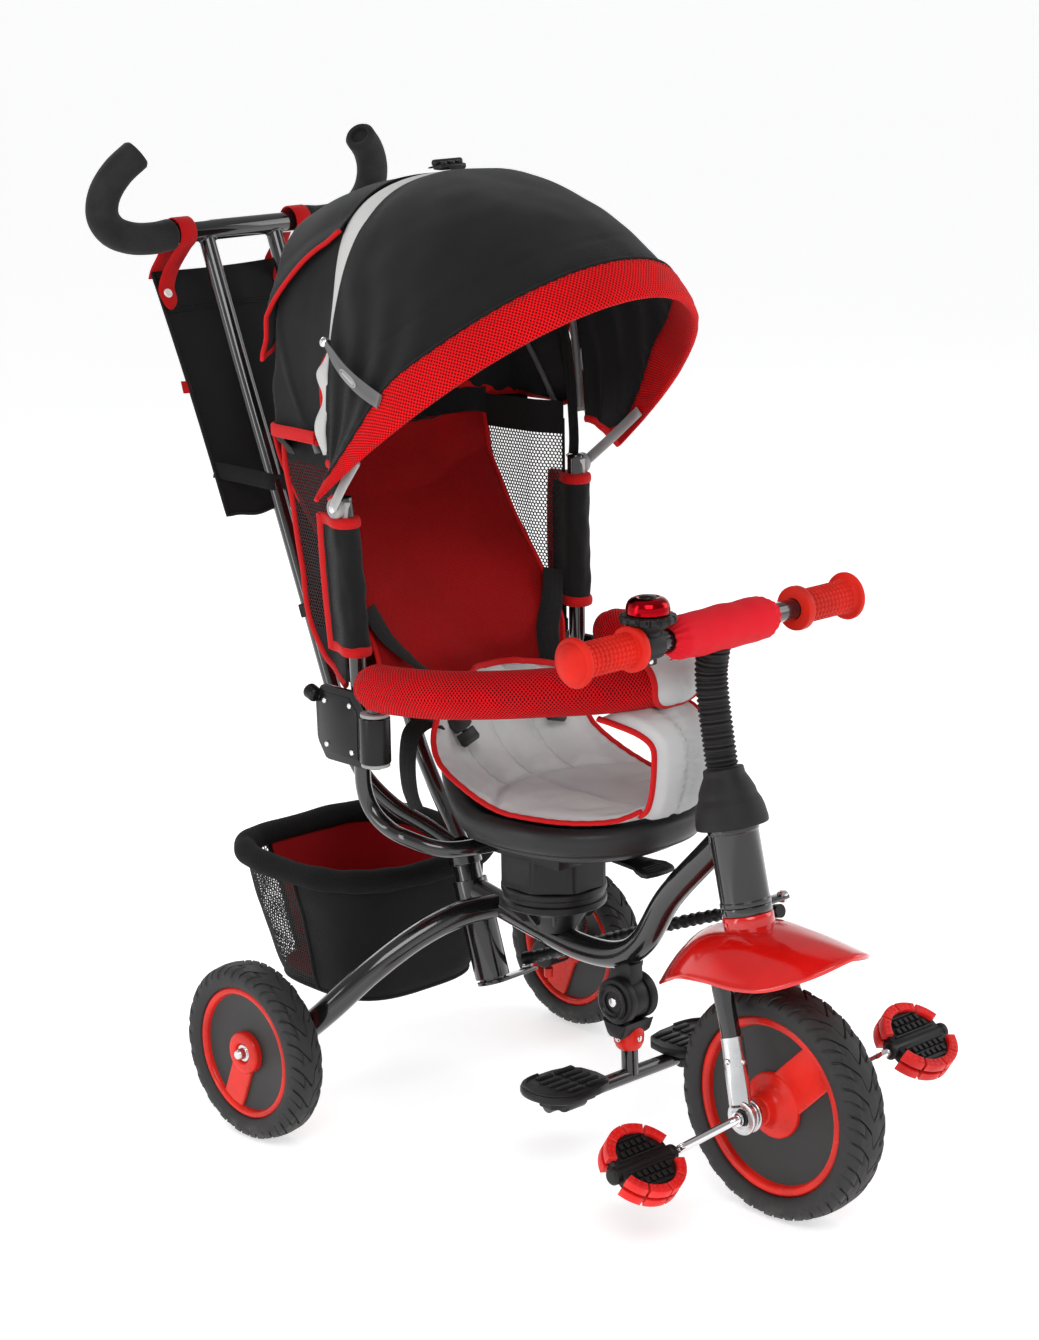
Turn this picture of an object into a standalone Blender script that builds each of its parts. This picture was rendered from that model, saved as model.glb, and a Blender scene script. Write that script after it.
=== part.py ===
"""Children's push tricycle with canopy, steering push handle and swivelling seat.

Units are metres, +Z is up, the front of the tricycle faces -Y and the child's
left is +X.  Every point below is written with the front wheel's axle over
y = 0 and is moved by AXLE_Y, so that the finished object stands on z = 0 with
its bounding box centred on the origin.
"""
import bmesh
import bpy
from math import atan2, cos, pi, radians, sin, sqrt
from mathutils import Matrix, Vector

# ---------------------------------------------------------------- dimensions
AXLE_Y = -0.3923294
GAP = 0.0003              # running gap between neighbouring pieces

FRONT_R = 0.125           # front wheel, 250 mm
FRONT_W = 0.0281          # half width of the front tyre
FRONT_RIM = 0.0985
REAR_R = 0.101            # rear wheels, about 200 mm
REAR_W = 0.02195
REAR_RIM = 0.0765
REAR_X = 0.25345          # centre of a rear wheel
REAR_Y = 0.5637

HEAD = Vector((0, 0.0522, 0.330))             # foot of the head tube
HEAD_AXIS = Vector((0, 0.2325, 1)).normalized()
SHAFT = Vector((0, 0.461, 0.2077))            # middle of the rear steering sleeve
SHAFT_AXIS = Vector((0, 0.327, 1)).normalized()

BAR_Y, BAR_Z = 0.0955, 0.6185                 # handlebar axis
CRANK_DY, CRANK_DZ = 0.0388, -0.0308          # right pedal from the axle
PEDAL_X = 0.170
PEDAL_TILT = radians(33)

TUBE_R = 0.015            # main tube and rear arms
FORK_R = 0.0105
PUSH_R = 0.0095           # twin tubes of the push handle
PUSH_X = 0.050
SEAT_Y = 0.340            # swivel axis of the seat
SEAT_C = 0.307            # middle of the seat pan
POST_X = 0.165
HINGE_X, HINGE_Y = 0.180, 0.428               # safety bar hinge
FOAM_R = 0.026
CAN_Y, CAN_Z = 0.477, 0.720                   # canopy pivot
RECLINE = (0.468, 0.455)

JOINTS = {                # empties that carry the moving pieces
    "frame": (None, (0, 0, 0)),
    "steering": ("frame", tuple(HEAD)),
    "front_wheel": ("steering", (0, 0, FRONT_R)),
    "pedal_left": ("front_wheel", (PEDAL_X, -CRANK_DY, FRONT_R - CRANK_DZ)),
    "pedal_right": ("front_wheel", (-PEDAL_X, CRANK_DY, FRONT_R + CRANK_DZ)),
    "bell_dial": ("steering", (-0.100, BAR_Y, 0.644)),
    "rear_wheel_left": ("frame", (REAR_X, REAR_Y, REAR_R)),
    "rear_wheel_right": ("frame", (-REAR_X, REAR_Y, REAR_R)),
    "push_handle": ("frame", tuple(SHAFT)),
    "tie_rod": ("push_handle", (0.055, 0.4414, 0.1478)),
    "footrest": ("frame", (0, 0.2255, 0.183)),
    "seat": ("frame", (0, SEAT_Y, 0.2925)),
    "seat_release": ("seat", (0, 0.295, 0.341)),
    "backrest": ("seat", (0, RECLINE[0], RECLINE[1])),
    "canopy": ("backrest", (0, CAN_Y, CAN_Z)),
    "bar_left": ("seat", (HINGE_X, HINGE_Y, 0.47)),
    "bar_right": ("seat", (-HINGE_X, HINGE_Y, 0.47)),
    "button_left": ("frame", (0.205, REAR_Y, 0.076)),
    "button_right": ("frame", (-0.205, REAR_Y, 0.076)),
}

BLACK_PAINT = ((0.012, 0.012, 0.013), 0.18, 0.0)
BLACK_PLASTIC = ((0.02, 0.02, 0.021), 0.45, 0.0)
RUBBER = ((0.022, 0.022, 0.023), 0.8, 0.0)
RED_PLASTIC = ((0.72, 0.02, 0.012), 0.25, 0.0)
RED_RUBBER = ((0.80, 0.045, 0.025), 0.55, 0.0)
RED_MESH = ((0.55, 0.01, 0.015), 0.85, 0.0)
BLACK_CLOTH = ((0.018, 0.018, 0.02), 0.9, 0.0)
GREY_CLOTH = ((0.50, 0.51, 0.51), 0.85, 0.0)
FOAM = ((0.03, 0.03, 0.031), 0.85, 0.0)
CHROME = ((0.8, 0.8, 0.8), 0.12, 1.0)


# ------------------------------------------------------------------- helpers
def clear_scene():
    for ob in list(bpy.data.objects):
        bpy.data.objects.remove(ob, do_unlink=True)


def material(name, look):
    colour, rough, metal = look
    mat = bpy.data.materials.new("mat_" + name)
    mat.use_nodes = True
    shader = mat.node_tree.nodes["Principled BSDF"]
    shader.inputs["Base Color"].default_value = (*colour, 1)
    shader.inputs["Roughness"].default_value = rough
    shader.inputs["Metallic"].default_value = metal
    return mat


def smooth(t):
    t = min(max(t, 0.0), 1.0)
    return t * t * (3 - 2 * t)


def lerp(a, b, t):
    return a + (b - a) * t


def spline(points, count):
    """Evenly spaced points on a smooth curve through the given ones."""
    pts = [Vector(p) for p in points]
    if len(pts) == 2:
        return [pts[0].lerp(pts[1], i / (count - 1)) for i in range(count)]
    ext = [2 * pts[0] - pts[1]] + pts + [2 * pts[-1] - pts[-2]]
    fine = []
    for i in range(1, len(ext) - 2):
        p0, p1, p2, p3 = ext[i - 1:i + 3]
        for k in range(24):
            t = k / 24
            fine.append(0.5 * ((2 * p1) + (p2 - p0) * t
                               + (2 * p0 - 5 * p1 + 4 * p2 - p3) * t * t
                               + (3 * p1 - 3 * p2 + p3 - p0) * t ** 3))
    fine.append(pts[-1].copy())
    run = [0.0]
    for a, b in zip(fine, fine[1:]):
        run.append(run[-1] + (b - a).length)
    out, j = [], 0
    for i in range(count):
        want = run[-1] * i / (count - 1)
        while j < len(run) - 2 and run[j + 1] < want:
            j += 1
        span = max(run[j + 1] - run[j], 1e-9)
        out.append(fine[j].lerp(fine[j + 1], min(max((want - run[j]) / span, 0), 1)))
    return out


def skin(rings, close_ends=True, loop=False):
    """Closed mesh through rings that have the same number of points."""
    bm = bmesh.new()
    rows = [[bm.verts.new(p) for p in ring] for ring in rings]
    n = len(rows[0])
    pairs = list(zip(rows, rows[1:])) + ([(rows[-1], rows[0])] if loop else [])
    for a, b in pairs:
        for i in range(n):
            j = (i + 1) % n
            bm.faces.new((a[i], a[j], b[j], b[i]))
    if close_ends and not loop:
        bm.faces.new(rows[0][::-1])
        bm.faces.new(rows[-1])
    return bm


def sweep(path, radius, sides=12, flat=(1.0, 1.0), up=(0, 0, 1)):
    """Round or oval bar along a path; radius may be a list."""
    pts = [Vector(p) for p in path]
    radii = radius if isinstance(radius, (list, tuple)) else [radius] * len(pts)
    up = Vector(up)
    rings = []
    side = None
    for i, p in enumerate(pts):
        a, b = pts[max(i - 1, 0)], pts[min(i + 1, len(pts) - 1)]
        t = (b - a).normalized()
        if side is None:
            side = t.cross(up)
            if side.length < 1e-4:
                side = t.cross(Vector((0, 1, 0)))
        side = (side - t * side.dot(t)).normalized()
        top = side.cross(t).normalized()
        rings.append([p + side * (radii[i] * flat[0] * cos(2 * pi * k / sides))
                      + top * (radii[i] * flat[1] * sin(2 * pi * k / sides))
                      for k in range(sides)])
    return skin(rings)


def frame_of(axis):
    axis = Vector(axis).normalized()
    helper = Vector((1, 0, 0)) if abs(axis.x) < 0.9 else Vector((0, 0, 1))
    u = helper.cross(axis).normalized()
    return u, axis.cross(u).normalized(), axis


def lathe(profile, centre, axis, sides=24, phase=0.0, grow=1.0):
    """Turned piece from (radius, height) points.

    A profile whose two ends lie on the axis is a solid; any other is a closed
    loop and makes a ring.
    """
    u, v, w = frame_of(axis)
    c = Vector(centre)
    bm = bmesh.new()
    solid = profile[0][0] == 0 and profile[-1][0] == 0
    body = profile[1:-1] if solid else profile
    rows = []
    for r, h in body:
        rows.append([bm.verts.new(c + w * h + (u * cos(phase + 2 * pi * k / sides)
                                               + v * sin(phase + 2 * pi * k / sides)) * r * grow)
                     for k in range(sides)])
    pairs = list(zip(rows, rows[1:]))
    if not solid:
        pairs.append((rows[-1], rows[0]))
    for a, b in pairs:
        for i in range(sides):
            j = (i + 1) % sides
            bm.faces.new((a[i], a[j], b[j], b[i]))
    if solid:
        for row, (r, h) in ((rows[0], profile[0]), (rows[-1], profile[-1])):
            tip = bm.verts.new(c + w * h)
            for i in range(sides):
                bm.faces.new((row[i], row[(i + 1) % sides], tip))
    return bm


def wheel_turn(profile, centre, sides=28):
    """Turned about X with a flat facet at the very bottom of full radius."""
    return lathe(profile, centre, (1, 0, 0), sides, phase=wheel_phase(sides),
                 grow=1 / cos(pi / sides))


def wheel_phase(sides):
    u, v, _ = frame_of((1, 0, 0))
    down = Vector((0, 0, -1))
    return atan2(down.dot(v), down.dot(u)) + pi / sides


def prism(outline, low, high, place):
    """Flat outline between two heights, put in place by a function."""
    return skin([[place(p[0], p[1], h) for p in outline] for h in (low, high)])


def box(lo, hi):
    xs, ys, zs = zip(lo, hi)
    return skin([[Vector((xs[0], ys[0], z)), Vector((xs[1], ys[0], z)),
                  Vector((xs[1], ys[1], z)), Vector((xs[0], ys[1], z))] for z in zs])


def sheet(grid, thick):
    """Closed shell below a grid of points; thick may depend on the row."""
    rows, cols = len(grid), len(grid[0])
    normal = [[None] * cols for _ in range(rows)]
    for i in range(rows):
        for j in range(cols):
            du = grid[min(i + 1, rows - 1)][j] - grid[max(i - 1, 0)][j]
            dv = grid[i][min(j + 1, cols - 1)] - grid[i][max(j - 1, 0)]
            normal[i][j] = du.cross(dv).normalized()
    bm = bmesh.new()
    top = [[bm.verts.new(grid[i][j]) for j in range(cols)] for i in range(rows)]
    low = [[bm.verts.new(grid[i][j] - normal[i][j]
                         * (thick[i] if isinstance(thick, (list, tuple)) else thick))
            for j in range(cols)] for i in range(rows)]
    for i in range(rows - 1):
        for j in range(cols - 1):
            bm.faces.new((top[i][j], top[i + 1][j], top[i + 1][j + 1], top[i][j + 1]))
            bm.faces.new((low[i][j], low[i][j + 1], low[i + 1][j + 1], low[i + 1][j]))
    edge = ([(0, j) for j in range(cols)] + [(i, cols - 1) for i in range(1, rows)]
            + [(rows - 1, j) for j in range(cols - 2, -1, -1)]
            + [(i, 0) for i in range(rows - 2, 0, -1)])
    for (a, b), (c, d) in zip(edge, edge[1:] + edge[:1]):
        bm.faces.new((top[a][b], top[c][d], low[c][d], low[a][b]))
    return bm


def mirror(bm):
    for v in bm.verts:
        v.co.x = -v.co.x
    bmesh.ops.reverse_faces(bm, faces=bm.faces)
    return bm


def as_mesh(bm, name):
    bmesh.ops.recalc_face_normals(bm, faces=bm.faces)
    mesh = bpy.data.meshes.new(name)
    bm.to_mesh(mesh)
    bm.free()
    return mesh


def combine(first, *steps):
    """Boolean a chain of (operation, bmesh) onto the first shape."""
    mesh = as_mesh(first, "work")
    for operation, other in steps:
        a = bpy.data.objects.new("work_a", mesh)
        b = bpy.data.objects.new("work_b", as_mesh(other, "work_b"))
        for ob in (a, b):
            bpy.context.scene.collection.objects.link(ob)
        mod = a.modifiers.new("cut", "BOOLEAN")
        mod.operation = operation
        mod.object = b
        mod.solver = "EXACT"
        bpy.context.view_layer.update()
        graph = bpy.context.evaluated_depsgraph_get()
        result = bpy.data.meshes.new_from_object(a.evaluated_get(graph))
        bpy.data.objects.remove(a, do_unlink=True)
        bpy.data.objects.remove(b, do_unlink=True)
        mesh = result
    bm = bmesh.new()
    bm.from_mesh(mesh)
    bmesh.ops.remove_doubles(bm, verts=bm.verts, dist=1e-6)
    bmesh.ops.dissolve_degenerate(bm, dist=1e-6, edges=bm.edges)
    return bm


EMPTIES = {}


def joint_empties():
    for name, (parent, at) in JOINTS.items():
        empty = bpy.data.objects.new("joint_" + name, None)
        bpy.context.scene.collection.objects.link(empty)
        empty.empty_display_size = 0.03
        if parent is None:
            empty.location = (0, AXLE_Y, 0)
        else:
            empty.parent = EMPTIES[parent]
            empty.location = Vector(at) - Vector(JOINTS[parent][1])
        EMPTIES[name] = empty


def add(name, body, look, bm):
    bmesh.ops.translate(bm, verts=bm.verts, vec=-Vector(JOINTS[body][1]))
    mesh = as_mesh(bm, name)
    mesh.name = name
    mesh.materials.clear()
    mesh.materials.append(material(name, look))
    for poly in mesh.polygons:
        poly.material_index = 0
    mesh.shade_smooth()
    mesh.set_sharp_from_angle(angle=radians(38))
    ob = bpy.data.objects.new(name, mesh)
    bpy.context.scene.collection.objects.link(ob)
    ob.parent = EMPTIES[body]
    return ob


def sided(s, points):
    return [(s * p[0], p[1], p[2]) for p in points]


# -------------------------------------------------------------------- wheels
def tyre_profile(radius, rim, half):
    """Inflated-looking section with a flat tread band."""
    wall = radius - rim
    right = [(rim + 0.0005, half * 0.84), (rim + wall * 0.33, half),
             (rim + wall * 0.66, half * 0.97), (rim + wall * 0.92, half * 0.70),
             (radius, half * 0.40)]
    return [(r, -h) for r, h in right] + [(r, h) for r, h in reversed(right)]


def disc_profile(rim, half, ring, hub_r, hub_h, bore):
    outer = [(bore, hub_h), (hub_r, hub_h), (hub_r + 0.004, half * 0.55),
             (rim - ring, half * 0.55), (rim - ring + 0.002, half), (rim, half)]
    return [(r, -h) for r, h in outer] + [(r, h) for r, h in reversed(outer)]


def wheels():
    axle = (0, 0, FRONT_R)
    add("front_tyre", "front_wheel", RUBBER,
        wheel_turn(tyre_profile(FRONT_R, FRONT_RIM, FRONT_W), axle))
    add("front_disc", "front_wheel", RED_PLASTIC,
        wheel_turn(disc_profile(FRONT_RIM, 0.0215, 0.0125, 0.022, 0.038, 0.0062), axle))
    for side, s in (("left", 1), ("right", -1)):
        c = (s * REAR_X, REAR_Y, REAR_R)
        body = "rear_wheel_" + side
        add("rear_tyre_" + side, body, RUBBER,
            wheel_turn(tyre_profile(REAR_R, REAR_RIM, REAR_W), c))
        add("rear_disc_" + side, body, RED_PLASTIC,
            wheel_turn(disc_profile(REAR_RIM, 0.0175, 0.0105, 0.017, 0.0195, 0.0062), c))
        pin = [(0, -0.055), (0.0055, -0.055), (0.0055, 0.0205), (0.0105, 0.0205),
               (0.0105, 0.0245), (0.0060, 0.0265), (0, 0.0265)]
        add("rear_axle_" + side, body, CHROME, lathe(pin, c, (s, 0, 0), 16))


def crank():
    """One chrome rod: axle, two opposite cranks and the pedal spindles."""
    y, z = CRANK_DY, CRANK_DZ
    half = [(0, 0, 0), (0.035, 0, 0), (0.068, 0, 0), (0.0735, 0.001, -0.001),
            (0.080, 0.0065, -0.0052), (0.1110, y - 0.0060, z + 0.0048),
            (0.1150, y - 0.0012, z + 0.0010), (0.1200, y, z), (0.1600, y, z), (0.2075, y, z)]
    near = [Vector((-x, dy, FRONT_R + dz)) for x, dy, dz in half]
    far = [Vector((x, -dy, FRONT_R - dz)) for x, dy, dz in half[1:]]
    add("crank_axle", "front_wheel", CHROME,
        sweep(near[::-1] + far, 0.00475, 8, up=(0, 1, 0.3)))


def pedals():
    normal = Vector((0, -sin(PEDAL_TILT), cos(PEDAL_TILT)))
    for side, s in (("left", 1), ("right", -1)):
        c = Vector(JOINTS["pedal_" + side][1])
        plate = lathe([(0, -0.0125), (0.0415, -0.0125), (0.0435, -0.0105), (0.0435, 0.0105),
                       (0.0415, 0.0125), (0, 0.0125)], c, normal, 20)
        tube = lathe([(0, -0.046), (0.0085, -0.046), (0.0085, 0.046), (0, 0.046)],
                     c, (1, 0, 0), 16)
        hole = lathe([(0, -0.06), (0.0052, -0.06), (0.0052, 0.040), (0, 0.040)],
                     c, (s, 0, 0), 16)
        add("pedal_" + side, "pedal_" + side, BLACK_PLASTIC,
            combine(plate, ("UNION", tube), ("DIFFERENCE", hole)))


# --------------------------------------------------------------------- frame
MAIN = [(0, 0.072, 0.4065), (0, 0.1034, 0.3744), (0, 0.1623, 0.3129), (0, 0.2007, 0.2547),
        (0, 0.2395, 0.2292), (0, 0.2949, 0.2233), (0, 0.36, 0.2317), (0, 0.4268, 0.2433),
        (0, 0.472, 0.2515)]


def rod(centre, axis, low, high, radius, sides=24):
    return lathe([(0, low), (radius, low), (radius, high), (0, high)], centre, axis, sides)


def main_tube_shape(radius, sides=10):
    return sweep(spline(MAIN, 17), radius, sides)


def frame():
    add("head_tube", "frame", BLACK_PAINT,
        lathe([(0.0165, 0.0), (0.0275, 0.0), (0.0275, 0.004), (0.0265, 0.005), (0.0265, 0.078),
               (0.0275, 0.079), (0.0275, 0.083), (0.0165, 0.083)], HEAD, HEAD_AXIS, 20))
    add("main_tube", "frame", BLACK_PAINT,
        combine(main_tube_shape(TUBE_R),
                ("DIFFERENCE", rod(HEAD, HEAD_AXIS, -0.05, 0.15, 0.0275 + GAP, 20)),
                ("DIFFERENCE", rod(SHAFT, SHAFT_AXIS, -0.1, 0.1, 0.020 + GAP, 24))))
    for side, s in (("left", 1), ("right", -1)):
        path = sided(s, [(0.002, 0.4255, 0.2432), (0.05, 0.441, 0.240), (0.10, 0.458, 0.222),
                         (0.152, 0.477, 0.190), (0.192, 0.502, 0.150), (0.208, 0.532, 0.120),
                         (0.2115, 0.5560, 0.106)])
        arm = sweep(spline(path, 12), [TUBE_R * g for g in (0.74, 0.92)] + [TUBE_R * 0.98] * 10, 10)
        hub = lathe([(0, 0.192), (0.0155, 0.192), (0.0165, 0.194), (0.0165, 0.2285), (0, 0.2285)],
                    (0, REAR_Y, REAR_R), (s, 0, 0), 20)
        add("rear_arm_" + side, "frame", BLACK_PAINT,
            combine(arm, ("UNION", hub),
                    ("DIFFERENCE", main_tube_shape(TUBE_R + GAP)),
                    ("DIFFERENCE", rod((0, REAR_Y, REAR_R), (s, 0, 0), 0.18, 0.24, 0.0060, 16))))
        add("release_button_" + side, "button_" + side, RED_PLASTIC,
            lathe([(0, 0.0690), (0.0045, 0.0690), (0.0055, 0.0700), (0.0055, 0.0812), (0, 0.0812)],
                  (s * 0.205, REAR_Y, 0), (0, 0, 1), 12))
    add("pedestal_ring", "frame", BLACK_PLASTIC,
        combine(lathe([(0, 0.236), (0.022, 0.236), (0.040, 0.262), (0.058, 0.268), (0.0585, 0.270),
                       (0.0585, 0.291), (0.057, 0.292), (0, 0.292)],
                      (0, SEAT_Y, 0), (0, 0, 1), 20),
                ("DIFFERENCE", main_tube_shape(TUBE_R + GAP))))
    add("steering_sleeve", "frame", BLACK_PAINT,
        lathe([(0.0160, -0.0585), (0.0200, -0.0585), (0.0200, 0.0570), (0.0160, 0.0570)],
              SHAFT, SHAFT_AXIS, 24))
    # knuckle that carries the folding footrest, with a neck up to the main tube
    drum = rod((0, 0.2255, 0.183), (1, 0, 0), -0.0102, 0.0102, 0.0235, 24)
    neck = box((-0.0098, 0.2135, 0.185), (0.0098, 0.2375, 0.226))
    add("footrest_hinge", "frame", BLACK_PLASTIC,
        combine(drum, ("UNION", neck),
                ("DIFFERENCE", main_tube_shape(TUBE_R + GAP)),
                ("DIFFERENCE", rod((0, 0.2255, 0.183), (1, 0, 0), -0.03, 0.03, 0.0052, 16))))
    basket()


def basket_ring(hw, hl, z, cy, count=24, power=3.2, tip=0.0):
    ring = []
    for k in range(count):
        a = 2 * pi * k / count
        x = hw * abs(cos(a)) ** (2 / power) * (1 if cos(a) >= 0 else -1)
        y = hl * abs(sin(a)) ** (2 / power) * (1 if sin(a) >= 0 else -1)
        ring.append(Vector((x, cy + y, z + tip * y)))
    return ring


def basket():
    """Open-topped fabric bin with a rolled rim."""
    cy, r = 0.662, 0.0135
    hw, hl, z = 0.124, 0.126, 0.2625
    rings = [basket_ring(0.088, 0.080, 0.1130, cy - 0.018, tip=0.02),
             basket_ring(0.098, 0.092, 0.1145, cy - 0.016, tip=0.02),
             basket_ring(0.116, 0.114, 0.180, cy - 0.006, tip=0.02),
             basket_ring(hw, hl, z - 0.016, cy)]
    for k in range(5):
        a = radians(-100 + 62 * k)
        rings.append(basket_ring(hw + r * cos(a), hl + r * cos(a), z + r * sin(a), cy))
    rings += [basket_ring(hw - 0.006, hl - 0.006, z - 0.020, cy),
              basket_ring(0.111, 0.109, 0.180, cy - 0.006, tip=0.02),
              basket_ring(0.093, 0.087, 0.1195, cy - 0.016, tip=0.02),
              basket_ring(0.083, 0.075, 0.1180, cy - 0.018, tip=0.02)]
    add("basket", "frame", BLACK_CLOTH, skin(rings))


# ------------------------------------------------------------------ steering
def steering():
    b = "steering"
    add("steer_column", b, CHROME, rod(HEAD, HEAD_AXIS, -0.0330, 0.1400, 0.0160, 20))
    ring = lathe([(0.0163, -0.0088), (0.0270, -0.0088), (0.0270, -0.0006), (0.0163, -0.0006)],
                 HEAD, HEAD_AXIS, 24)
    u, v, w = frame_of(HEAD_AXIS)
    arm = box((0.0235, HEAD.y - 0.0095, HEAD.z - 0.0058), (0.0590, HEAD.y + 0.0075, HEAD.z - 0.0028))
    add("steering_arm", b, BLACK_PAINT, combine(ring, ("UNION", arm)))
    # fork: one bent tube over the wheel with flattened feet and axle cups
    leg = [(0.0575, 0.0060, 0.134), (0.0545, 0.0135, 0.158), (0.0505, 0.0228, 0.192),
           (0.0500, 0.0350, 0.236), (0.0495, 0.0420, 0.262), (0.0430, 0.0446, 0.2760),
           (0.0260, 0.0452, 0.2840), (0, 0.0455, 0.2860)]
    whole = [Vector((-x, y, z)) for x, y, z in leg] + [Vector(p) for p in leg[-2::-1]]
    shape = sweep(spline(whole, 27), FORK_R, 10)
    steps = []
    for s in (1, -1):
        steps.append(("UNION", rod((0, 0, FRONT_R), (s, 0, 0), 0.0510, 0.0640, 0.0180, 16)))
    steps.append(("DIFFERENCE", rod((0, 0, FRONT_R), (1, 0, 0), -0.09, 0.09, 0.0062, 12)))
    add("fork", b, BLACK_PAINT, combine(shape, *steps))
    fender()
    add("stem_cover", b, RUBBER,
        lathe([(0.0165, 0.0836), (0.0375, 0.0836), (0.0380, 0.0880), (0.0375, 0.1020),
               (0.0345, 0.1130), (0.0290, 0.1260), (0.0215, 0.1390), (0.0200, 0.1425),
               (0.0165, 0.1425)], HEAD, HEAD_AXIS, 18))
    stem = [(0, 0.0862, 0.4708), (0, 0.0925, 0.505), (0, 0.0995, 0.545), (0, 0.1018, 0.573),
            (0, 0.0990, 0.5915)]
    add("stem_bellows", b, RUBBER, sweep(spline(stem, 8), 0.0165, 12))
    add("handlebar", b, BLACK_PAINT, rod((0, BAR_Y, BAR_Z), (1, 0, 0), -0.2035, 0.2035, 0.0110, 16))
    for side, s in (("left", 1), ("right", -1)):
        grip = [(0, 0.2180), (0.0110, 0.2172), (0.0205, 0.2120), (0.0255, 0.2045),
                (0.0255, 0.2015), (0.0185, 0.1995), (0.0175, 0.1300), (0.0230, 0.1285),
                (0.0230, 0.1195), (0.0113, 0.1195), (0.0113, 0.2045), (0, 0.2045)]
        add("grip_" + side, b, RED_RUBBER, lathe(grip, (0, BAR_Y, BAR_Z), (s, 0, 0), 16))
    add("handlebar_pad", b, RED_MESH,
        lathe([(0.0114, -0.0720), (0.0200, -0.0720), (0.0240, -0.0640), (0.0240, 0.0740),
               (0.0200, 0.0820), (0.0114, 0.0820)], (0, BAR_Y, BAR_Z), (1, 0, 0), 20))
    clamp = rod((0, BAR_Y, BAR_Z), (1, 0, 0), -0.1120, -0.0880, 0.0165, 20)
    post = rod((-0.100, BAR_Y, 0), (0, 0, 1), 0.628, 0.6418, 0.0130, 16)
    stud = rod((-0.100, BAR_Y, 0), (0, 0, 1), 0.630, 0.6540, 0.0060, 12)
    dome = lathe([(0, 0.6507), (0.0222, 0.6507), (0.0228, 0.6535), (0.0205, 0.6605),
                  (0.0140, 0.6655), (0.0060, 0.6672), (0, 0.6675)],
                 (-0.100, BAR_Y, 0), (0, 0, 1), 16)
    add("bell", b, RED_PLASTIC,
        combine(clamp, ("UNION", post), ("UNION", stud), ("UNION", dome),
                ("DIFFERENCE", rod((0, BAR_Y, BAR_Z), (1, 0, 0), -0.2, 0.1, 0.0113, 16))))
    add("bell_dial", "bell_dial", BLACK_PLASTIC,
        lathe([(0.0064, 0.6422), (0.0270, 0.6422), (0.0290, 0.6437), (0.0290, 0.6490),
               (0.0270, 0.6502), (0.0066, 0.6502)], (-0.100, BAR_Y, 0), (0, 0, 1), 18))


def fender():
    """Moulded guard that flares from a collar into a beak, a tail and two skirts."""
    rim_half = [(0.0, 0.1690, 0.2190), (0.0330, 0.1420, 0.2330), (0.0560, 0.0980, 0.2560),
                (0.0665, 0.0500, 0.2660), (0.0690, 0.0050, 0.2690), (0.0640, -0.0360, 0.2770),
                (0.0430, -0.0780, 0.2960), (0.0, -0.0965, 0.3100)]
    half = spline(rim_half, 10)
    rim = half + [Vector((-p.x, p.y, p.z)) for p in half[-2:0:-1]]
    n = len(rim)
    u, v, w = frame_of(HEAD_AXIS)
    base = HEAD + HEAD_AXIS * -0.0300
    top = HEAD + HEAD_AXIS * -0.0094
    rings = []
    for r, c in ((0.0190, base), (0.0190, top), (0.0270, top), (0.0270, HEAD + HEAD_AXIS * -0.022)):
        rings.append([c + _around(p, c) * r for p in rim])
    start = rings[-1]
    outer, inner = [], []
    for t in (0.3, 0.6, 0.85, 1.0):
        row_o, row_i = [], []
        for p, q in zip(start, rim):
            mid = Vector((lerp(p.x, q.x, 0.55), lerp(p.y, q.y, 0.50), max(p.z - 0.004, q.z) + 0.004))
            pos = (1 - t) ** 2 * p + 2 * t * (1 - t) * mid + t * t * q
            row_o.append(pos)
            lean = _around(q, Vector((0, q.y * 0.5 + 0.02, 0)))
            row_i.append(pos - Vector((lean.x * 0.0012, lean.y * 0.0012, 0.0030)))
        outer.append(row_o)
        inner.append(row_i)
    rings += outer + inner[::-1]
    low = [base + HEAD_AXIS * 0.0005 + _around(p, base) * 0.0240 for p in rim]
    rings.append(low)
    add("fender", "steering", RED_PLASTIC, skin(rings, loop=True))


def _around(p, c):
    d = Vector((p.x - c.x, p.y - c.y, 0))
    if d.length < 1e-6:
        d = Vector((0, 1, 0))
    d.normalize()
    return (d - HEAD_AXIS * d.dot(HEAD_AXIS)).normalized()


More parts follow.
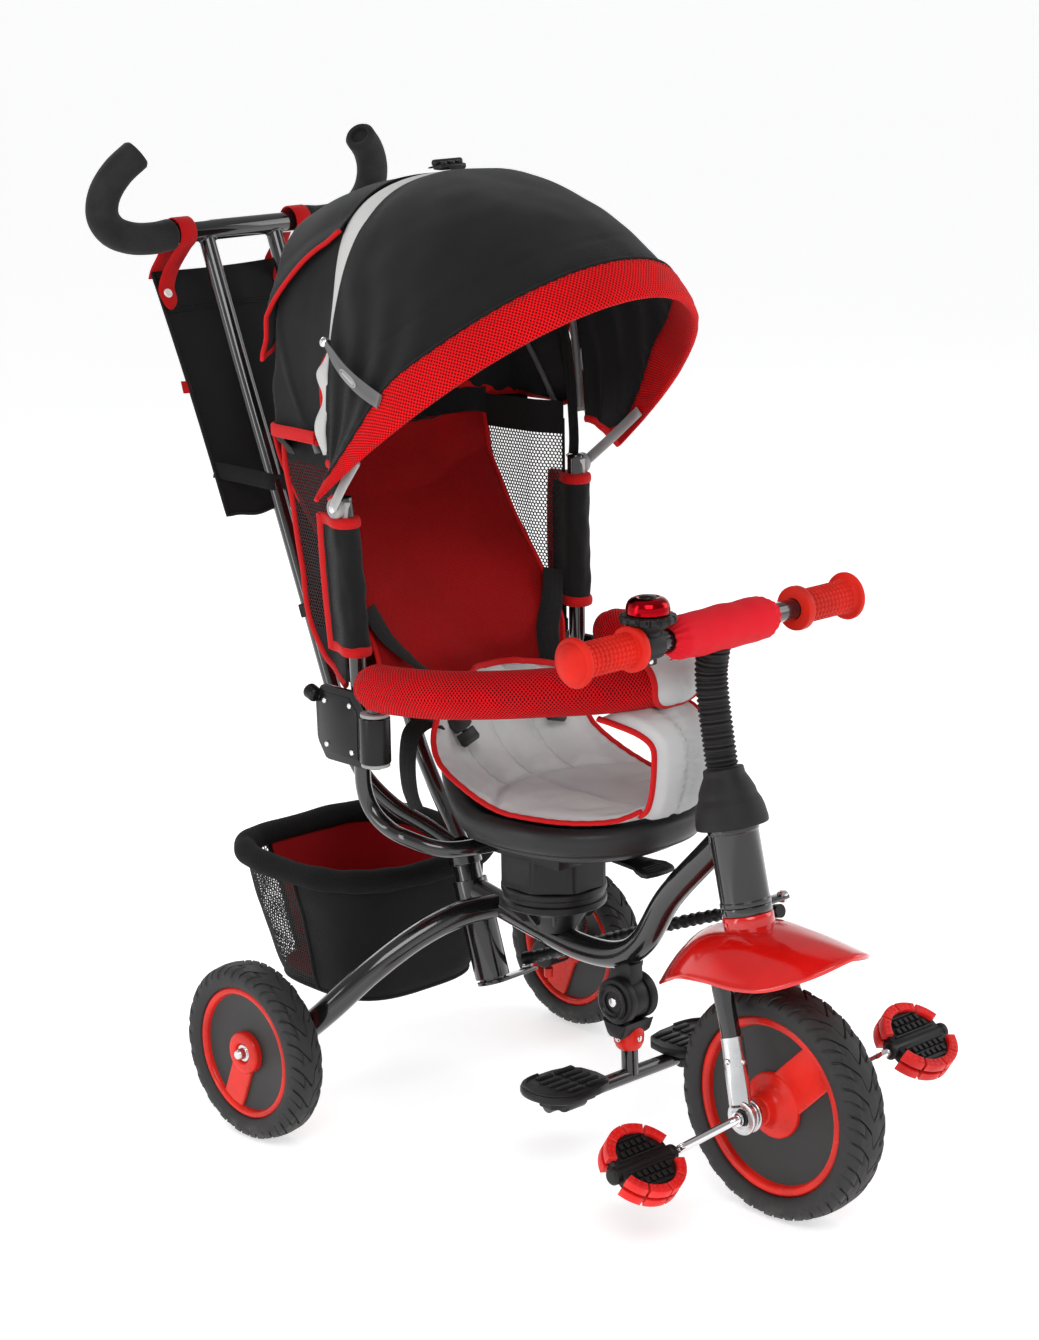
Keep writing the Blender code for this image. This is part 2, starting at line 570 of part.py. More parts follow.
# --------------------------------------------------------- push handle, link
def push_handle():
    b = "push_handle"
    plate_c = SHAFT + SHAFT_AXIS * -0.0635
    u, v, w = frame_of(SHAFT_AXIS)
    outline = []
    for cx, r, a0, a1 in ((0.055, 0.0115, -90, 90), (0.0, 0.0190, 90, 270)):
        for k in range(9):
            a = radians(lerp(a0, a1, k / 8))
            outline.append((cx + r * cos(a), r * sin(a)))
    back = Vector((0, SHAFT_AXIS.z, -SHAFT_AXIS.y))

    def place(x, y, h):
        return plate_c + Vector((x, 0, 0)) + back * y + SHAFT_AXIS * h

    add("push_shaft", b, BLACK_PAINT,
        combine(rod(SHAFT, SHAFT_AXIS, -0.0645, 0.0740, 0.0156, 20),
                ("UNION", prism(outline, -0.0020, 0.0020, place))))
    tubes = []
    for s in (1, -1):
        path = sided(s, [(PUSH_X, 0.8640, 0.9860), (PUSH_X, 0.8030, 0.8328), (PUSH_X, 0.7542, 0.7150),
                         (PUSH_X, 0.6770, 0.5265), (PUSH_X, 0.6350, 0.4260), (0.048, 0.6090, 0.3760),
                         (0.036, 0.5700, 0.3400), (0.018, 0.5280, 0.3170), (0.006, 0.4990, 0.3000)])
        tubes.append(sweep(spline(path, 16), PUSH_R, 8))
    collar = rod(SHAFT, SHAFT_AXIS, 0.0745, 0.1000, 0.0185, 20)
    cross = rod((0, 0.8595, 0.9790), (1, 0, 0), -0.0980, 0.0980, 0.0120, 12)
    add("push_frame", b, BLACK_PAINT,
        combine(collar, ("UNION", tubes[0]), ("UNION", tubes[1]), ("UNION", cross)))
    for side, s in (("left", 1), ("right", -1)):
        path = spline(sided(s, horn_path()), 12)
        add("push_grip_" + side, b, FOAM, sweep(path, 0.0185, 12))
    # flat storage bag hung behind the tubes
    grid = []
    for i in range(7):
        t = i / 6
        hw = lerp(0.0955, 0.0900, t)
        y = lerp(0.9060, 0.7850, t)
        z = lerp(0.9300, 0.6560, t)
        bulge = 0.010 * sin(pi * min(t * 1.1, 1))
        grid.append([(x * hw, y, z, bulge * (1 - abs(x) ** 3)) for x in
                     [lerp(-1, 1, j / 6) for j in range(7)]])
    back_n = Vector((0, 0.9147, -0.4040))
    rings = []
    for row in grid:
        front = [Vector((x, y, z)) + back_n * (-0.004 - bl * 0.3) for x, y, z, bl in row]
        rear = [Vector((x, y, z)) + back_n * (0.004 + bl) for x, y, z, bl in row[::-1]]
        rings.append(front + rear)
    add("handle_bag", b, BLACK_CLOTH, skin(rings))
    # ribbed rod from the rear lever to the steering arm, open at its front pivot
    rod_path = [(0.0550, 0.4450, 0.1600), (0.0535, 0.3400, 0.2030), (0.0520, 0.2400, 0.2455),
                (0.0520, 0.1300, 0.2885), (0.0520, 0.0500, 0.3105)]
    add("tie_rod", "tie_rod", RUBBER, sweep(spline(rod_path, 8), 0.0075, 8))


def horn_path():
    return [(0.1000, 0.8592, 0.9790), (0.1250, 0.8590, 0.9765), (0.1560, 0.8588, 0.9790),
            (0.1830, 0.8580, 0.9890), (0.1985, 0.8550, 1.0080), (0.1990, 0.8480, 1.0330),
            (0.1860, 0.8390, 1.0570), (0.1640, 0.8300, 1.0770)]


# ------------------------------------------------------------------ footrest
def footrest():
    pivot = (0, 0.2255, 0.183)
    yoke = rod(pivot, (1, 0, 0), -0.0225, 0.0225, 0.0262, 24)
    slot = rod(pivot, (1, 0, 0), -0.0106, 0.0106, 0.0240, 24)
    mouth = box((-0.0106, 0.195, 0.176), (0.0106, 0.256, 0.215))
    pin = rod(pivot, (1, 0, 0), -0.0200, 0.0200, 0.0046, 16)
    foot = sweep([(0, 0.2255, 0.1588), (0, 0.2240, 0.1200), (0, 0.2230, 0.0950)], 0.0095, 10)
    cross = rod((0, 0.2230, 0.0935), (1, 0, 0), -0.1250, 0.1250, 0.0085, 10)
    add("footrest_post", "footrest", BLACK_PAINT,
        combine(yoke, ("DIFFERENCE", slot), ("DIFFERENCE", mouth), ("UNION", pin),
                ("UNION", foot), ("UNION", cross)))
    for side, s in (("left", 1), ("right", -1)):
        outline = []
        for k in range(11):
            a = radians(-90 + 18 * k)
            outline.append((0.108 + 0.042 * cos(a), 0.2230 + 0.0385 * sin(a)))
        outline += [(0.058, 0.2530), (0.051, 0.2230), (0.058, 0.1930)]
        add("foot_plate_" + side, "footrest", BLACK_PLASTIC,
            prism(outline, 0.1024, 0.1185, lambda x, y, h, s=s: Vector((s * x, y, h))))


# ---------------------------------------------------------------------- seat
def rise(y, amount=0.055):
    return amount * smooth((y - 0.330) / 0.125)


def seat_ring(hw, hl, z, share=1.0, extra=0.0, count=24, power=2.3):
    ring = []
    for k in range(count):
        a = 2 * pi * k / count
        x = hw * abs(cos(a)) ** (2 / power) * (1 if cos(a) >= 0 else -1)
        y = SEAT_C + hl * abs(sin(a)) ** (2 / power) * (1 if sin(a) >= 0 else -1)
        ring.append(Vector((x, y, z + rise(y) * share + rise(y, extra))))
    return ring


def seat():
    b = "seat"
    eight = [(0.0615 * cos(radians(22.5 + 45 * k)), 0.0615 * sin(radians(22.5 + 45 * k)))
             for k in range(8)]
    add("seat_turntable", b, BLACK_PLASTIC,
        skin([[Vector((x * g, SEAT_Y + y * g, z)) for x, y in eight]
              for g, z in ((0.95, 0.2925), (1.0, 0.2940), (1.0, 0.3310), (0.98, 0.3330))]))
    add("seat_pan", b, BLACK_PLASTIC,
        skin([seat_ring(0.084, 0.100, 0.3545, 0.0), seat_ring(0.116, 0.132, 0.3640, 0.8),
              seat_ring(0.129, 0.144, 0.3780), seat_ring(0.131, 0.146, 0.3860),
              seat_ring(0.127, 0.142, 0.3950), seat_ring(0.118, 0.132, 0.3970),
              seat_ring(0.100, 0.114, 0.3900, 0.8), seat_ring(0.050, 0.060, 0.3840, 0.0)]))
    add("seat_cushion", b, GREY_CLOTH,
        skin([seat_ring(0.050, 0.060, 0.3875, 0.0), seat_ring(0.100, 0.114, 0.3950, 0.8),
              seat_ring(0.117, 0.131, 0.4010), seat_ring(0.124, 0.138, 0.4025, 1.0, 0.004),
              seat_ring(0.129, 0.143, 0.4060, 1.0, 0.030), seat_ring(0.125, 0.139, 0.4100, 1.0, 0.036),
              seat_ring(0.108, 0.120, 0.4050, 1.0, 0.016), seat_ring(0.060, 0.070, 0.3990, 0.6)]))
    pad = [(0, 0.1600, 0.4130), (0, 0.1500, 0.4250), (0, 0.1425, 0.4500), (0, 0.1410, 0.4800),
           (0, 0.1430, 0.5030)]
    path = spline(pad, 8)
    rings = []
    for i, p in enumerate(path):
        t = (path[min(i + 1, 7)] - path[max(i - 1, 0)]).normalized()
        n = t.cross(Vector((1, 0, 0))).normalized()
        rings.append([p + Vector((x, 0, 0)) + n * h for x, h in
                      ((-0.042, -0.003), (0.042, -0.003), (0.043, 0.0), (0.030, 0.0055),
                       (-0.030, 0.0055), (-0.043, 0.0))])
    add("crotch_pad", b, GREY_CLOTH, skin(rings))
    lip = [(-0.022, 0.178), (0.022, 0.178), (0.024, 0.184), (0.018, 0.200), (0.012, 0.300),
           (-0.012, 0.300), (-0.018, 0.200), (-0.024, 0.184)]
    add("seat_release_lever", "seat_release", BLACK_PLASTIC,
        prism(lip, 0.3380, 0.3425, lambda x, y, h: Vector((x, y, h))))
    for side, s in (("left", 1), ("right", -1)):
        path = sided(s, [(0.010, 0.362, 0.3440), (0.080, 0.366, 0.3442), (0.128, 0.378, 0.3475),
                         (0.1500, 0.408, 0.3570), (0.1550, 0.440, 0.3650), (0.1590, 0.4620, 0.3830),
                         (0.1630, 0.4690, 0.4080), (POST_X, 0.4680, 0.4330)])
        add("side_frame_" + side, b, BLACK_PAINT, sweep(spline(path, 14), 0.0090, 8))
        plate = prism([(0.4400, 0.4360), (0.5080, 0.4360), (0.5220, 0.4560), (0.5240, 0.5060),
                       (0.5120, 0.5200), (0.4560, 0.5200), (0.4400, 0.4980)],
                      0.1792, 0.1830, lambda y, z, h, s=s: Vector((s * h, y, z)))
        barrel = rod((s * HINGE_X, HINGE_Y, 0), (0, 0, 1), 0.4465, 0.4985, 0.0170, 24)
        bore = rod((s * HINGE_X, HINGE_Y, 0), (0, 0, 1), 0.43, 0.52, 0.0082, 20)
        add("bracket_" + side, b, BLACK_PLASTIC,
            combine(barrel, ("UNION", plate), ("DIFFERENCE", bore)))
        foam = sided(s, [(HINGE_X, 0.4330, 0.5305), (0.1825, 0.3900, 0.5335), (0.1790, 0.3400, 0.5380),
                         (0.1620, 0.2880, 0.5430), (0.1300, 0.2420, 0.5470), (0.0880, 0.2030, 0.5495),
                         (0.0450, 0.1790, 0.5500), (0, 0.1710, 0.5500),
                         (-0.0450, 0.1790, 0.5500)])
        add("safety_bar_" + side, "bar_" + side, RED_MESH,
            combine(sweep(spline(foam, 15), FOAM_R, 12),
                    ("DIFFERENCE", box(*sorted(((-0.09 * s, 0.12, 0.5), (0.0004 * s, 0.22, 0.6))))),
                    ("UNION", rod((s * HINGE_X, HINGE_Y, 0), (0, 0, 1), 0.4480, 0.5250, 0.0078, 16))))


# ---------------------------------------------------------- back and canopy
def back():
    b = "backrest"
    for side, s in (("left", 1), ("right", -1)):
        path = sided(s, [(POST_X, 0.4680, 0.4400), (0.1670, 0.4690, 0.5600),
                         (0.1715, 0.4740, 0.6800), (0.1745, 0.4770, 0.7300)])
        add("post_" + side, b, BLACK_PAINT, sweep(spline(path, 5), 0.0095, 10, up=(0, 1, 0)))
        outline = [(0.4970, 0.5300), (0.5410, 0.5440), (0.5650, 0.5790), (0.5770, 0.6300),
                   (0.5860, 0.6780), (0.6040, 0.7700), (0.5000, 0.7700), (0.4980, 0.6500)]
        add("wing_" + side, b, RED_MESH,
            prism(outline, 0.1490, 0.1530, lambda y, z, h, s=s: Vector((s * h, y, z))))
    mid = spline([(0, 0.4640, 0.5180), (0, 0.4690, 0.5550), (0, 0.5050, 0.6100),
                  (0, 0.5600, 0.6780), (0, 0.6050, 0.7450), (0, 0.6200, 0.7800)], 12)
    rings = []
    for i, p in enumerate(mid):
        t = (mid[min(i + 1, 11)] - mid[max(i - 1, 0)]).normalized()
        n = Vector((1, 0, 0)).cross(t).normalized()
        row = []
        for x, h in ((-1, -1), (0, -1), (1, -1), (1, 1), (0, 1), (-1, 1)):
            sag = 0.010 * (1 - x * x)
            row.append(p + Vector((x * 0.1400, 0, 0)) + n * (h * 0.004 - sag))
        rings.append(row)
    add("back_panel", b, RED_MESH, skin(rings))
    canopy()


def canopy_point(phi, th, inset=0.0):
    """Point on the hood: phi turns about the pivot, th runs along the bow."""
    f = smooth((90 - phi) / 50)
    a = lerp(0.1985, 0.2300, f) - inset
    h = lerp(0.3470, 0.3670, f) - inset
    n = lerp(2.77, 2.0, f)
    x = a * abs(sin(th)) ** (2 / n) * (1 if th >= 0 else -1)
    r = h * abs(cos(th)) ** (2 / n)
    p = radians(phi)
    if phi > 90:
        wall = lerp(0.1735, 0.1090, min(abs(x) / 0.19, 1) ** 2.0) - inset
        r = min(r, wall / max(-cos(p), 1e-6))
    return Vector((x, CAN_Y - r * cos(p), CAN_Z + r * sin(p)))


def canopy():
    cols = 15
    ths = [radians(lerp(-82, 82, j / (cols - 1))) for j in range(cols)]
    rear = [[canopy_point(phi, th, 0.0085) for th in ths]
            for phi in (89, 101, 113, 124, 137, 150)]
    add("canopy_rear", "backrest", BLACK_CLOTH, sheet(rear, 0.0035))
    rows = (40, 43.5, 48, 61, 75, 89)
    front = [[canopy_point(phi, th) for th in ths] for phi in rows]
    add("canopy_front", "canopy", BLACK_CLOTH,
        sheet(front, [0.0110, 0.0110, 0.0040, 0.0035, 0.0035, 0.0035]))


def main():
    clear_scene()
    joint_empties()
    wheels()
    crank()
    pedals()
    frame()
    steering()
    push_handle()
    footrest()
    seat()
    back()


main()
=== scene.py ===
"""Looks of the push tricycle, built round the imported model.

Units are metres, +Z up, front towards -Y, the child's left is +X.  Shapes are
written with the front axle over y = 0 and moved by AXLE_Y when they are made.
"""

import bpy
import bmesh
from math import atan2, cos, hypot, pi, radians, sin, sqrt, floor
from mathutils import Matrix, Vector, noise


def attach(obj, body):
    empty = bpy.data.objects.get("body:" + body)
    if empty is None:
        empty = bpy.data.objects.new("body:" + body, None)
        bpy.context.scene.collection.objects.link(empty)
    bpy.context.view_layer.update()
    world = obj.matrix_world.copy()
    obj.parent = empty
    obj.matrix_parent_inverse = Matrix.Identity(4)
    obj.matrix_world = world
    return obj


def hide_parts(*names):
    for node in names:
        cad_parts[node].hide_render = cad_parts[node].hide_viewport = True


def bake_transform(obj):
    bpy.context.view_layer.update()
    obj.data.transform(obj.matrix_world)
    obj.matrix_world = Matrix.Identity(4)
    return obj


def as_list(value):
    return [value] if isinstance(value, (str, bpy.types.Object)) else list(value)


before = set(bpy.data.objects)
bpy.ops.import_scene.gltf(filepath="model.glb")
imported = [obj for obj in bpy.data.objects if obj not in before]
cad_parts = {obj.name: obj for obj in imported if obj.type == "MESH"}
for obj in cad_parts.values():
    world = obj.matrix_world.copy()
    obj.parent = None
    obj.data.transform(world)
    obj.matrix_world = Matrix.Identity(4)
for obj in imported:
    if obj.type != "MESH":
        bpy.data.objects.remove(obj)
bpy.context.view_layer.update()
AXLE_Y = -0.3923294
SHIFT = Vector((0, AXLE_Y, 0))

HEAD = Vector((0, 0.0522, 0.330))
HEAD_AXIS = Vector((0, 0.2325, 1)).normalized()
SHAFT = Vector((0, 0.461, 0.2077))
SHAFT_AXIS = Vector((0, 0.327, 1)).normalized()
FRONT_R, FRONT_W, FRONT_RIM = 0.125, 0.0281, 0.0985
REAR_R, REAR_W, REAR_RIM = 0.101, 0.02195, 0.0765
REAR_X, REAR_Y = 0.25345, 0.5637
BAR_Y, BAR_Z = 0.0955, 0.6185
CRANK_DY, CRANK_DZ = 0.0388, -0.0308
PEDAL_X, PEDAL_TILT = 0.170, radians(33)
SEAT_Y, SEAT_C = 0.340, 0.307
POST_X = 0.165
HINGE_X, HINGE_Y = 0.180, 0.428
FOAM_R = 0.026
CAN_Y, CAN_Z = 0.477, 0.720
X_AXIS, Y_AXIS, Z_AXIS = Vector((1, 0, 0)), Vector((0, 1, 0)), Vector((0, 0, 1))


# ------------------------------------------------------------ shape helpers
def smooth(t):
    t = min(max(t, 0.0), 1.0)
    return t * t * (3 - 2 * t)


def lerp(a, b, t):
    return a + (b - a) * t


def wob(p, scale, amount, seed=0.0):
    """Smooth repeatable unevenness at a point."""
    return noise.noise(Vector((p[0] * scale + seed, p[1] * scale - seed, p[2] * scale + 2 * seed))) * amount


def spline(points, count):
    """Evenly spaced points on a smooth curve through the given ones."""
    pts = [Vector(p) for p in points]
    if len(pts) == 2:
        return [pts[0].lerp(pts[1], i / (count - 1)) for i in range(count)]
    ext = [2 * pts[0] - pts[1]] + pts + [2 * pts[-1] - pts[-2]]
    fine = []
    for i in range(1, len(ext) - 2):
        p0, p1, p2, p3 = ext[i - 1:i + 3]
        for k in range(24):
            t = k / 24
            fine.append(0.5 * ((2 * p1) + (p2 - p0) * t
                               + (2 * p0 - 5 * p1 + 4 * p2 - p3) * t * t
                               + (3 * p1 - 3 * p2 + p3 - p0) * t ** 3))
    fine.append(pts[-1].copy())
    run = [0.0]
    for a, b in zip(fine, fine[1:]):
        run.append(run[-1] + (b - a).length)
    out, j = [], 0
    for i in range(count):
        want = run[-1] * i / (count - 1)
        while j < len(run) - 2 and run[j + 1] < want:
            j += 1
        span = max(run[j + 1] - run[j], 1e-9)
        out.append(fine[j].lerp(fine[j + 1], min(max((want - run[j]) / span, 0), 1)))
    return out


def length_of(path):
    return sum((Vector(b) - Vector(a)).length for a, b in zip(path, path[1:]))


def sided(s, points):
    return [(s * p[0], p[1], p[2]) for p in points]


def frame_of(axis):
    axis = Vector(axis).normalized()
    helper = Vector((1, 0, 0)) if abs(axis.x) < 0.9 else Vector((0, 0, 1))
    u = helper.cross(axis).normalized()
    return u, axis.cross(u).normalized(), axis


class Shape:
    """Gathers points, faces and texture positions for one piece."""

    def __init__(self):
        self.points, self.faces, self.uvs = [], [], []

    def grid(self, rows, wrap=False, loop=False, ends=False, us=None, vs=None, flip=False):
        """Rows of points joined into quads; wrap closes each row, loop the rows."""
        base, n, m = len(self.points), len(rows[0]), len(rows)
        for row in rows:
            self.points.extend(Vector(p) for p in row)
        if us is None:
            us = [0.0]
            mid = rows[m // 2]
            for j in range(n if wrap else n - 1):
                us.append(us[-1] + (Vector(mid[(j + 1) % n]) - Vector(mid[j])).length)
        if vs is None:
            vs = [0.0]
            for i in range(m if loop else m - 1):
                vs.append(vs[-1] + (Vector(rows[(i + 1) % m][0]) - Vector(rows[i][0])).length)
        for i in range(m if loop else m - 1):
            for j in range(n if wrap else n - 1):
                a, b = base + i * n + j, base + i * n + (j + 1) % n
                c, d = base + ((i + 1) % m) * n + (j + 1) % n, base + ((i + 1) % m) * n + j
                uv = [(us[j], vs[i]), (us[j + 1], vs[i]), (us[j + 1], vs[i + 1]), (us[j], vs[i + 1])]
                face = [a, b, c, d]
                if flip:
                    face, uv = face[::-1], uv[::-1]
                self.faces.append(face)
                self.uvs.append(uv)
        if ends:
            for row, rev in ((0, True), (m - 1, False)):
                face = [base + row * n + j for j in range(n)]
                uv = [(us[j], vs[min(row, len(vs) - 1)]) for j in range(n)]
                if rev != flip:
                    face, uv = face[::-1], uv[::-1]
                self.faces.append(face)
                self.uvs.append(uv)
        return self

    def join(self, other):
        base = len(self.points)
        self.points.extend(other.points)
        self.faces.extend([[base + k for k in f] for f in other.faces])
        self.uvs.extend(other.uvs)
        return self

    def move(self, matrix):
        self.points = [matrix @ p for p in self.points]
        return self

    def mirror(self):
        self.points = [Vector((-p.x, p.y, p.z)) for p in self.points]
        self.faces = [f[::-1] for f in self.faces]
        self.uvs = [u[::-1] for u in self.uvs]
        return self


def sweep(path, radius, sides=24, up=(0, 0, 1), flat=(1.0, 1.0), ends=True, section=None, round_ends=0.0):
    """Bar along a path. radius may be a list; section(i, angle) may scale it."""
    pts = [Vector(p) for p in path]
    radii = list(radius) if isinstance(radius, (list, tuple)) else [radius] * len(pts)
    rings, side = [], None
    n = len(pts)
    for i, p in enumerate(pts):
        a, b = pts[max(i - 1, 0)], pts[min(i + 1, n - 1)]
        t = (b - a).normalized()
        if side is None:
            side = t.cross(Vector(up))
            if side.length < 1e-4:
                side = t.cross(Vector((0, 1, 0)))
        side = (side - t * side.dot(t)).normalized()
        top = side.cross(t).normalized()
        ring = []
        for k in range(sides):
            w = 2 * pi * k / sides
            g = section(i, w) if section else 1.0
            ring.append(p + side * (radii[i] * g * flat[0] * cos(w)) + top * (radii[i] * g * flat[1] * sin(w)))
        rings.append(ring)
    if round_ends:
        for first in (True, False):
            ring = rings[0] if first else rings[-1]
            c = sum(ring, Vector()) / sides
            t = (pts[1] - pts[0]).normalized() * -1 if first else (pts[-1] - pts[-2]).normalized()
            extra = []
            for k in (0.35, 0.7, 0.92):
                g = sqrt(max(1 - k * k, 0.0))
                extra.append([c + (q - c) * g + t * (k * round_ends) for q in ring])
            if first:
                rings = extra[::-1] + rings
            else:
                rings = rings + extra
    return Shape().grid(rings, wrap=True, ends=ends)


def ribbon(path, width, thick, across, taper=None):
    """Flat strap with soft edges along a path; across is its width direction (a vector or one per point)."""
    pts = [Vector(p) for p in path]
    n = len(pts)
    rows = []
    for i, p in enumerate(pts):
        t = (pts[min(i + 1, n - 1)] - pts[max(i - 1, 0)]).normalized()
        c = Vector(across[i] if isinstance(across, list) else across)
        c = (c - t * c.dot(t)).normalized()
        nrm = t.cross(c).normalized()
        w = width * (taper[i] if taper else 1.0) / 2
        h = thick / 2
        rows.append([p + c * x + nrm * y for x, y in
                     ((-w, 0), (-w + h, -h), (0, -h), (w - h, -h), (w, 0), (w - h, h), (0, h), (-w + h, h))])
    return Shape().grid(rows, wrap=True, ends=True)


def lathe(profile, centre, axis, sides=48, swell=None):
    """Turned piece from (radius, height) points; ends on the axis make it a solid, otherwise it is a ring."""
    u, v, w = frame_of(axis)
    c = Vector(centre)
    solid = profile[0][0] == 0 and profile[-1][0] == 0
    body = profile[1:-1] if solid else profile
    rows = []
    for r, h in body:
        rows.append([c + w * h + (u * cos(2 * pi * k / sides) + v * sin(2 * pi * k / sides))
                     * (r * (swell(h, 2 * pi * k / sides) if swell else 1.0)) for k in range(sides)])
    sh = Shape().grid(rows, wrap=True, loop=not solid)
    if solid:
        for i, (r, h) in ((0, profile[0]), (len(rows) - 1, profile[-1])):
            tip = len(sh.points)
            sh.points.append(c + w * h)
            for k in range(sides):
                f = [i * sides + k, i * sides + (k + 1) % sides, tip]
                uv = [(0, 0), (0.001, 0), (0.001, 0.001)]
                sh.faces.append(f[::-1] if i == 0 else f)
                sh.uvs.append(uv)
    return sh


def rounded(profile, bevel, steps=3):
    """Turned profile with its corners rounded; the two end points stay."""
    out = [profile[0]]
    for a, b, c in zip(profile, profile[1:], profile[2:]):
        la, lc = hypot(a[0] - b[0], a[1] - b[1]), hypot(c[0] - b[0], c[1] - b[1])
        r = min(bevel, la * 0.45, lc * 0.45)
        if r < 1e-6:
            out.append(b)
            continue
        p = (b[0] + (a[0] - b[0]) / la * r, b[1] + (a[1] - b[1]) / la * r)
        q = (b[0] + (c[0] - b[0]) / lc * r, b[1] + (c[1] - b[1]) / lc * r)
        for k in range(steps + 1):
            t = k / steps
            out.append(((1 - t) ** 2 * p[0] + 2 * t * (1 - t) * b[0] + t * t * q[0],
                        (1 - t) ** 2 * p[1] + 2 * t * (1 - t) * b[1] + t * t * q[1]))
    out.append(profile[-1])
    return out


def slab(outline, low, high, place, bevel=0.001):
    """Flat plate with bevelled rims from an outline and two heights, put in place by a function."""
    n = len(outline)
    cx = sum(p[0] for p in outline) / n
    cy = sum(p[1] for p in outline) / n

    def inset(d):
        out = []
        for i in range(n):
            a, b, c = outline[i - 1], outline[i], outline[(i + 1) % n]
            e1 = Vector((b[0] - a[0], b[1] - a[1])).normalized()
            e2 = Vector((c[0] - b[0], c[1] - b[1])).normalized()
            nrm = Vector((-(e1.y + e2.y), e1.x + e2.x))
            if nrm.length < 1e-6:
                nrm = Vector((-e1.y, e1.x))
            nrm.normalize()
            if nrm.dot(Vector((cx - b[0], cy - b[1]))) < 0:
                nrm = -nrm
            out.append((b[0] + nrm.x * d, b[1] + nrm.y * d))
        return out

    rows = []
    for d, h in ((bevel, low), (bevel * 0.3, low + bevel * 0.3), (0, low + bevel), (0, high - bevel),
                 (bevel * 0.3, high - bevel * 0.3), (bevel, high)):
        rows.append([place(x, y, h) for x, y in (inset(d) if d else outline)])
    return Shape().grid(rows, wrap=True, ends=True)


def block(lo, hi, bevel=0.0015, place=None):
    outline = [(lo[0], lo[1]), (hi[0], lo[1]), (hi[0], hi[1]), (lo[0], hi[1])]
    k = min(bevel * 2, (hi[0] - lo[0]) / 3, (hi[1] - lo[1]) / 3)
    pts = []
    for i, (x, y) in enumerate(outline):
        px, py = outline[i - 1]
        nx, ny = outline[(i + 1) % 4]
        d1 = Vector((px - x, py - y)).normalized()
        d2 = Vector((nx - x, ny - y)).normalized()
        pts.append((x + d1.x * k, y + d1.y * k))
        pts.append((x + (d1.x + d2.x) * k * 0.3, y + (d1.y + d2.y) * k * 0.3))
        pts.append((x + d2.x * k, y + d2.y * k))
    return slab(pts, lo[2], hi[2], place or (lambda x, y, h: Vector((x, y, h))), bevel)


MADE = {}


def make(name, shape, mat, body, replaces=(), angle=38, sub=0, thick=0.0, mats=None, pick=None, offset=-1.0):
    """Turns a shape into an object that rides on a body."""
    mesh = bpy.data.meshes.new(name)
    mesh.from_pydata([p + SHIFT for p in shape.points], [], shape.faces)
    layer = mesh.uv_layers.new(name="UVMap")
    flat = [c for uv in shape.uvs for c in uv]
    layer.data.foreach_set("uv", [x for c in flat for x in c])
    bm = bmesh.new()
    bm.from_mesh(mesh)
    if not thick:
        bmesh.ops.remove_doubles(bm, verts=bm.verts, dist=1e-7)
        bmesh.ops.recalc_face_normals(bm, faces=bm.faces)
    bm.to_mesh(mesh)
    bm.free()
    for m in (mats or [mat]):
        mesh.materials.append(m)
    if pick:
        for poly in mesh.polygons:
            poly.material_index = pick(poly.center - SHIFT, poly.normal)
    mesh.shade_smooth()
    mesh.set_sharp_from_angle(angle=radians(angle))
    ob = bpy.data.objects.new(name, mesh)
    bpy.context.scene.collection.objects.link(ob)
    if sub:
        s = ob.modifiers.new("smooth", "SUBSURF")
        s.levels = s.render_levels = sub
    if thick:
        s = ob.modifiers.new("thick", "SOLIDIFY")
        s.thickness, s.offset = thick, offset
    if body:
        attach(ob, body)
    if replaces:
        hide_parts(*([replaces] if isinstance(replaces, str) else replaces))
    MADE[name] = ob
    return ob


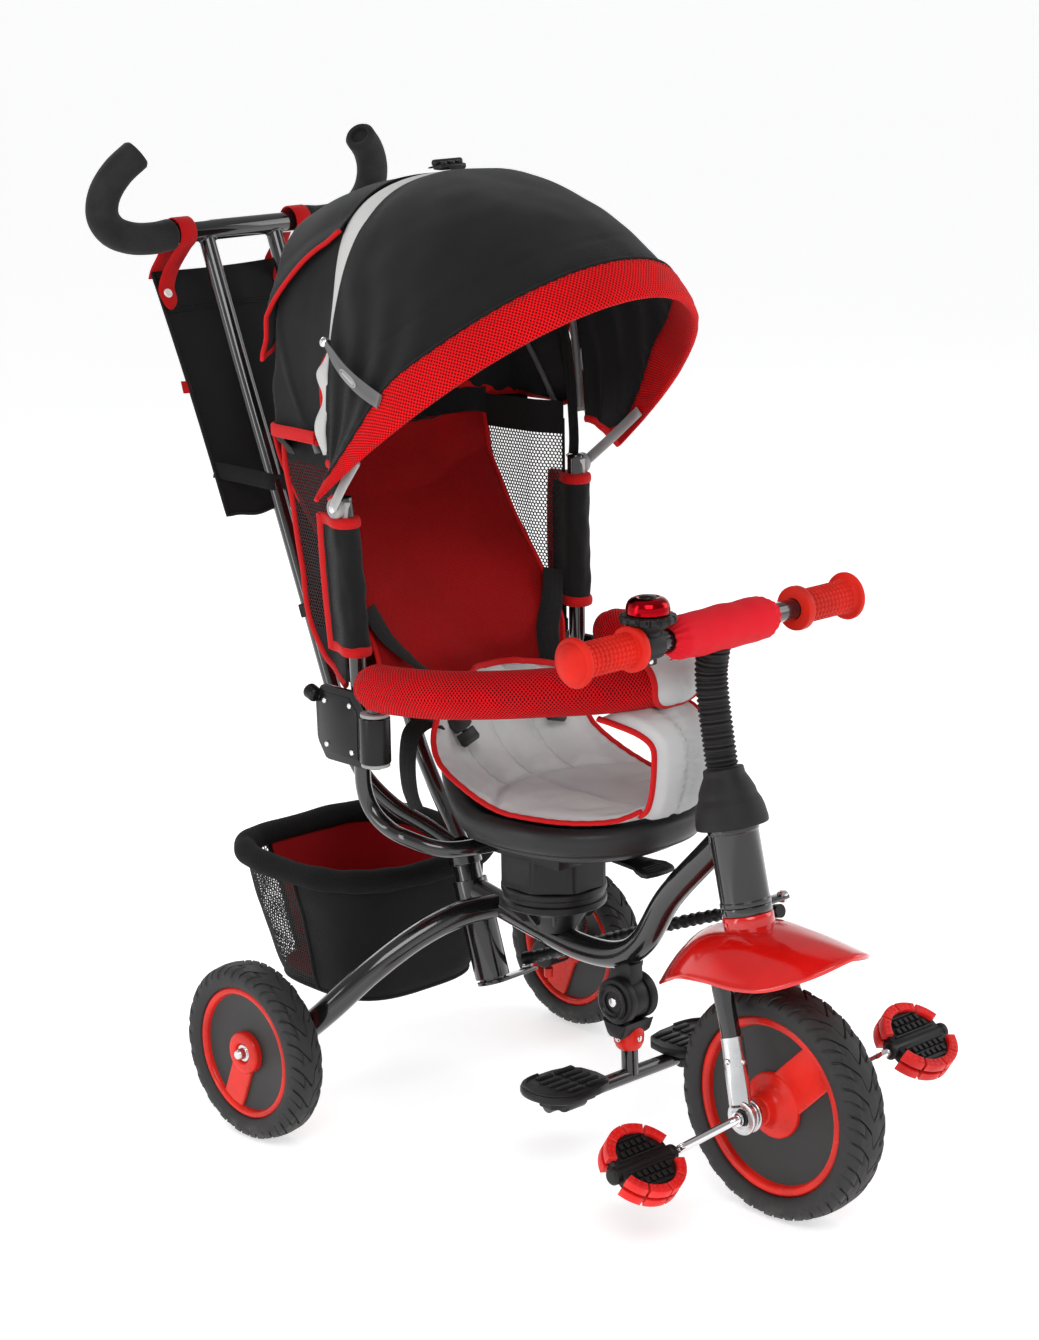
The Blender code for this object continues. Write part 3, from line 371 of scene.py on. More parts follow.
# ---------------------------------------------------------------- materials
class Finish:
    """Small builder of node materials."""

    def __init__(self, name, colour, rough=0.5, metal=0.0, spec=0.5, coat=0.0, coat_rough=0.1,
                 sheen=0.0, sheen_rough=0.4, sheen_tint=(1, 1, 1), subsurface=0.0):
        self.mat = bpy.data.materials.new(name)
        self.mat.use_nodes = True
        self.tree = self.mat.node_tree
        self.shader = self.tree.nodes["Principled BSDF"]
        i = self.shader.inputs
        i["Base Color"].default_value = (*colour, 1)
        i["Roughness"].default_value = rough
        i["Metallic"].default_value = metal
        i["Specular IOR Level"].default_value = spec
        i["Coat Weight"].default_value = coat
        i["Coat Roughness"].default_value = coat_rough
        i["Sheen Weight"].default_value = sheen
        i["Sheen Roughness"].default_value = sheen_rough
        i["Sheen Tint"].default_value = (*sheen_tint, 1)
        self.colour, self.rough = colour, rough
        self.height = None

    def node(self, kind, **props):
        n = self.tree.nodes.new(kind)
        for k, v in props.items():
            setattr(n, k, v)
        return n

    def put(self, socket, value):
        if hasattr(value, "links"):
            self.tree.links.new(value, socket)
        elif hasattr(value, "__len__") and len(value) == 3 and socket.type == "RGBA":
            socket.default_value = (*value, 1)
        else:
            socket.default_value = value

    def uv(self):
        return self.node("ShaderNodeTexCoord").outputs["UV"]

    def obj(self):
        return self.node("ShaderNodeTexCoord").outputs["Object"]

    def math(self, op, a, b=None, c=None):
        n = self.node("ShaderNodeMath", operation=op)
        self.put(n.inputs[0], a)
        if b is not None:
            self.put(n.inputs[1], b)
        if c is not None:
            self.put(n.inputs[2], c)
        return n.outputs[0]

    def scaled(self, vec, scale, shift=(0, 0, 0), turn=(0, 0, 0)):
        n = self.node("ShaderNodeMapping")
        self.put(n.inputs["Vector"], vec)
        n.inputs["Scale"].default_value = scale
        n.inputs["Location"].default_value = shift
        n.inputs["Rotation"].default_value = turn
        return n.outputs[0]

    def noise(self, vec, scale, detail=3.0, rough=0.5, distort=0.0):
        n = self.node("ShaderNodeTexNoise")
        self.put(n.inputs["Vector"], vec)
        n.inputs["Scale"].default_value = scale
        n.inputs["Detail"].default_value = detail
        n.inputs["Roughness"].default_value = rough
        n.inputs["Distortion"].default_value = distort
        return n.outputs[0]

    def voronoi(self, vec, scale, random=1.0, dims="3D", feature="F1", out="Distance"):
        n = self.node("ShaderNodeTexVoronoi", voronoi_dimensions=dims, feature=feature)
        self.put(n.inputs["Vector"], vec)
        n.inputs["Scale"].default_value = scale
        n.inputs["Randomness"].default_value = random
        return n.outputs[out]

    def span(self, value, a, b, c=0.0, d=1.0, kind="SMOOTHSTEP"):
        n = self.node("ShaderNodeMapRange", interpolation_type=kind)
        self.put(n.inputs["Value"], value)
        for k, x in (("From Min", a), ("From Max", b), ("To Min", c), ("To Max", d)):
            n.inputs[k].default_value = x
        return n.outputs[0]

    def mix(self, fac, a, b):
        n = self.node("ShaderNodeMix", data_type="RGBA")
        self.put(n.inputs[0], fac)
        self.put(n.inputs[6], a)
        self.put(n.inputs[7], b)
        return n.outputs[2]

    def edge(self, a=0.51, b=0.58):
        return self.span(self.node("ShaderNodeNewGeometry").outputs["Pointiness"], a, b)

    def bump(self, height, distance, strength=1.0):
        n = self.node("ShaderNodeBump")
        n.inputs["Strength"].default_value = strength
        n.inputs["Distance"].default_value = distance
        self.put(n.inputs["Height"], height)
        if self.height is not None:
            self.put(n.inputs["Normal"], self.height)
        self.height = n.outputs[0]
        self.put(self.shader.inputs["Normal"], self.height)

    def set_colour(self, value):
        self.put(self.shader.inputs["Base Color"], value)

    def set_rough(self, value):
        self.put(self.shader.inputs["Roughness"], value)

    def split(self, vec):
        n = self.node("ShaderNodeSeparateXYZ")
        self.put(n.inputs[0], vec)
        return n.outputs

    def vary(self, vec, scale, dark, light, spread=0.25, rough_by=0.06, detail=4.0):
        """Cloudy colour between two tones with matching roughness."""
        f = self.span(self.noise(vec, scale, detail), 0.5 - spread, 0.5 + spread)
        self.set_colour(self.mix(f, dark, light))
        self.set_rough(self.span(f, 0.0, 1.0, self.rough - rough_by, self.rough + rough_by, "LINEAR"))
        return f


def tone(c, k):
    return tuple(x * k for x in c)


def paint(name, colour, rough=0.16, coat=0.6, peel=0.00004, edge=(0.06, 0.06, 0.06)):
    """Sprayed or powder-coated gloss with orange peel, faint scuffs and lighter edges."""
    f = Finish(name, colour, rough, coat=coat, coat_rough=0.06)
    o = f.obj()
    cloud = f.span(f.noise(o, 14.0, 5.0), 0.35, 0.7)
    scuff = f.span(f.noise(f.scaled(o, (260, 90, 90)), 1.0, 6.0, 0.7), 0.62, 0.75)
    base = f.mix(cloud, tone(colour, 0.86), tone(colour, 1.12))
    base = f.mix(f.math("MULTIPLY", f.edge(0.53, 0.62), 0.35), base, edge)
    f.set_colour(base)
    f.set_rough(f.math("ADD", f.span(cloud, 0, 1, rough - 0.03, rough + 0.05, "LINEAR"),
                       f.math("MULTIPLY", scuff, 0.10)))
    f.bump(f.noise(o, 420.0, 2.0), peel)
    return f.mat


def moulded(name, colour, rough=0.42, grain=0.00006, scale=900.0, edge=None, spec=0.28, dust=0.0):
    """Moulded plastic or rubber: fine grain, soft clouding, lighter edges."""
    f = Finish(name, colour, rough, spec=spec)
    o = f.obj()
    cloud = f.span(f.noise(o, 18.0, 5.0), 0.3, 0.72)
    base = f.mix(cloud, tone(colour, 0.82), tone(colour, 1.22))
    base = f.mix(f.math("MULTIPLY", f.edge(0.515, 0.6), 0.5), base, edge or tone(colour, 2.0))
    if dust:
        low = f.span(f.split(o)[2], 0.0, 0.05, dust, 0.0)
        base = f.mix(f.math("MULTIPLY", low, f.noise(o, 60.0, 5.0)), base, (0.16, 0.145, 0.13))
    f.set_colour(base)
    f.set_rough(f.span(cloud, 0, 1, rough - 0.05, rough + 0.07, "LINEAR"))
    f.bump(f.noise(o, scale, 3.0, 0.6), grain)
    f.bump(f.noise(o, 45.0, 3.0), grain * 2.5)
    return f.mat


def metal(name, colour, rough, brushed=0.0, spots=0.0):
    f = Finish(name, colour, rough, metal=1.0)
    o = f.obj()
    cloud = f.span(f.noise(o, 30.0, 5.0), 0.3, 0.7)
    base = f.mix(cloud, tone(colour, 0.86), tone(colour, 1.05))
    if spots:
        spot = f.span(f.voronoi(o, 260.0), 0.0, 0.35, 1.0, 0.0)
        base = f.mix(f.math("MULTIPLY", spot, spots), base, tone(colour, 0.6))
    f.set_colour(base)
    f.set_rough(f.span(cloud, 0, 1, rough * 0.75, rough * 1.35, "LINEAR"))
    f.bump(f.noise(f.scaled(o, (300, 300, 2600 if brushed else 300)), 1.0, 3.0), 0.00002 + brushed)
    return f.mat


def woven(name, colour, rough=0.85, pitch=0.0010, depth=0.00010, sheen=0.25, tint=None, cloud=0.16,
          diagonal=False, crease=0.0006, crease_scale=26.0):
    """Plain or twill weave in texture space, with slubs, faint creases and nap."""
    f = Finish(name, colour, rough, spec=0.14, sheen=sheen * 0.25, sheen_rough=0.45, sheen_tint=tint or (1, 1, 1))
    uv, o = f.uv(), f.obj()
    x, y, _ = f.split(uv)
    k = 2 * pi / pitch
    if diagonal:
        x, y = f.math("ADD", x, y), f.math("SUBTRACT", x, y)
        k *= 0.7
    sx, sy = f.math("SINE", f.math("MULTIPLY", x, k)), f.math("SINE", f.math("MULTIPLY", y, k))
    weave = f.math("MULTIPLY", sx, sy)
    slub = f.noise(f.scaled(uv, (140, 1500, 1)), 1.0, 3.0)
    slub2 = f.noise(f.scaled(uv, (1500, 140, 1)), 1.0, 3.0)
    threads = f.math("MULTIPLY", f.math("ADD", slub, slub2), 0.5)
    broad = f.span(f.noise(o, 9.0, 5.0), 0.3, 0.7)
    tonev = f.math("ADD", f.math("MULTIPLY", f.span(weave, -1, 1), 0.5),
                   f.math("ADD", f.math("MULTIPLY", broad, 0.25), f.math("MULTIPLY", threads, 0.35)))
    f.set_colour(f.mix(f.span(tonev, 0.15, 0.9), tone(colour, 1 - cloud * 1.6), tone(colour, 1 + cloud)))
    f.set_rough(f.span(broad, 0, 1, rough - 0.05, min(rough + 0.06, 1), "LINEAR"))
    f.bump(f.noise(o, crease_scale, 4.0, 0.55, 0.6), crease, 0.6)
    f.bump(weave, depth)
    f.bump(threads, depth * 0.8)
    return f.mat


def air_mesh(name, colour, hole_shade, pitch=(0.0034, 0.0029), size=(0.20, 0.36), rough=0.8, depth=0.0006, nap=0.10, tint=(1, 0.45, 0.4)):
    """Spacer mesh: staggered eyelets in a knitted face, the eyelets filled with painted shade."""
    f = Finish(name, colour, rough, spec=0.12, sheen=nap, sheen_tint=tint)
    uv, o = f.uv(), f.obj()
    grid = f.scaled(uv, (1 / pitch[0], 1 / pitch[1], 1))
    other = f.scaled(uv, (1 / pitch[0], 1 / pitch[1], 1), (0.5, 0.5, 0))
    a = f.voronoi(grid, 1.0, 0.0, "2D")
    b = f.voronoi(other, 1.0, 0.0, "2D")
    d = f.math("MINIMUM", a, b)
    open_ = f.span(d, size[0], size[1], 1.0, 0.0)
    knit = f.noise(f.scaled(uv, (2600, 2600, 1)), 1.0, 2.0)
    broad = f.span(f.noise(o, 8.0, 4.0), 0.3, 0.7)
    face = f.mix(broad, tone(colour, 0.86), tone(colour, 1.1))
    face = f.mix(f.math("MULTIPLY", knit, 0.4), face, tone(colour, 0.7))
    # the eyelets take the dark hole colour: painted shade inside the holes
    f.set_colour(f.mix(open_, face, hole_shade))
    f.set_rough(f.span(open_, 0, 1, rough, 0.95, "LINEAR"))
    f.bump(f.math("SUBTRACT", 1.0, open_), depth)
    f.bump(knit, depth * 0.2)
    return f.mat


def strap_cloth(name, colour, pitch=0.0011, depth=0.00022, rough=0.72, sheen=0.15):
    """Narrow woven tape: ribs across, a chevron along."""
    f = Finish(name, colour, rough, spec=0.16, sheen=sheen * 0.3)
    uv, o = f.uv(), f.obj()
    x, y, _ = f.split(uv)
    k = 2 * pi / pitch
    fold = f.math("ABSOLUTE", f.math("SINE", f.math("MULTIPLY", x, k * 0.12)))
    rib = f.math("SINE", f.math("ADD", f.math("MULTIPLY", y, k), f.math("MULTIPLY", fold, 5.0)))
    fuzz = f.noise(o, 1800.0, 2.0)
    v = f.span(f.math("ADD", f.math("MULTIPLY", rib, 0.35), fuzz), 0.2, 0.95)
    f.set_colour(f.mix(v, tone(colour, 0.72), tone(colour, 1.18)))
    f.set_rough(f.span(fuzz, 0.3, 0.7, rough - 0.06, rough + 0.08))
    f.bump(rib, depth)
    f.bump(fuzz, depth * 0.4)
    return f.mat


def tyre_foam(name):
    f = Finish(name, (0.020, 0.020, 0.0205), 0.60, spec=0.42)
    o = f.obj()
    cloud = f.span(f.noise(o, 22.0, 5.0), 0.3, 0.72)
    cells = f.voronoi(o, 1100.0)
    base = f.mix(cloud, (0.014, 0.014, 0.0145), (0.027, 0.0268, 0.0265))
    base = f.mix(f.math("MULTIPLY", f.edge(0.52, 0.62), 0.5), base, (0.07, 0.07, 0.068))
    low = f.span(f.split(o)[2], 0.0, 0.03, 0.6, 0.0)
    base = f.mix(f.math("MULTIPLY", low, f.span(f.noise(o, 90.0, 5.0), 0.4, 0.7)), base, (0.11, 0.10, 0.09))
    f.set_colour(base)
    f.set_rough(f.span(f.math("ADD", cloud, f.math("MULTIPLY", cells, 0.5)), 0, 1.4, 0.50, 0.72))
    f.bump(cells, 0.00009)
    f.bump(f.noise(o, 120.0, 4.0), 0.00025)
    return f.mat


def soft_foam(name):
    f = Finish(name, (0.026, 0.026, 0.027), 0.78, spec=0.18, sheen=0.04, sheen_rough=0.5)
    o = f.obj()
    cells = f.voronoi(o, 700.0)
    cloud = f.span(f.noise(o, 30.0, 5.0), 0.3, 0.7)
    f.set_colour(f.mix(cloud, (0.0130, 0.0130, 0.0136), (0.0240, 0.0240, 0.0246)))
    f.set_rough(f.span(cells, 0, 0.8, 0.70, 0.86))
    f.bump(cells, 0.00016)
    f.bump(f.noise(o, 60.0, 3.0), 0.0003)
    return f.mat


def vinyl(name):
    f = Finish(name, (0.009, 0.009, 0.0094), 0.36, spec=0.42)
    o = f.obj()
    grain = f.voronoi(o, 520.0, feature="DISTANCE_TO_EDGE")
    cloud = f.span(f.noise(o, 16.0, 5.0), 0.3, 0.7)
    f.set_colour(f.mix(cloud, (0.0065, 0.0065, 0.0068), (0.0120, 0.0120, 0.0124)))
    f.set_rough(f.span(cloud, 0, 1, 0.30, 0.44, "LINEAR"))
    f.bump(f.span(grain, 0.0, 0.12), 0.00012)
    f.bump(f.noise(o, 20.0, 3.0), 0.0007)
    return f.mat


def wheel_face(name, colour, rough):
    """Moulded disc with fine turned rings."""
    f = Finish(name, colour, rough)
    o, uv = f.obj(), f.uv()
    cloud = f.span(f.noise(o, 25.0, 5.0), 0.3, 0.7)
    rings = f.math("SINE", f.math("MULTIPLY", f.split(uv)[1], 2 * pi / 0.0012))
    f.set_colour(f.mix(cloud, tone(colour, 0.85), tone(colour, 1.2)))
    f.set_rough(f.span(cloud, 0, 1, rough - 0.05, rough + 0.06, "LINEAR"))
    f.bump(rings, 0.000015)
    f.bump(f.noise(o, 700.0, 2.0), 0.00005)
    return f.mat


PAINT = paint("gloss_black_paint", (0.0075, 0.0075, 0.008), 0.15, 0.7)
RED_GLOSS = paint("gloss_red_shell", (0.66, 0.006, 0.004), 0.15, 0.5, 0.00003, (0.8, 0.05, 0.03))
WHEEL_RED = moulded("wheel_red_plastic", (0.66, 0.018, 0.010), 0.27, 0.00003, 700.0, (0.8, 0.07, 0.04))
WHEEL_BLACK = wheel_face("wheel_black_plastic", (0.0150, 0.0150, 0.0150), 0.50)
PLASTIC = moulded("black_plastic", (0.0085, 0.0085, 0.0088), 0.40, 0.00006)
PLASTIC_GLOSS = moulded("black_plastic_gloss", (0.0070, 0.0070, 0.0073), 0.25, 0.00003)
RUBBER = moulded("black_rubber", (0.0110, 0.0110, 0.0112), 0.55, 0.00007, 1300.0)
TYRE = tyre_foam("tyre_foam_rubber")
ZINC = metal("zinc_plate", (0.70, 0.71, 0.72), 0.24, spots=0.25)
CHROME = metal("chrome_plate", (0.86, 0.87, 0.88), 0.07)
SILVER = metal("silver_rivet", (0.74, 0.74, 0.75), 0.20)
GRIP_RED = moulded("red_grip_rubber", (0.60, 0.012, 0.005), 0.50, 0.00006, 1100.0, (0.72, 0.030, 0.014), spec=0.2)
PEDAL_RED = moulded("red_pedal_rubber", (0.70, 0.008, 0.008), 0.46, 0.00006, 1100.0, (0.85, 0.06, 0.05))
BELL_RED = metal("anodised_red", (0.42, 0.004, 0.010), 0.16)
# each spacer mesh's second colour is painted shade for its eyelets
AIR_RED = air_mesh("red_spacer_mesh", (0.74, 0.0030, 0.008), (0.060, 0.0005, 0.001), (0.0048, 0.0041), size=(0.17, 0.30), depth=0.0008)
AIR_HEM = air_mesh("red_hem_mesh", (0.86, 0.0040, 0.008), (0.12, 0.001, 0.001), (0.0050, 0.0043), size=(0.16, 0.29), depth=0.0008)
# the back panel mesh is the red spacer mesh darkened: painted shade
RED_MESH_SHADED = air_mesh("red_mesh_painted_shade", (0.46, 0.0016, 0.0035), (0.11, 0.001, 0.001), (0.0027, 0.0023), size=(0.16, 0.30))
AIR_BLACK = air_mesh("black_spacer_mesh", (0.017, 0.017, 0.0175), (0.003, 0.003, 0.003), (0.0032, 0.0028), nap=0.03, tint=(1, 1, 1))
CANVAS = woven("black_canopy_cloth", (0.0120, 0.0120, 0.0126), 0.80, 0.0011, 0.00009, 0.35)
CANVAS_BAG = woven("black_bag_cloth", (0.0090, 0.0090, 0.0094), 0.80, 0.0013, 0.00010, 0.25, crease=0.0012)
LINING = woven("dark_lining", (0.030, 0.030, 0.031), 0.88, 0.0012, 0.0001, 0.2)
GREY = woven("grey_seat_cloth", (0.60, 0.61, 0.61), 0.86, 0.0010, 0.00008, 0.15, cloud=0.06, crease=0.0022, crease_scale=34.0)
STRIPE = woven("light_grey_cloth", (0.60, 0.60, 0.59), 0.84, 0.0010, 0.00008, 0.15, cloud=0.06)
SLEEVE = woven("coral_red_cloth", (0.74, 0.010, 0.022), 0.78, 0.0009, 0.00007, 0.25, (1, 0.5, 0.5), 0.10)
TAPE_RED = strap_cloth("red_binding_tape", (0.68, 0.010, 0.012), 0.0010, 0.00014, 0.66)
WEBBING = strap_cloth("black_webbing", (0.014, 0.014, 0.0145), 0.0016, 0.0002)
STRAP_RED = strap_cloth("red_snap_strap", (0.60, 0.006, 0.008), 0.0014, 0.00018)
RED_LINING = woven("dark_red_lining", (0.30, 0.004, 0.006), 0.86, 0.0011, 0.0001, 0.2, (1, 0.5, 0.5))
FOAM = soft_foam("black_grip_foam")
VINYL = vinyl("black_seat_vinyl")
NET = moulded("black_net_yarn", (0.016, 0.016, 0.0165), 0.7, 0.00005, 1500.0)
GREY_PLASTIC = moulded("grey_plastic", (0.30, 0.30, 0.30), 0.42, 0.00005)
ARM_GREY = moulded("dark_grey_plastic", (0.10, 0.10, 0.102), 0.42, 0.00005)
WHITE_SNAP = moulded("white_snap", (0.80, 0.80, 0.78), 0.30, 0.00003)


# ------------------------------------------------------------------- wheels
def tyre(name, body, node, centre, radius, half, rim, lugs, s=1):
    """Foam tyre: chevron blocks that meet at a zigzag crown and run down the shoulders as ribs."""
    wall = radius - rim
    sec = [(0, radius), (half * 0.22, radius - 0.0002), (half * 0.46, radius - 0.0012), (half * 0.70, rim + wall * 0.915),
           (half * 0.90, rim + wall * 0.74), (half * 0.985, rim + wall * 0.50), (half * 0.97, rim + wall * 0.26),
           (half * 0.88, rim + 0.0012), (half * 0.80, rim - 0.0010)]
    prof = spline([(h, r, 0) for h, r in sec], 27)
    run = [0.0]
    for a, b in zip(prof, prof[1:]):
        run.append(run[-1] + (b - a).length)
    normal = []
    for i in range(len(prof)):
        t = (prof[min(i + 1, len(prof) - 1)] - prof[max(i - 1, 0)]).normalized()
        normal.append(Vector((-t.y, t.x, 0)) if i else Vector((0, 1, 0)))
        if normal[-1].dot(Vector((1, 1, 0))) < 0:
            normal[-1] = -normal[-1]
    steps = [0.0, 0.035, 0.085, 0.125, 0.20, 0.35, 0.48, 0.52, 0.56, 0.60, 0.72, 0.88]
    main = {0.035: 1.0, 0.085: 1.0}
    second = {0.52: 1.0, 0.56: 1.0}
    reach = run[-1] * 0.62
    rows, us = [], []
    order = [(-1, i) for i in range(len(prof) - 1, 0, -1)] + [(1, i) for i in range(len(prof))]
    for side, i in order:
        l = run[i]
        row = []
        shear = 1.05 * smooth(l / reach) + 0.12 * sin(l / reach * 5)
        if side < 0:
            shear += 0.5 * smooth(l / (reach * 0.15))
        for k in range(lugs):
            for t in steps:
                depth = 0.0
                if l > 0.0015:
                    depth = max(depth, main.get(t, 0) * 0.0023 * (1 - smooth((l - reach * 0.86) / (reach * 0.2))))
                if l > reach * 0.42:
                    depth = max(depth, second.get(t, 0) * 0.0019 * (1 - smooth((l - reach * 1.0) / (reach * 0.14))))
                if abs(l - reach * 0.40) < run[-1] * 0.02 and 0.12 < t < 0.5:
                    depth = max(depth, 0.0013)
                if reach * 0.62 < l < reach * 1.12 and 0.60 <= t <= 0.88:
                    depth = max(depth, 0.0009)
                if abs(l - reach * 1.2) < run[-1] * 0.022:
                    depth = max(depth, 0.0005)
                p = prof[i] - normal[i] * depth
                a = 2 * pi * (k + t - shear) / lugs
                row.append(Vector((centre[0] + side * p.x * s, centre[1] + p.y * sin(a), centre[2] - p.y * cos(a))))
        rows.append(row)
    # inner band that closes the section under the rim
    for side, g in ((1, 0.4), (-1, 0.4)):
        row = []
        for k in range(lugs):
            for t in steps:
                a = 2 * pi * (k + t - 1.05 - (0.5 if side < 0 else 0)) / lugs
                r = rim - 0.0010
                row.append(Vector((centre[0] + side * half * g * s, centre[1] + r * sin(a), centre[2] - r * cos(a))))
        rows.append(row)
    sh = Shape().grid(rows, wrap=True, loop=True)
    return make(name, sh, TYRE, body, node, angle=50)


def wheel_ring(rim, ring, half, lip=0.004):
    prof = [(rim - ring, half * 0.52), (rim - ring + 0.0012, half * 0.86), (rim - ring + 0.0034, half),
            (rim - 0.0045, half * 1.0), (rim - 0.0022, half * 0.95), (rim + 0.0006, half * 0.72)]
    pts = [(r, -h) for r, h in prof] + [(r, h) for r, h in reversed(prof)]
    pts = rounded([pts[0]] + pts + [pts[-1]], 0.0012, 2)[1:-1]
    return pts


def front_wheel():
    c = (0, 0, FRONT_R)
    tyre("tyre_front", "front_wheel", "front_tyre", c, FRONT_R, FRONT_W, FRONT_RIM, 26)
    ring = make("wheel_ring_front", lathe(wheel_ring(FRONT_RIM, 0.0125, 0.0215), c, X_AXIS, 128), WHEEL_RED, "front_wheel", angle=45)
    face = []
    for sx in (-1, 1):
        pts = [(0.006, 0.0124), (0.0300, 0.0124), (0.0500, 0.0112), (0.0780, 0.0112), (0.0845, 0.0126), (0.0869, 0.0134)]
        face.append([(r, sx * h) for r, h in pts])
    loop = face[0] + face[1][::-1]
    plate = make("wheel_plate_front", lathe(loop, c, X_AXIS, 128), WHEEL_BLACK, "front_wheel", angle=45)
    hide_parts("front_disc")
    # round hub that steps up to the axle boss, both sides
    sh = Shape()
    for sx in (-1, 1):
        prof = [(0.0063, 0.010), (0.0360, 0.010), (0.0360, 0.0150), (0.0345, 0.0172), (0.0310, 0.0182),
                (0.0240, 0.0205), (0.0185, 0.0250), (0.0165, 0.0290), (0.0160, 0.0372), (0.0145, 0.0384), (0.0063, 0.0384)]
        prof = rounded([prof[0]] + prof + [prof[-1]], 0.0016, 3)[1:-1]
        sh.join(lathe(prof, c, (sx, 0, 0), 72))
    make("wheel_hub_front", sh, WHEEL_RED, "front_wheel", angle=40)
    # broad spoke between hub and ring with a low ridge
    ang = radians(44)
    out = Vector((0, -cos(ang), sin(ang)))
    across = Vector((0, -sin(ang), -cos(ang)))
    sh = Shape()
    for sx in (-1, 1):
        rows = []
        for i in range(15):
            t = i / 14
            row = []
            for j, (w, h) in enumerate(((-1, 0.0110), (-1, 0.0140), (-0.94, 0.0152), (-0.5, 0.0160), (0, 0.0164), (0.5, 0.0160), (0.94, 0.0152), (1, 0.0140), (1, 0.0110))):
                lateral = w * 0.0250
                far = sqrt(0.0874 ** 2 - lateral ** 2)
                near = sqrt(max(0.0330 ** 2 - lateral ** 2, 0.0))
                d = lerp(near, far, t)
                row.append(Vector(c) + out * d + across * lateral + Vector((sx * (h - 0.0012 * smooth(t)), 0, 0)))
            rows.append(row)
        part = Shape().grid(rows, wrap=True, ends=True)
        sh.join(part)
    make("wheel_spoke_front", sh, WHEEL_RED, "front_wheel", angle=30)


def rear_wheels():
    for side, s in (("left", 1), ("right", -1)):
        c = (s * REAR_X, REAR_Y, REAR_R)
        body = "rear_wheel_" + side
        tyre("tyre_rear_" + side, body, "rear_tyre_" + side, c, REAR_R, REAR_W, REAR_RIM, 22, s)
        make("wheel_ring_rear_" + side, lathe(wheel_ring(REAR_RIM, 0.0105, 0.0175), c, X_AXIS, 112), WHEEL_RED, body, angle=45)
        pts = [(0.0062, 0.0098), (0.0400, 0.0096), (0.0620, 0.0096), (0.0650, 0.0108), (0.0668, 0.0112)]
        loop = [(r, -h) for r, h in pts] + [(r, h) for r, h in reversed(pts)]
        plate = make("wheel_plate_rear_" + side, lathe(loop, c, X_AXIS, 112), WHEEL_BLACK, body, angle=45)
        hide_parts("rear_disc_" + side)
        # keyhole: round head with a bolt well, and a straight leg to the ring
        tilt = radians(22)
        out = Vector((0, sin(tilt), -cos(tilt)))
        across = Vector((0, cos(tilt), sin(tilt)))
        sh = Shape()
        for sx in (s, -s):
            head = [(0.0064, 0.0085), (0.0243, 0.0085), (0.0243, 0.0125), (0.0228, 0.0150), (0.0190, 0.0158), (0.0135, 0.0160),
                    (0.0118, 0.0150), (0.0112, 0.0118), (0.0064, 0.0114)]
            head = rounded([head[0]] + head + [head[-1]], 0.0010, 3)[1:-1]
            if sx == s:
                head = [(r, h + (0.0032 if 0.010 < h else 0)) for r, h in head]
            sh.join(lathe(head, c, (sx, 0, 0), 64))
            rows = []
            for i in range(11):
                t = i / 10
                row = []
                for w, h in ((-1, 0.0088), (-1, 0.0128), (-0.92, 0.0140), (0, 0.0143), (0.92, 0.0140), (1, 0.0128), (1, 0.0088)):
                    lateral = w * 0.0160
                    far = sqrt(0.0668 ** 2 - lateral ** 2)
                    near = sqrt(0.0222 ** 2 - lateral ** 2)
                    row.append(Vector(c) + out * lerp(near, far, t) + across * lateral + Vector((sx * h, 0, 0)))
                rows.append(row)
            sh.join(Shape().grid(rows, wrap=True, ends=True))
        make("wheel_keyhole_" + side, sh, WHEEL_RED, body, angle=30)
        # axle and its square-necked bolt head, washer behind
        pin = lathe(rounded([(0, -0.055), (0.0055, -0.055), (0.0055, 0.0150), (0.0098, 0.0152), (0.0098, 0.0168), (0.0062, 0.0170),
                             (0.0060, 0.0230), (0.0045, 0.0262), (0, 0.0265)], 0.0008, 3), c, (s, 0, 0), 32)
        make("rear_axle_pin_" + side, pin, ZINC, body, "rear_axle_" + side)


def crank():
    y, z = CRANK_DY, CRANK_DZ
    half = [(0, 0, 0), (0.035, 0, 0), (0.066, 0, 0), (0.0735, 0.001, -0.001),
            (0.080, 0.0065, -0.0052), (0.1110, y - 0.0060, z + 0.0048),
            (0.1150, y - 0.0012, z + 0.0010), (0.1200, y, z), (0.1600, y, z), (0.2075, y, z)]
    near = [Vector((-x, dy, FRONT_R + dz)) for x, dy, dz in half]
    far = [Vector((x, -dy, FRONT_R - dz)) for x, dy, dz in half[1:]]
    path = spline(near[::-1] + far, 120)
    bar = sweep(path, 0.00475, 20, up=(0, 1, 0.3), round_ends=0.0015)
    make("crank_rod", bar, CHROME, "front_wheel", "crank_axle")
    # pressed keys just outside the fork
    sh = Shape()
    for s in (1, -1):
        for d in (0.0685, 0.0700):
            sh.join(lathe(rounded([(0.0040, d - 0.0005), (0.0078, d - 0.0005), (0.0078, d + 0.0006), (0.0040, d + 0.0006)], 0.0004, 2),
                          (0, 0, FRONT_R), (s, 0, 0), 32))
    make("crank_washers", sh, CHROME, "front_wheel")


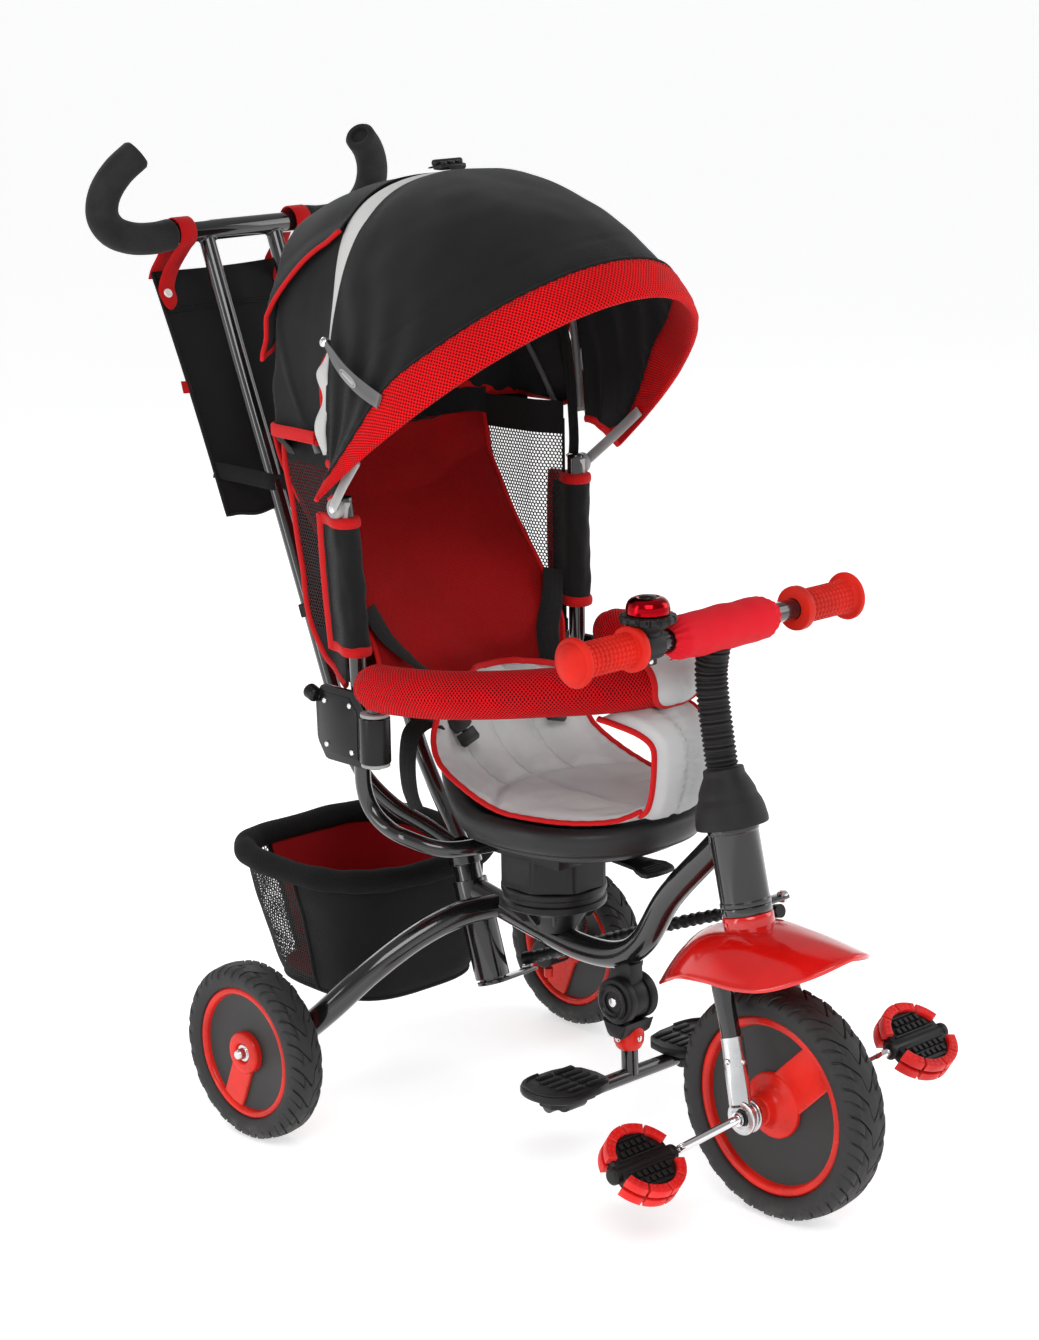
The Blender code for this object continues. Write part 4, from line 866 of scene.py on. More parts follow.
def pedals():
    ey = Vector((0, cos(PEDAL_TILT), sin(PEDAL_TILT)))
    n = Vector((0, -sin(PEDAL_TILT), cos(PEDAL_TILT)))
    for side, s in (("left", 1), ("right", -1)):
        c = Vector((s * PEDAL_X, -s * CRANK_DY, FRONT_R - s * CRANK_DZ))
        body = side + "_pedal"

        def place(x, y, h, c=c):
            return c + Vector((x, 0, 0)) + ey * y + n * h

        outline = []
        for k in range(48):
            a = 2 * pi * (k + 0.5) / 48
            r = 0.0372 / max(cos((a + pi / 8) % (pi / 4) - pi / 8), 0.9)
            outline.append((r * cos(a), r * sin(a)))
        sh = slab(outline, -0.0072, 0.0072, place, 0.0012)
        # recessed treads with studs on both faces
        for f in (1, -1):
            for row, (y0, xs) in enumerate(((0.0135, (-0.021, -0.0126, -0.0042, 0.0042, 0.0126, 0.021)),
                                            (0.0225, (-0.0168, -0.0084, 0, 0.0084, 0.0168)))):
                for yy in (y0, -y0):
                    for x in xs:
                        sh.join(slab([(x - 0.0025, yy - 0.0032), (x + 0.0025, yy - 0.0032), (x + 0.0025, yy + 0.0032), (x - 0.0025, yy + 0.0032)],
                                     min(f * 0.0066, f * 0.0106), max(f * 0.0066, f * 0.0106), place, 0.0007))
            for yy in (0.0082, -0.0082, 0.0296, -0.0296):
                w = 0.030 if abs(yy) < 0.02 else 0.019
                sh.join(slab([(-w, yy - 0.0011), (w, yy - 0.0011), (w, yy + 0.0011), (-w, yy + 0.0011)],
                             min(f * 0.0066, f * 0.0092), max(f * 0.0066, f * 0.0092), place, 0.0005))
        tube = lathe(rounded([(0, -0.0462), (0.0060, -0.0462), (0.0092, -0.0440), (0.0092, -0.0385), (0.0078, -0.0375), (0.0078, 0.0380),
                              (0.0092, 0.0388), (0.0092, 0.0445), (0.0062, 0.0462), (0, 0.0462)], 0.0010, 3), c, X_AXIS, 40)
        make("pedal_body_" + side, sh, PLASTIC, body, "pedal_" + side, angle=30)
        make("pedal_barrel_" + side, tube, PLASTIC, body)
        # four rubber blocks round each half, on both faces
        sh = Shape()
        for f in (1, -1):
            for h0 in (90, 270):
                for k in range(4):
                    a0 = h0 - 71 + k * 36.2
                    pts = []
                    for m in range(7):
                        a = radians(a0 + m / 6 * 32.6)
                        pts.append((0.0448 * cos(a), 0.0448 * sin(a)))
                    for m in range(7):
                        a = radians(a0 + 32.6 - m / 6 * 32.6)
                        pts.append((0.0342 * cos(a), 0.0342 * sin(a)))
                    lo, hi = sorted((f * 0.0020, f * 0.0124))
                    sh.join(slab(pts, lo, hi, place, 0.0013))
                    for da in (6.5, 16.3, 26.1):
                        for r in (0.0372, 0.0418):
                            a = radians(a0 + da)
                            sh.join(lathe([(0, f * 0.0118), (0.0013, f * 0.0118), (0.0013, f * 0.0130), (0, f * 0.0133)] if f > 0 else
                                          [(0, f * 0.0133), (0.0013, f * 0.0130), (0.0013, f * 0.0118), (0, f * 0.0118)],
                                          place(r * cos(a), r * sin(a), 0), n, 8))
        make("pedal_blocks_" + side, sh, PEDAL_RED, body, angle=30)


front_wheel()
rear_wheels()
crank()
pedals()


# ---------------------------------------------------------- frame and tubes
MAIN = [(0, 0.072, 0.4065), (0, 0.1034, 0.3744), (0, 0.1623, 0.3129), (0, 0.2007, 0.2547),
        (0, 0.2395, 0.2292), (0, 0.2949, 0.2233), (0, 0.36, 0.2317), (0, 0.4268, 0.2433),
        (0, 0.472, 0.2515)]


def screw(c, axis, r=0.0034, h=0.0016):
    """Domed rivet or screw head standing on a surface."""
    return lathe([(0, -0.0006), (r, -0.0006), (r, h * 0.3), (r * 0.86, h * 0.72), (r * 0.5, h * 0.97), (0, h)], c, axis, 20)


def frame_tubes():
    head = lathe(rounded([(0.0165, 0.0), (0.0275, 0.0), (0.0275, 0.0048), (0.0265, 0.0056), (0.0265, 0.0774),
                          (0.0275, 0.0782), (0.0275, 0.083), (0.0165, 0.083)], 0.0008, 3), HEAD, HEAD_AXIS, 72)
    make("head_tube_shell", head, PAINT, "frame", "head_tube")
    pts = spline(MAIN, 72)
    make("main_tube_bent", sweep(pts, 0.0150, 32), PAINT, "frame", "main_tube")
    # weld bead where the tube meets the head tube
    ring = []
    n0 = (pts[0] - pts[6]).normalized()
    u, v, w = frame_of(n0)
    for k in range(40):
        a = 2 * pi * k / 40
        d = u * cos(a) + v * sin(a)
        p = pts[0] + d * 0.0152
        for _ in range(40):
            q = p - HEAD
            off = (q - HEAD_AXIS * q.dot(HEAD_AXIS)).length
            if abs(off - 0.0268) < 0.0002:
                break
            p = p + n0 * ((off - 0.0268) * 0.8)
        ring.append(p)
    rows = []
    for k in range(40):
        t = (ring[(k + 1) % 40] - ring[k - 1]).normalized()
        a1 = t.cross(n0).normalized()
        b1 = t.cross(a1)
        r = 0.0017 + 0.0003 * (k % 2)
        rows.append([ring[k] + a1 * (r * cos(2 * pi * j / 8)) + b1 * (r * sin(2 * pi * j / 8)) for j in range(8)])
    make("head_weld", Shape().grid(rows, wrap=True, loop=True), PAINT, "frame", angle=60)
    for side, s in (("left", 1), ("right", -1)):
        path = spline(sided(s, [(0.002, 0.4255, 0.2432), (0.05, 0.441, 0.240), (0.10, 0.458, 0.222),
                                (0.152, 0.477, 0.190), (0.192, 0.502, 0.150), (0.208, 0.532, 0.120),
                                (0.2115, 0.5560, 0.106)]), 60)
        radii = [0.0150 * lerp(0.90, 0.98, smooth(i / 12)) for i in range(60)]
        make("rear_arm_tube_" + side, sweep(path, radii, 28), PAINT, "frame", "rear_arm_" + side)
        hub = lathe(rounded([(0.0063, 0.192), (0.0155, 0.192), (0.0168, 0.1935), (0.0168, 0.2268), (0.0160, 0.2285), (0.0063, 0.2285)], 0.0010, 3),
                    (0, REAR_Y, REAR_R), (s, 0, 0), 56)
        make("axle_housing_" + side, hub, PLASTIC, "frame")
        button = lathe(rounded([(0, 0.0690), (0.0045, 0.0690), (0.0055, 0.0700), (0.0055, 0.0808), (0, 0.0808)], 0.0008, 3),
                       (s * 0.205, REAR_Y, 0), Z_AXIS, 28)
        make("axle_button_" + side, button, WHEEL_RED, "button_" + side, "release_button_" + side)
    # moulded pedestal with ribs and a flared foot
    prof = [(0.0218, 0.2362), (0.0235, 0.2362), (0.0400, 0.2600), (0.0460, 0.2650), (0.0575, 0.2680), (0.0590, 0.2700),
            (0.0590, 0.2760), (0.0560, 0.2772), (0.0560, 0.2830), (0.0590, 0.2842), (0.0590, 0.2900), (0.0570, 0.2920), (0.0218, 0.2920)]
    make("pedestal_drum", lathe(rounded(prof, 0.0009, 2), (0, SEAT_Y, 0), Z_AXIS, 88), PLASTIC, "frame", "pedestal_ring")
    ribs = Shape()
    for k in range(12):
        a = 2 * pi * (k + 0.5) / 12
        d = Vector((cos(a), sin(a), 0))
        t = Vector((-sin(a), cos(a), 0))
        if abs(cos(a)) < 0.34 and True:
            continue
        pts = [(0.0300, 0.2490), (0.0400, 0.2500), (0.0568, 0.2672), (0.0568, 0.2700), (0.0300, 0.2700)]
        ribs.join(slab(pts, -0.0014, 0.0014, lambda x, y, h, d=d, t=t: Vector((0, SEAT_Y, 0)) + d * x + t * h + Vector((0, 0, y)), 0.0004))
    make("pedestal_ribs", ribs, PLASTIC, "frame", angle=30)
    make("shaft_sleeve", lathe(rounded([(0.0160, -0.0585), (0.0200, -0.0585), (0.0200, 0.0570), (0.0160, 0.0570)], 0.0009, 3),
                               SHAFT, SHAFT_AXIS, 56), PAINT, "frame", "steering_sleeve")
    hinge()


def hinge():
    c = Vector((0, 0.2255, 0.183))
    # knuckle on the main tube: round drum with a stepped face, neck and saddle
    drum = lathe(rounded([(0.0052, -0.0102), (0.0235, -0.0102), (0.0235, 0.0102), (0.0052, 0.0102)], 0.0012, 3), c, X_AXIS, 64)
    neck = slab([(0.2120, 0.196), (0.2390, 0.196), (0.2400, 0.2140), (0.2330, 0.2192), (0.2180, 0.2262), (0.2125, 0.2240)], -0.0098, 0.0098,
                lambda x, y, h: Vector((h, x, y)), 0.0015)
    make("fold_knuckle", drum.join(neck), PLASTIC, "frame", "footrest_hinge", angle=35)
    plug = Shape()
    for s in (1, -1):
        plug.join(lathe(rounded([(0.0120, 0.0), (0.0205, 0.0), (0.0205, 0.0032), (0.0190, 0.0040), (0.0165, 0.0040), (0.0155, 0.0022),
                                 (0.0120, 0.0020)], 0.0006, 2), c + Vector((s * 0.0224, 0, 0)), (s, 0, 0), 56))
    yoke = []
    for s in (1, -1):
        yoke.append(lathe(rounded([(0, 0.0108), (0.0262, 0.0108), (0.0262, 0.0205), (0.0240, 0.0226), (0, 0.0226)], 0.0016, 3), c, (s, 0, 0), 64))
    sh = yoke[0].join(yoke[1])
    bridge = slab([(0.2070, 0.1630), (0.2140, 0.1600), (0.2370, 0.1600), (0.2440, 0.1630), (0.2375, 0.1480), (0.2330, 0.1440), (0.2170, 0.1440), (0.2125, 0.1480)],
                  -0.0215, 0.0215, lambda x, y, h: Vector((h, x, y - 0.0030)), 0.0018)
    sh.join(bridge)
    make("fold_yoke", sh, PLASTIC, "footrest", "footrest_post", angle=35)
    make("fold_rings", plug, PLASTIC_GLOSS, "footrest")
    caps = Shape()
    for s in (1, -1):
        caps.join(lathe([(0, 0.0218), (0.0058, 0.0218), (0.0058, 0.0236), (0.0050, 0.0248), (0.0028, 0.0253), (0, 0.0253)], c, (s, 0, 0), 28))
    make("fold_screws", caps, SILVER, "footrest")
    post = sweep(spline([(0, 0.2255, 0.150), (0, 0.2243, 0.1300), (0, 0.2235, 0.112), (0, 0.2230, 0.0950)], 24), 0.0095, 32)
    cross = lathe(rounded([(0, -0.1270), (0.0085, -0.1270), (0.0085, 0.1270), (0, 0.1270)], 0.0012, 3), (0, 0.2230, 0.0935), X_AXIS, 40)
    make("footrest_tubes", post.join(cross), PAINT, "footrest")
    # ball-shaped collar of the telescoping post
    ball = lathe(rounded([(0.0097, 0.1245), (0.0120, 0.1245), (0.0142, 0.1270), (0.0166, 0.1330), (0.0172, 0.1390), (0.0166, 0.1450),
                          (0.0142, 0.1508), (0.0130, 0.1525), (0.0097, 0.1525)], 0.0010, 2), (0, 0.2248, 0), Z_AXIS, 56)
    make("post_collar", ball, WHEEL_RED, "footrest")
    sc = Shape()
    for s in (1, -1):
        sc.join(screw(Vector((s * 0.0166, 0.2248, 0.139)), (s, 0, 0.0), 0.0036, 0.0018))
    sc.join(screw(Vector((0, 0.2248 - 0.0168, 0.139)), (0, -1, 0), 0.0034, 0.0016))
    make("post_collar_screws", sc, SILVER, "footrest")
    for side, s in (("left", 1), ("right", -1)):
        outline = []
        for k in range(33):
            a = radians(-90 + 180 * k / 32)
            outline.append((0.107 + 0.043 * abs(cos(a)) ** 0.75, 0.2230 + 0.0385 * (1 if sin(a) > 0 else -1) * abs(sin(a)) ** 0.9))
        outline += [(0.085, 0.2606), (0.066, 0.2560), (0.054, 0.2440), (0.0505, 0.2230), (0.054, 0.2020), (0.066, 0.1900), (0.085, 0.1854)]

        def place(x, y, h, s=s):
            lift = 0.0022 * smooth((x - 0.118) / 0.035) + 0.0012 * (abs(y - 0.223) / 0.0385) ** 2
            return Vector((s * x, y, h + lift))

        sh = slab(outline, 0.1024, 0.1122, place, 0.0030)
        for k in range(5):
            y = 0.1985 + 0.01225 * k
            for x0, x1 in ((0.0640, 0.0900), (0.0960, 0.1240)):
                if k in (0, 4) and x0 > 0.09:
                    x1 -= 0.006
                sh.join(slab([(x0, y - 0.0028), (x0 + 0.002, y - 0.0034), (x1 - 0.002, y - 0.0034), (x1, y - 0.0028), (x1, y + 0.0028),
                              (x1 - 0.002, y + 0.0034), (x0 + 0.002, y + 0.0034), (x0, y + 0.0028)], 0.1105, 0.1150, place, 0.0011))
        rim_out = outline
        # raised lip round the outer end
        path = [place(0.107 + 0.0395 * abs(cos(radians(-90 + 180 * k / 20))) ** 0.75,
                      0.2230 + 0.0350 * (1 if sin(radians(-90 + 180 * k / 20)) > 0 else -1) * abs(sin(radians(-90 + 180 * k / 20))) ** 0.9, 0.1125)
                for k in range(21)]
        sh.join(sweep(path, 0.0021, 10, ends=True))
        # deep body below the deck with the clamp on the cross tube
        sh.join(slab([(0.070, 0.206), (0.122, 0.206), (0.130, 0.214), (0.130, 0.232), (0.122, 0.240), (0.070, 0.240)], 0.0905, 0.1035,
                     lambda x, y, h, s=s: Vector((s * x, y, h)), 0.0030))
        sh.join(lathe(rounded([(0.0087, 0.078), (0.0135, 0.078), (0.0135, 0.106), (0.0087, 0.106)], 0.0014, 3), (0, 0.2230, 0.0935), (s, 0, 0), 40))
        make("foot_deck_" + side, sh, PLASTIC, "footrest", "foot_plate_" + side, angle=32)


# ----------------------------------------------------------------- steering
def steering():
    b = "steering"
    make("column", lathe(rounded([(0, -0.0330), (0.0160, -0.0330), (0.0160, 0.1400), (0, 0.1400)], 0.0008, 2), HEAD, HEAD_AXIS, 48), ZINC, b, "steer_column")
    ring = lathe(rounded([(0.0163, -0.0088), (0.0270, -0.0088), (0.0270, -0.0006), (0.0163, -0.0006)], 0.0008, 2), HEAD, HEAD_AXIS, 64)
    ring.join(slab([(0.0235, 0.0427), (0.0590, 0.0440), (0.0625, 0.0475), (0.0640, 0.0512), (0.0625, 0.0550), (0.0590, 0.0585), (0.0235, 0.0597)],
                   0.3242, 0.3272, lambda x, y, h: Vector((x, y, h)), 0.0006))
    make("steer_plate", ring, PAINT, b, "steering_arm", angle=35)
    bolt = lathe([(0, 0.3200), (0.0050, 0.3200), (0.0052, 0.3205), (0.0052, 0.3240), (0.0030, 0.3243), (0.0030, 0.3272), (0.0062, 0.3274), (0.0062, 0.3292), (0.0040, 0.3312), (0, 0.3316)],
                 (0.0560, 0.0512, 0), Z_AXIS, 20)
    make("steer_plate_bolt", bolt, SILVER, b)
    leg = [(0.0575, 0.0060, 0.134), (0.0545, 0.0135, 0.158), (0.0505, 0.0228, 0.192),
           (0.0500, 0.0350, 0.236), (0.0495, 0.0420, 0.262), (0.0430, 0.0446, 0.2760),
           (0.0260, 0.0452, 0.2840), (0, 0.0455, 0.2860)]
    whole = [Vector((-x, y, z)) for x, y, z in leg] + [Vector(p) for p in leg[-2::-1]]
    make("fork_tube", sweep(spline(whole, 110), 0.0105, 28), PAINT, b, "fork")
    foot, rivets, hubs = Shape(), Shape(), Shape()
    for s in (1, -1):
        path = spline(sided(s, [(0.0498, 0.0262, 0.2040), (0.0505, 0.0228, 0.1920), (0.0525, 0.0180, 0.1750), (0.0553, 0.0112, 0.1520), (0.0572, 0.0068, 0.1370)]), 26)
        radii = [lerp(0.0119, 0.0128, smooth(i / 20)) for i in range(26)]
        foot.join(sweep(path, radii, 32, up=(0, 1, 0), section=lambda i, a: 1 + 0.06 * cos(4 * a) * smooth(i / 24)))
        for z, y in ((0.1815, 0.0200),):
            for dy, ax in ((-0.0122, (0, -1, 0)), (0.0122, (0, 1, 0))):
                rivets.join(screw(Vector((s * 0.0515, y + dy, z)), ax, 0.0036, 0.0028))
        for z, y, x in ((0.1815, 0.0200, 0.0515),):
            rivets.join(screw(Vector((s * (x + 0.0120), y - 0.001, z)), (s, 0, 0), 0.0036, 0.0026))
        cup = [(0.0062, 0.0480), (0.0125, 0.0480), (0.0130, 0.0500), (0.0150, 0.0505), (0.0182, 0.0508), (0.0186, 0.0520), (0.0182, 0.0532),
               (0.0150, 0.0540), (0.0146, 0.0560), (0.0146, 0.0590), (0.0152, 0.0606), (0.0184, 0.0614), (0.0188, 0.0628), (0.0182, 0.0643),
               (0.0120, 0.0650), (0.0085, 0.0636), (0.0062, 0.0636)]
        hubs.join(lathe(rounded(cup, 0.0006, 2), (0, 0, FRONT_R), (s, 0, 0), 64))
    make("fork_feet", foot, ZINC, b, angle=50)
    make("fork_rivets", rivets, SILVER, b)
    make("fork_cups", hubs, ZINC, b, angle=50)
    bush = Shape()
    for s in (1, -1):
        bush.join(lathe(rounded([(0.0052, 0.0620), (0.0083, 0.0620), (0.0083, 0.0658), (0.0052, 0.0658)], 0.0006, 2), (0, 0, FRONT_R), (s, 0, 0), 32))
    make("fork_bushes", bush, PLASTIC, b)
    fender()
    cover = [(0.0168, 0.0836), (0.0372, 0.0836), (0.0385, 0.0846), (0.0385, 0.0905), (0.0380, 0.0930), (0.0372, 0.0985), (0.0362, 0.1035), (0.0346, 0.1085),
             (0.0322, 0.1132), (0.0312, 0.1152), (0.0300, 0.1215), (0.0262, 0.1300), (0.0222, 0.1375), (0.0215, 0.1440), (0.0206, 0.1452), (0.0168, 0.1452)]
    make("stem_boot", lathe(rounded(cover, 0.0007, 2), HEAD, HEAD_AXIS, 80), RUBBER, b, "stem_cover")
    # ribs up the rubber stem
    path = spline([(0, 0.0856, 0.4680), (0, 0.0925, 0.505), (0, 0.0995, 0.545), (0, 0.1018, 0.573), (0, 0.0990, 0.5930), (0, 0.0975, 0.6010)], 172)
    total = length_of(path)
    radii = []
    for i in range(172):
        t = i / 171 * total / 0.0052 % 1
        radii.append(0.0148 + 0.0030 * (1 - abs(2 * t - 1)) ** 0.7)
    make("stem_ribs", sweep(path, radii, 36), RUBBER, b, "stem_bellows", angle=70)
    make("bar_tube", lathe(rounded([(0, -0.2035), (0.0110, -0.2035), (0.0110, 0.2035), (0, 0.2035)], 0.0010, 2), (0, BAR_Y, BAR_Z), X_AXIS, 48), PAINT, b, "handlebar")
    for side, s in (("left", 1), ("right", -1)):
        grip = [(0, 0.2185), (0.0022, 0.2185), (0.0070, 0.2178), (0.0130, 0.2160), (0.0185, 0.2128), (0.0208, 0.2104), (0.0214, 0.2088), (0.0240, 0.2080),
                (0.0256, 0.2062), (0.0259, 0.2040), (0.0252, 0.2018), (0.0225, 0.2005), (0.0200, 0.2000), (0.0188, 0.1985)]
        n = 11
        for k in range(n):
            a, w = 0.1965 - k * 0.0058, 0.0058
            grip += [(0.0172, a), (0.0172, a - w * 0.30), (0.0184, a - w * 0.42), (0.0184, a - w * 0.86)]
        grip += [(0.0172, 0.1318), (0.0180, 0.1305), (0.0226, 0.1300), (0.0236, 0.1288), (0.0240, 0.1240), (0.0234, 0.1200), (0.0220, 0.1192), (0.0115, 0.1192),
                 (0.0112, 0.1230), (0.0112, 0.2040), (0, 0.2045)]

        def notch(h, a):
            if 0.1325 < h < 0.1975:
                return 1.0 - 0.050 * (smooth((cos(a * 20) + 0.1) / 0.5))
            return 1.0

        make("grip_rubber_" + side, lathe(grip, (0, BAR_Y, BAR_Z), (s, 0, 0), 160, swell=notch), GRIP_RED, b, "grip_" + side, angle=45)
    sleeve()
    bell()
    link()


def fender():
    """Moulded guard: collar, beak, tail and two skirts with a rolled rim."""
    rim_half = [(0.0, 0.1690, 0.2190), (0.0330, 0.1420, 0.2330), (0.0560, 0.0980, 0.2560),
                (0.0665, 0.0500, 0.2660), (0.0690, 0.0050, 0.2690), (0.0640, -0.0360, 0.2770),
                (0.0430, -0.0780, 0.2960), (0.0, -0.0965, 0.3100)]
    ext = [Vector((-p[0], p[1], p[2])) for p in rim_half[1:3]][::-1]
    closed = spline([Vector(p) for p in ext] + [Vector(p) for p in rim_half] + [Vector((-p[0], p[1], p[2])) for p in rim_half[-2:-4:-1]], 240)
    half = [p for p in closed if p.x >= -1e-4]
    i0 = min(range(len(closed)), key=lambda i: abs(closed[i].x) + (10 if closed[i].y < 0.05 else 0))
    i1 = min(range(len(closed)), key=lambda i: abs(closed[i].x) + (10 if closed[i].y > 0.05 else 0))
    half = spline(closed[i0:i1 + 1:4] + [closed[i1]], 46)
    half[0].x = half[-1].x = 0.0
    rim = half + [Vector((-p.x, p.y, p.z)) for p in half[-2:0:-1]]
    top = HEAD + HEAD_AXIS * -0.0094
    low = HEAD + HEAD_AXIS * -0.0220

    def around(p, c):
        d = Vector((p.x - c.x, p.y - c.y, 0))
        d = d.normalized() if d.length > 1e-6 else Vector((0, 1, 0))
        return (d - HEAD_AXIS * d.dot(HEAD_AXIS)).normalized()

    outer = []
    rings = []
    base = HEAD + HEAD_AXIS * -0.0300
    for r, c in ((0.0190, base), (0.0190, top + HEAD_AXIS * -0.001), (0.0198, top), (0.0262, top), (0.0272, top + HEAD_AXIS * -0.0010), (0.0274, HEAD + HEAD_AXIS * -0.0160), (0.0272, low)):
        rings.append([c + around(p, c) * r for p in rim])
    start = rings[-1]
    rows_t = [0.06, 0.13, 0.22, 0.32, 0.43, 0.54, 0.65, 0.75, 0.84, 0.91, 0.96, 1.0]
    for t in rows_t:
        row = []
        for p, q in zip(start, rim):
            mid = Vector((lerp(p.x, q.x, 0.55), lerp(p.y, q.y, 0.50), max(p.z - 0.004, q.z) + 0.004))
            row.append((1 - t) ** 2 * p + 2 * t * (1 - t) * mid + t * t * q)
        outer.append(row)
    n = len(rim)
    lip, under = [], []
    for k in range(3):
        row = []
        for i, q in enumerate(rim):
            lean = around(q, Vector((0, q.y * 0.5 + 0.02, 0)))
            a = (k + 1) / 3 * pi * 0.75
            row.append(q + lean * (0.0016 * sin(a)) + Vector((0, 0, -0.0030 * (1 - cos(a)))))
        lip.append(row)
    for j, row in enumerate(outer[::-1]):
        new = []
        for i, p in enumerate(row):
            lean = around(rim[i], Vector((0, rim[i].y * 0.5 + 0.02, 0)))
            new.append(p - Vector((lean.x * 0.0012, lean.y * 0.0012, 0.0030)))
        under.append(new)
    rings += outer + lip + under[1:]
    rings.append([base + HEAD_AXIS * 0.0005 + around(p, base) * 0.0240 for p in rim])
    sh = Shape().grid(rings, wrap=True, loop=True)
    make("fender_shell", sh, RED_GLOSS, "steering", "fender", angle=48)


def sleeve():
    """Cloth sleeve on the handlebar: a crowned tube whose ends are gathered by elastic."""
    rows = []
    n, m = 64, 96
    x0, x1 = -0.0740, 0.0840
    for i in range(n + 1):
        t = i / n
        x = lerp(x0, x1, t)
        edge = min(t, 1 - t)
        row = []
        for k in range(m):
            a = 2 * pi * k / m
            puck = (1 - smooth(edge / 0.16))
            r = lerp(0.0148, 0.0232, smooth(edge / 0.10)) + 0.0012 * sin(pi * t)
            r += puck * 0.0013 * sin(a * 17 + 1.2 * sin(a * 3)) * smooth(edge / 0.02 + 0.35)
            r += wob((x * 1.2, cos(a) * 0.02, sin(a) * 0.02), 38, 0.0013, 3.1)
            r += 0.0007 * cos(2 * a + 0.6)
            row.append(Vector((x + puck * 0.0010 * sin(a * 11), BAR_Y + r * cos(a), BAR_Z + r * sin(a) - 0.0006 * smooth(edge / 0.1))))
        rows.append(row)
    inner = []
    for t, r in ((1, 0.0118), (0.5, 0.0118), (0, 0.0118)):
        inner.append([Vector((lerp(x0 + 0.002, x1 - 0.002, t), BAR_Y + r * cos(2 * pi * k / m), BAR_Z + r * sin(2 * pi * k / m))) for k in range(m)])
    ob = make("bar_sleeve", Shape().grid(rows + inner, wrap=True, loop=True), SLEEVE, "steering", "handlebar_pad", angle=80)
    seam = sweep([Vector((lerp(x0 + 0.012, x1 - 0.012, k / 40), BAR_Y + 0.0060, BAR_Z - 0.0238 + 0.0005 * sin(k))) for k in range(41)], 0.0007, 6)
    make("bar_sleeve_seam", seam, SLEEVE, "steering")


def bell():
    c = (-0.100, BAR_Y, 0)
    clamp = lathe(rounded([(0.0113, -0.1120), (0.0150, -0.1120), (0.0158, -0.1110), (0.0158, -0.0890), (0.0150, -0.0880), (0.0113, -0.0880)], 0.0006, 2),
                  (0, BAR_Y, BAR_Z), X_AXIS, 56)
    clamp.join(slab([(-0.1085, -0.0040), (-0.0915, -0.0040), (-0.0915, 0.0040), (-0.1085, 0.0040)], BAR_Z - 0.0215, BAR_Z - 0.0130,
                    lambda x, y, h: Vector((x, BAR_Y + y, h)), 0.0012))
    clamp.join(lathe(rounded([(0, 0.6280), (0.0130, 0.6280), (0.0150, 0.6330), (0.0220, 0.6395), (0.0220, 0.6418), (0, 0.6418)], 0.0008, 2), c, Z_AXIS, 56))
    make("bell_clamp", clamp, PLASTIC, "steering", "bell", angle=40)
    make("bell_screw", screw(Vector((-0.1000, BAR_Y - 0.0040, BAR_Z - 0.0170)), (0, -1, 0), 0.0030, 0.0016), SILVER, "steering")
    dome = [(0, 0.6508), (0.0222, 0.6508), (0.0228, 0.6520), (0.0228, 0.6560), (0.0222, 0.6600), (0.0204, 0.6640), (0.0172, 0.6668), (0.0130, 0.6682),
            (0.0098, 0.6680), (0.0094, 0.6674), (0, 0.6674)]
    make("bell_dome", lathe(rounded(dome, 0.0008, 2), c, Z_AXIS, 96), BELL_RED, "steering", angle=60)
    make("bell_cap", lathe([(0, 0.6670), (0.0090, 0.6670), (0.0092, 0.6678), (0.0084, 0.6690), (0.0050, 0.6697), (0, 0.6699)], c, Z_AXIS, 48), PLASTIC_GLOSS, "steering")

    def teeth(h, a):
        return 1 - 0.085 * smooth((cos(a * 16) - 0.25) / 0.5) if 0.6426 < h < 0.6500 else 1 - 0.04 * smooth((cos(a * 16) - 0.25) / 0.5)

    dial = [(0.0064, 0.6422), (0.0272, 0.6422), (0.0290, 0.6432), (0.0294, 0.6450), (0.0294, 0.6478), (0.0286, 0.6496), (0.0264, 0.6503), (0.0064, 0.6503)]
    make("bell_ratchet", lathe(dial, c, Z_AXIS, 192, swell=teeth), PLASTIC, "bell_ring", "bell_dial", angle=40)


def link():
    """Moulded rod with ribs that links the rear lever to the steering plate."""
    path = spline([(0.0550, 0.4450, 0.1600), (0.0535, 0.3400, 0.2030), (0.0520, 0.2400, 0.2455),
                   (0.0520, 0.1300, 0.2885), (0.0520, 0.0500, 0.3105)], 150)
    total = length_of(path)
    radii = []
    for i in range(150):
        d = i / 149 * total
        t = d / 0.0125 % 1
        end = min(d, total - d)
        radii.append(0.0062 + (0.0013 if t < 0.28 or end < 0.010 else 0.0))
    make("link_rod", sweep(path, radii, 20), PLASTIC, "link", "tie_rod", angle=50)


frame_tubes()
steering()


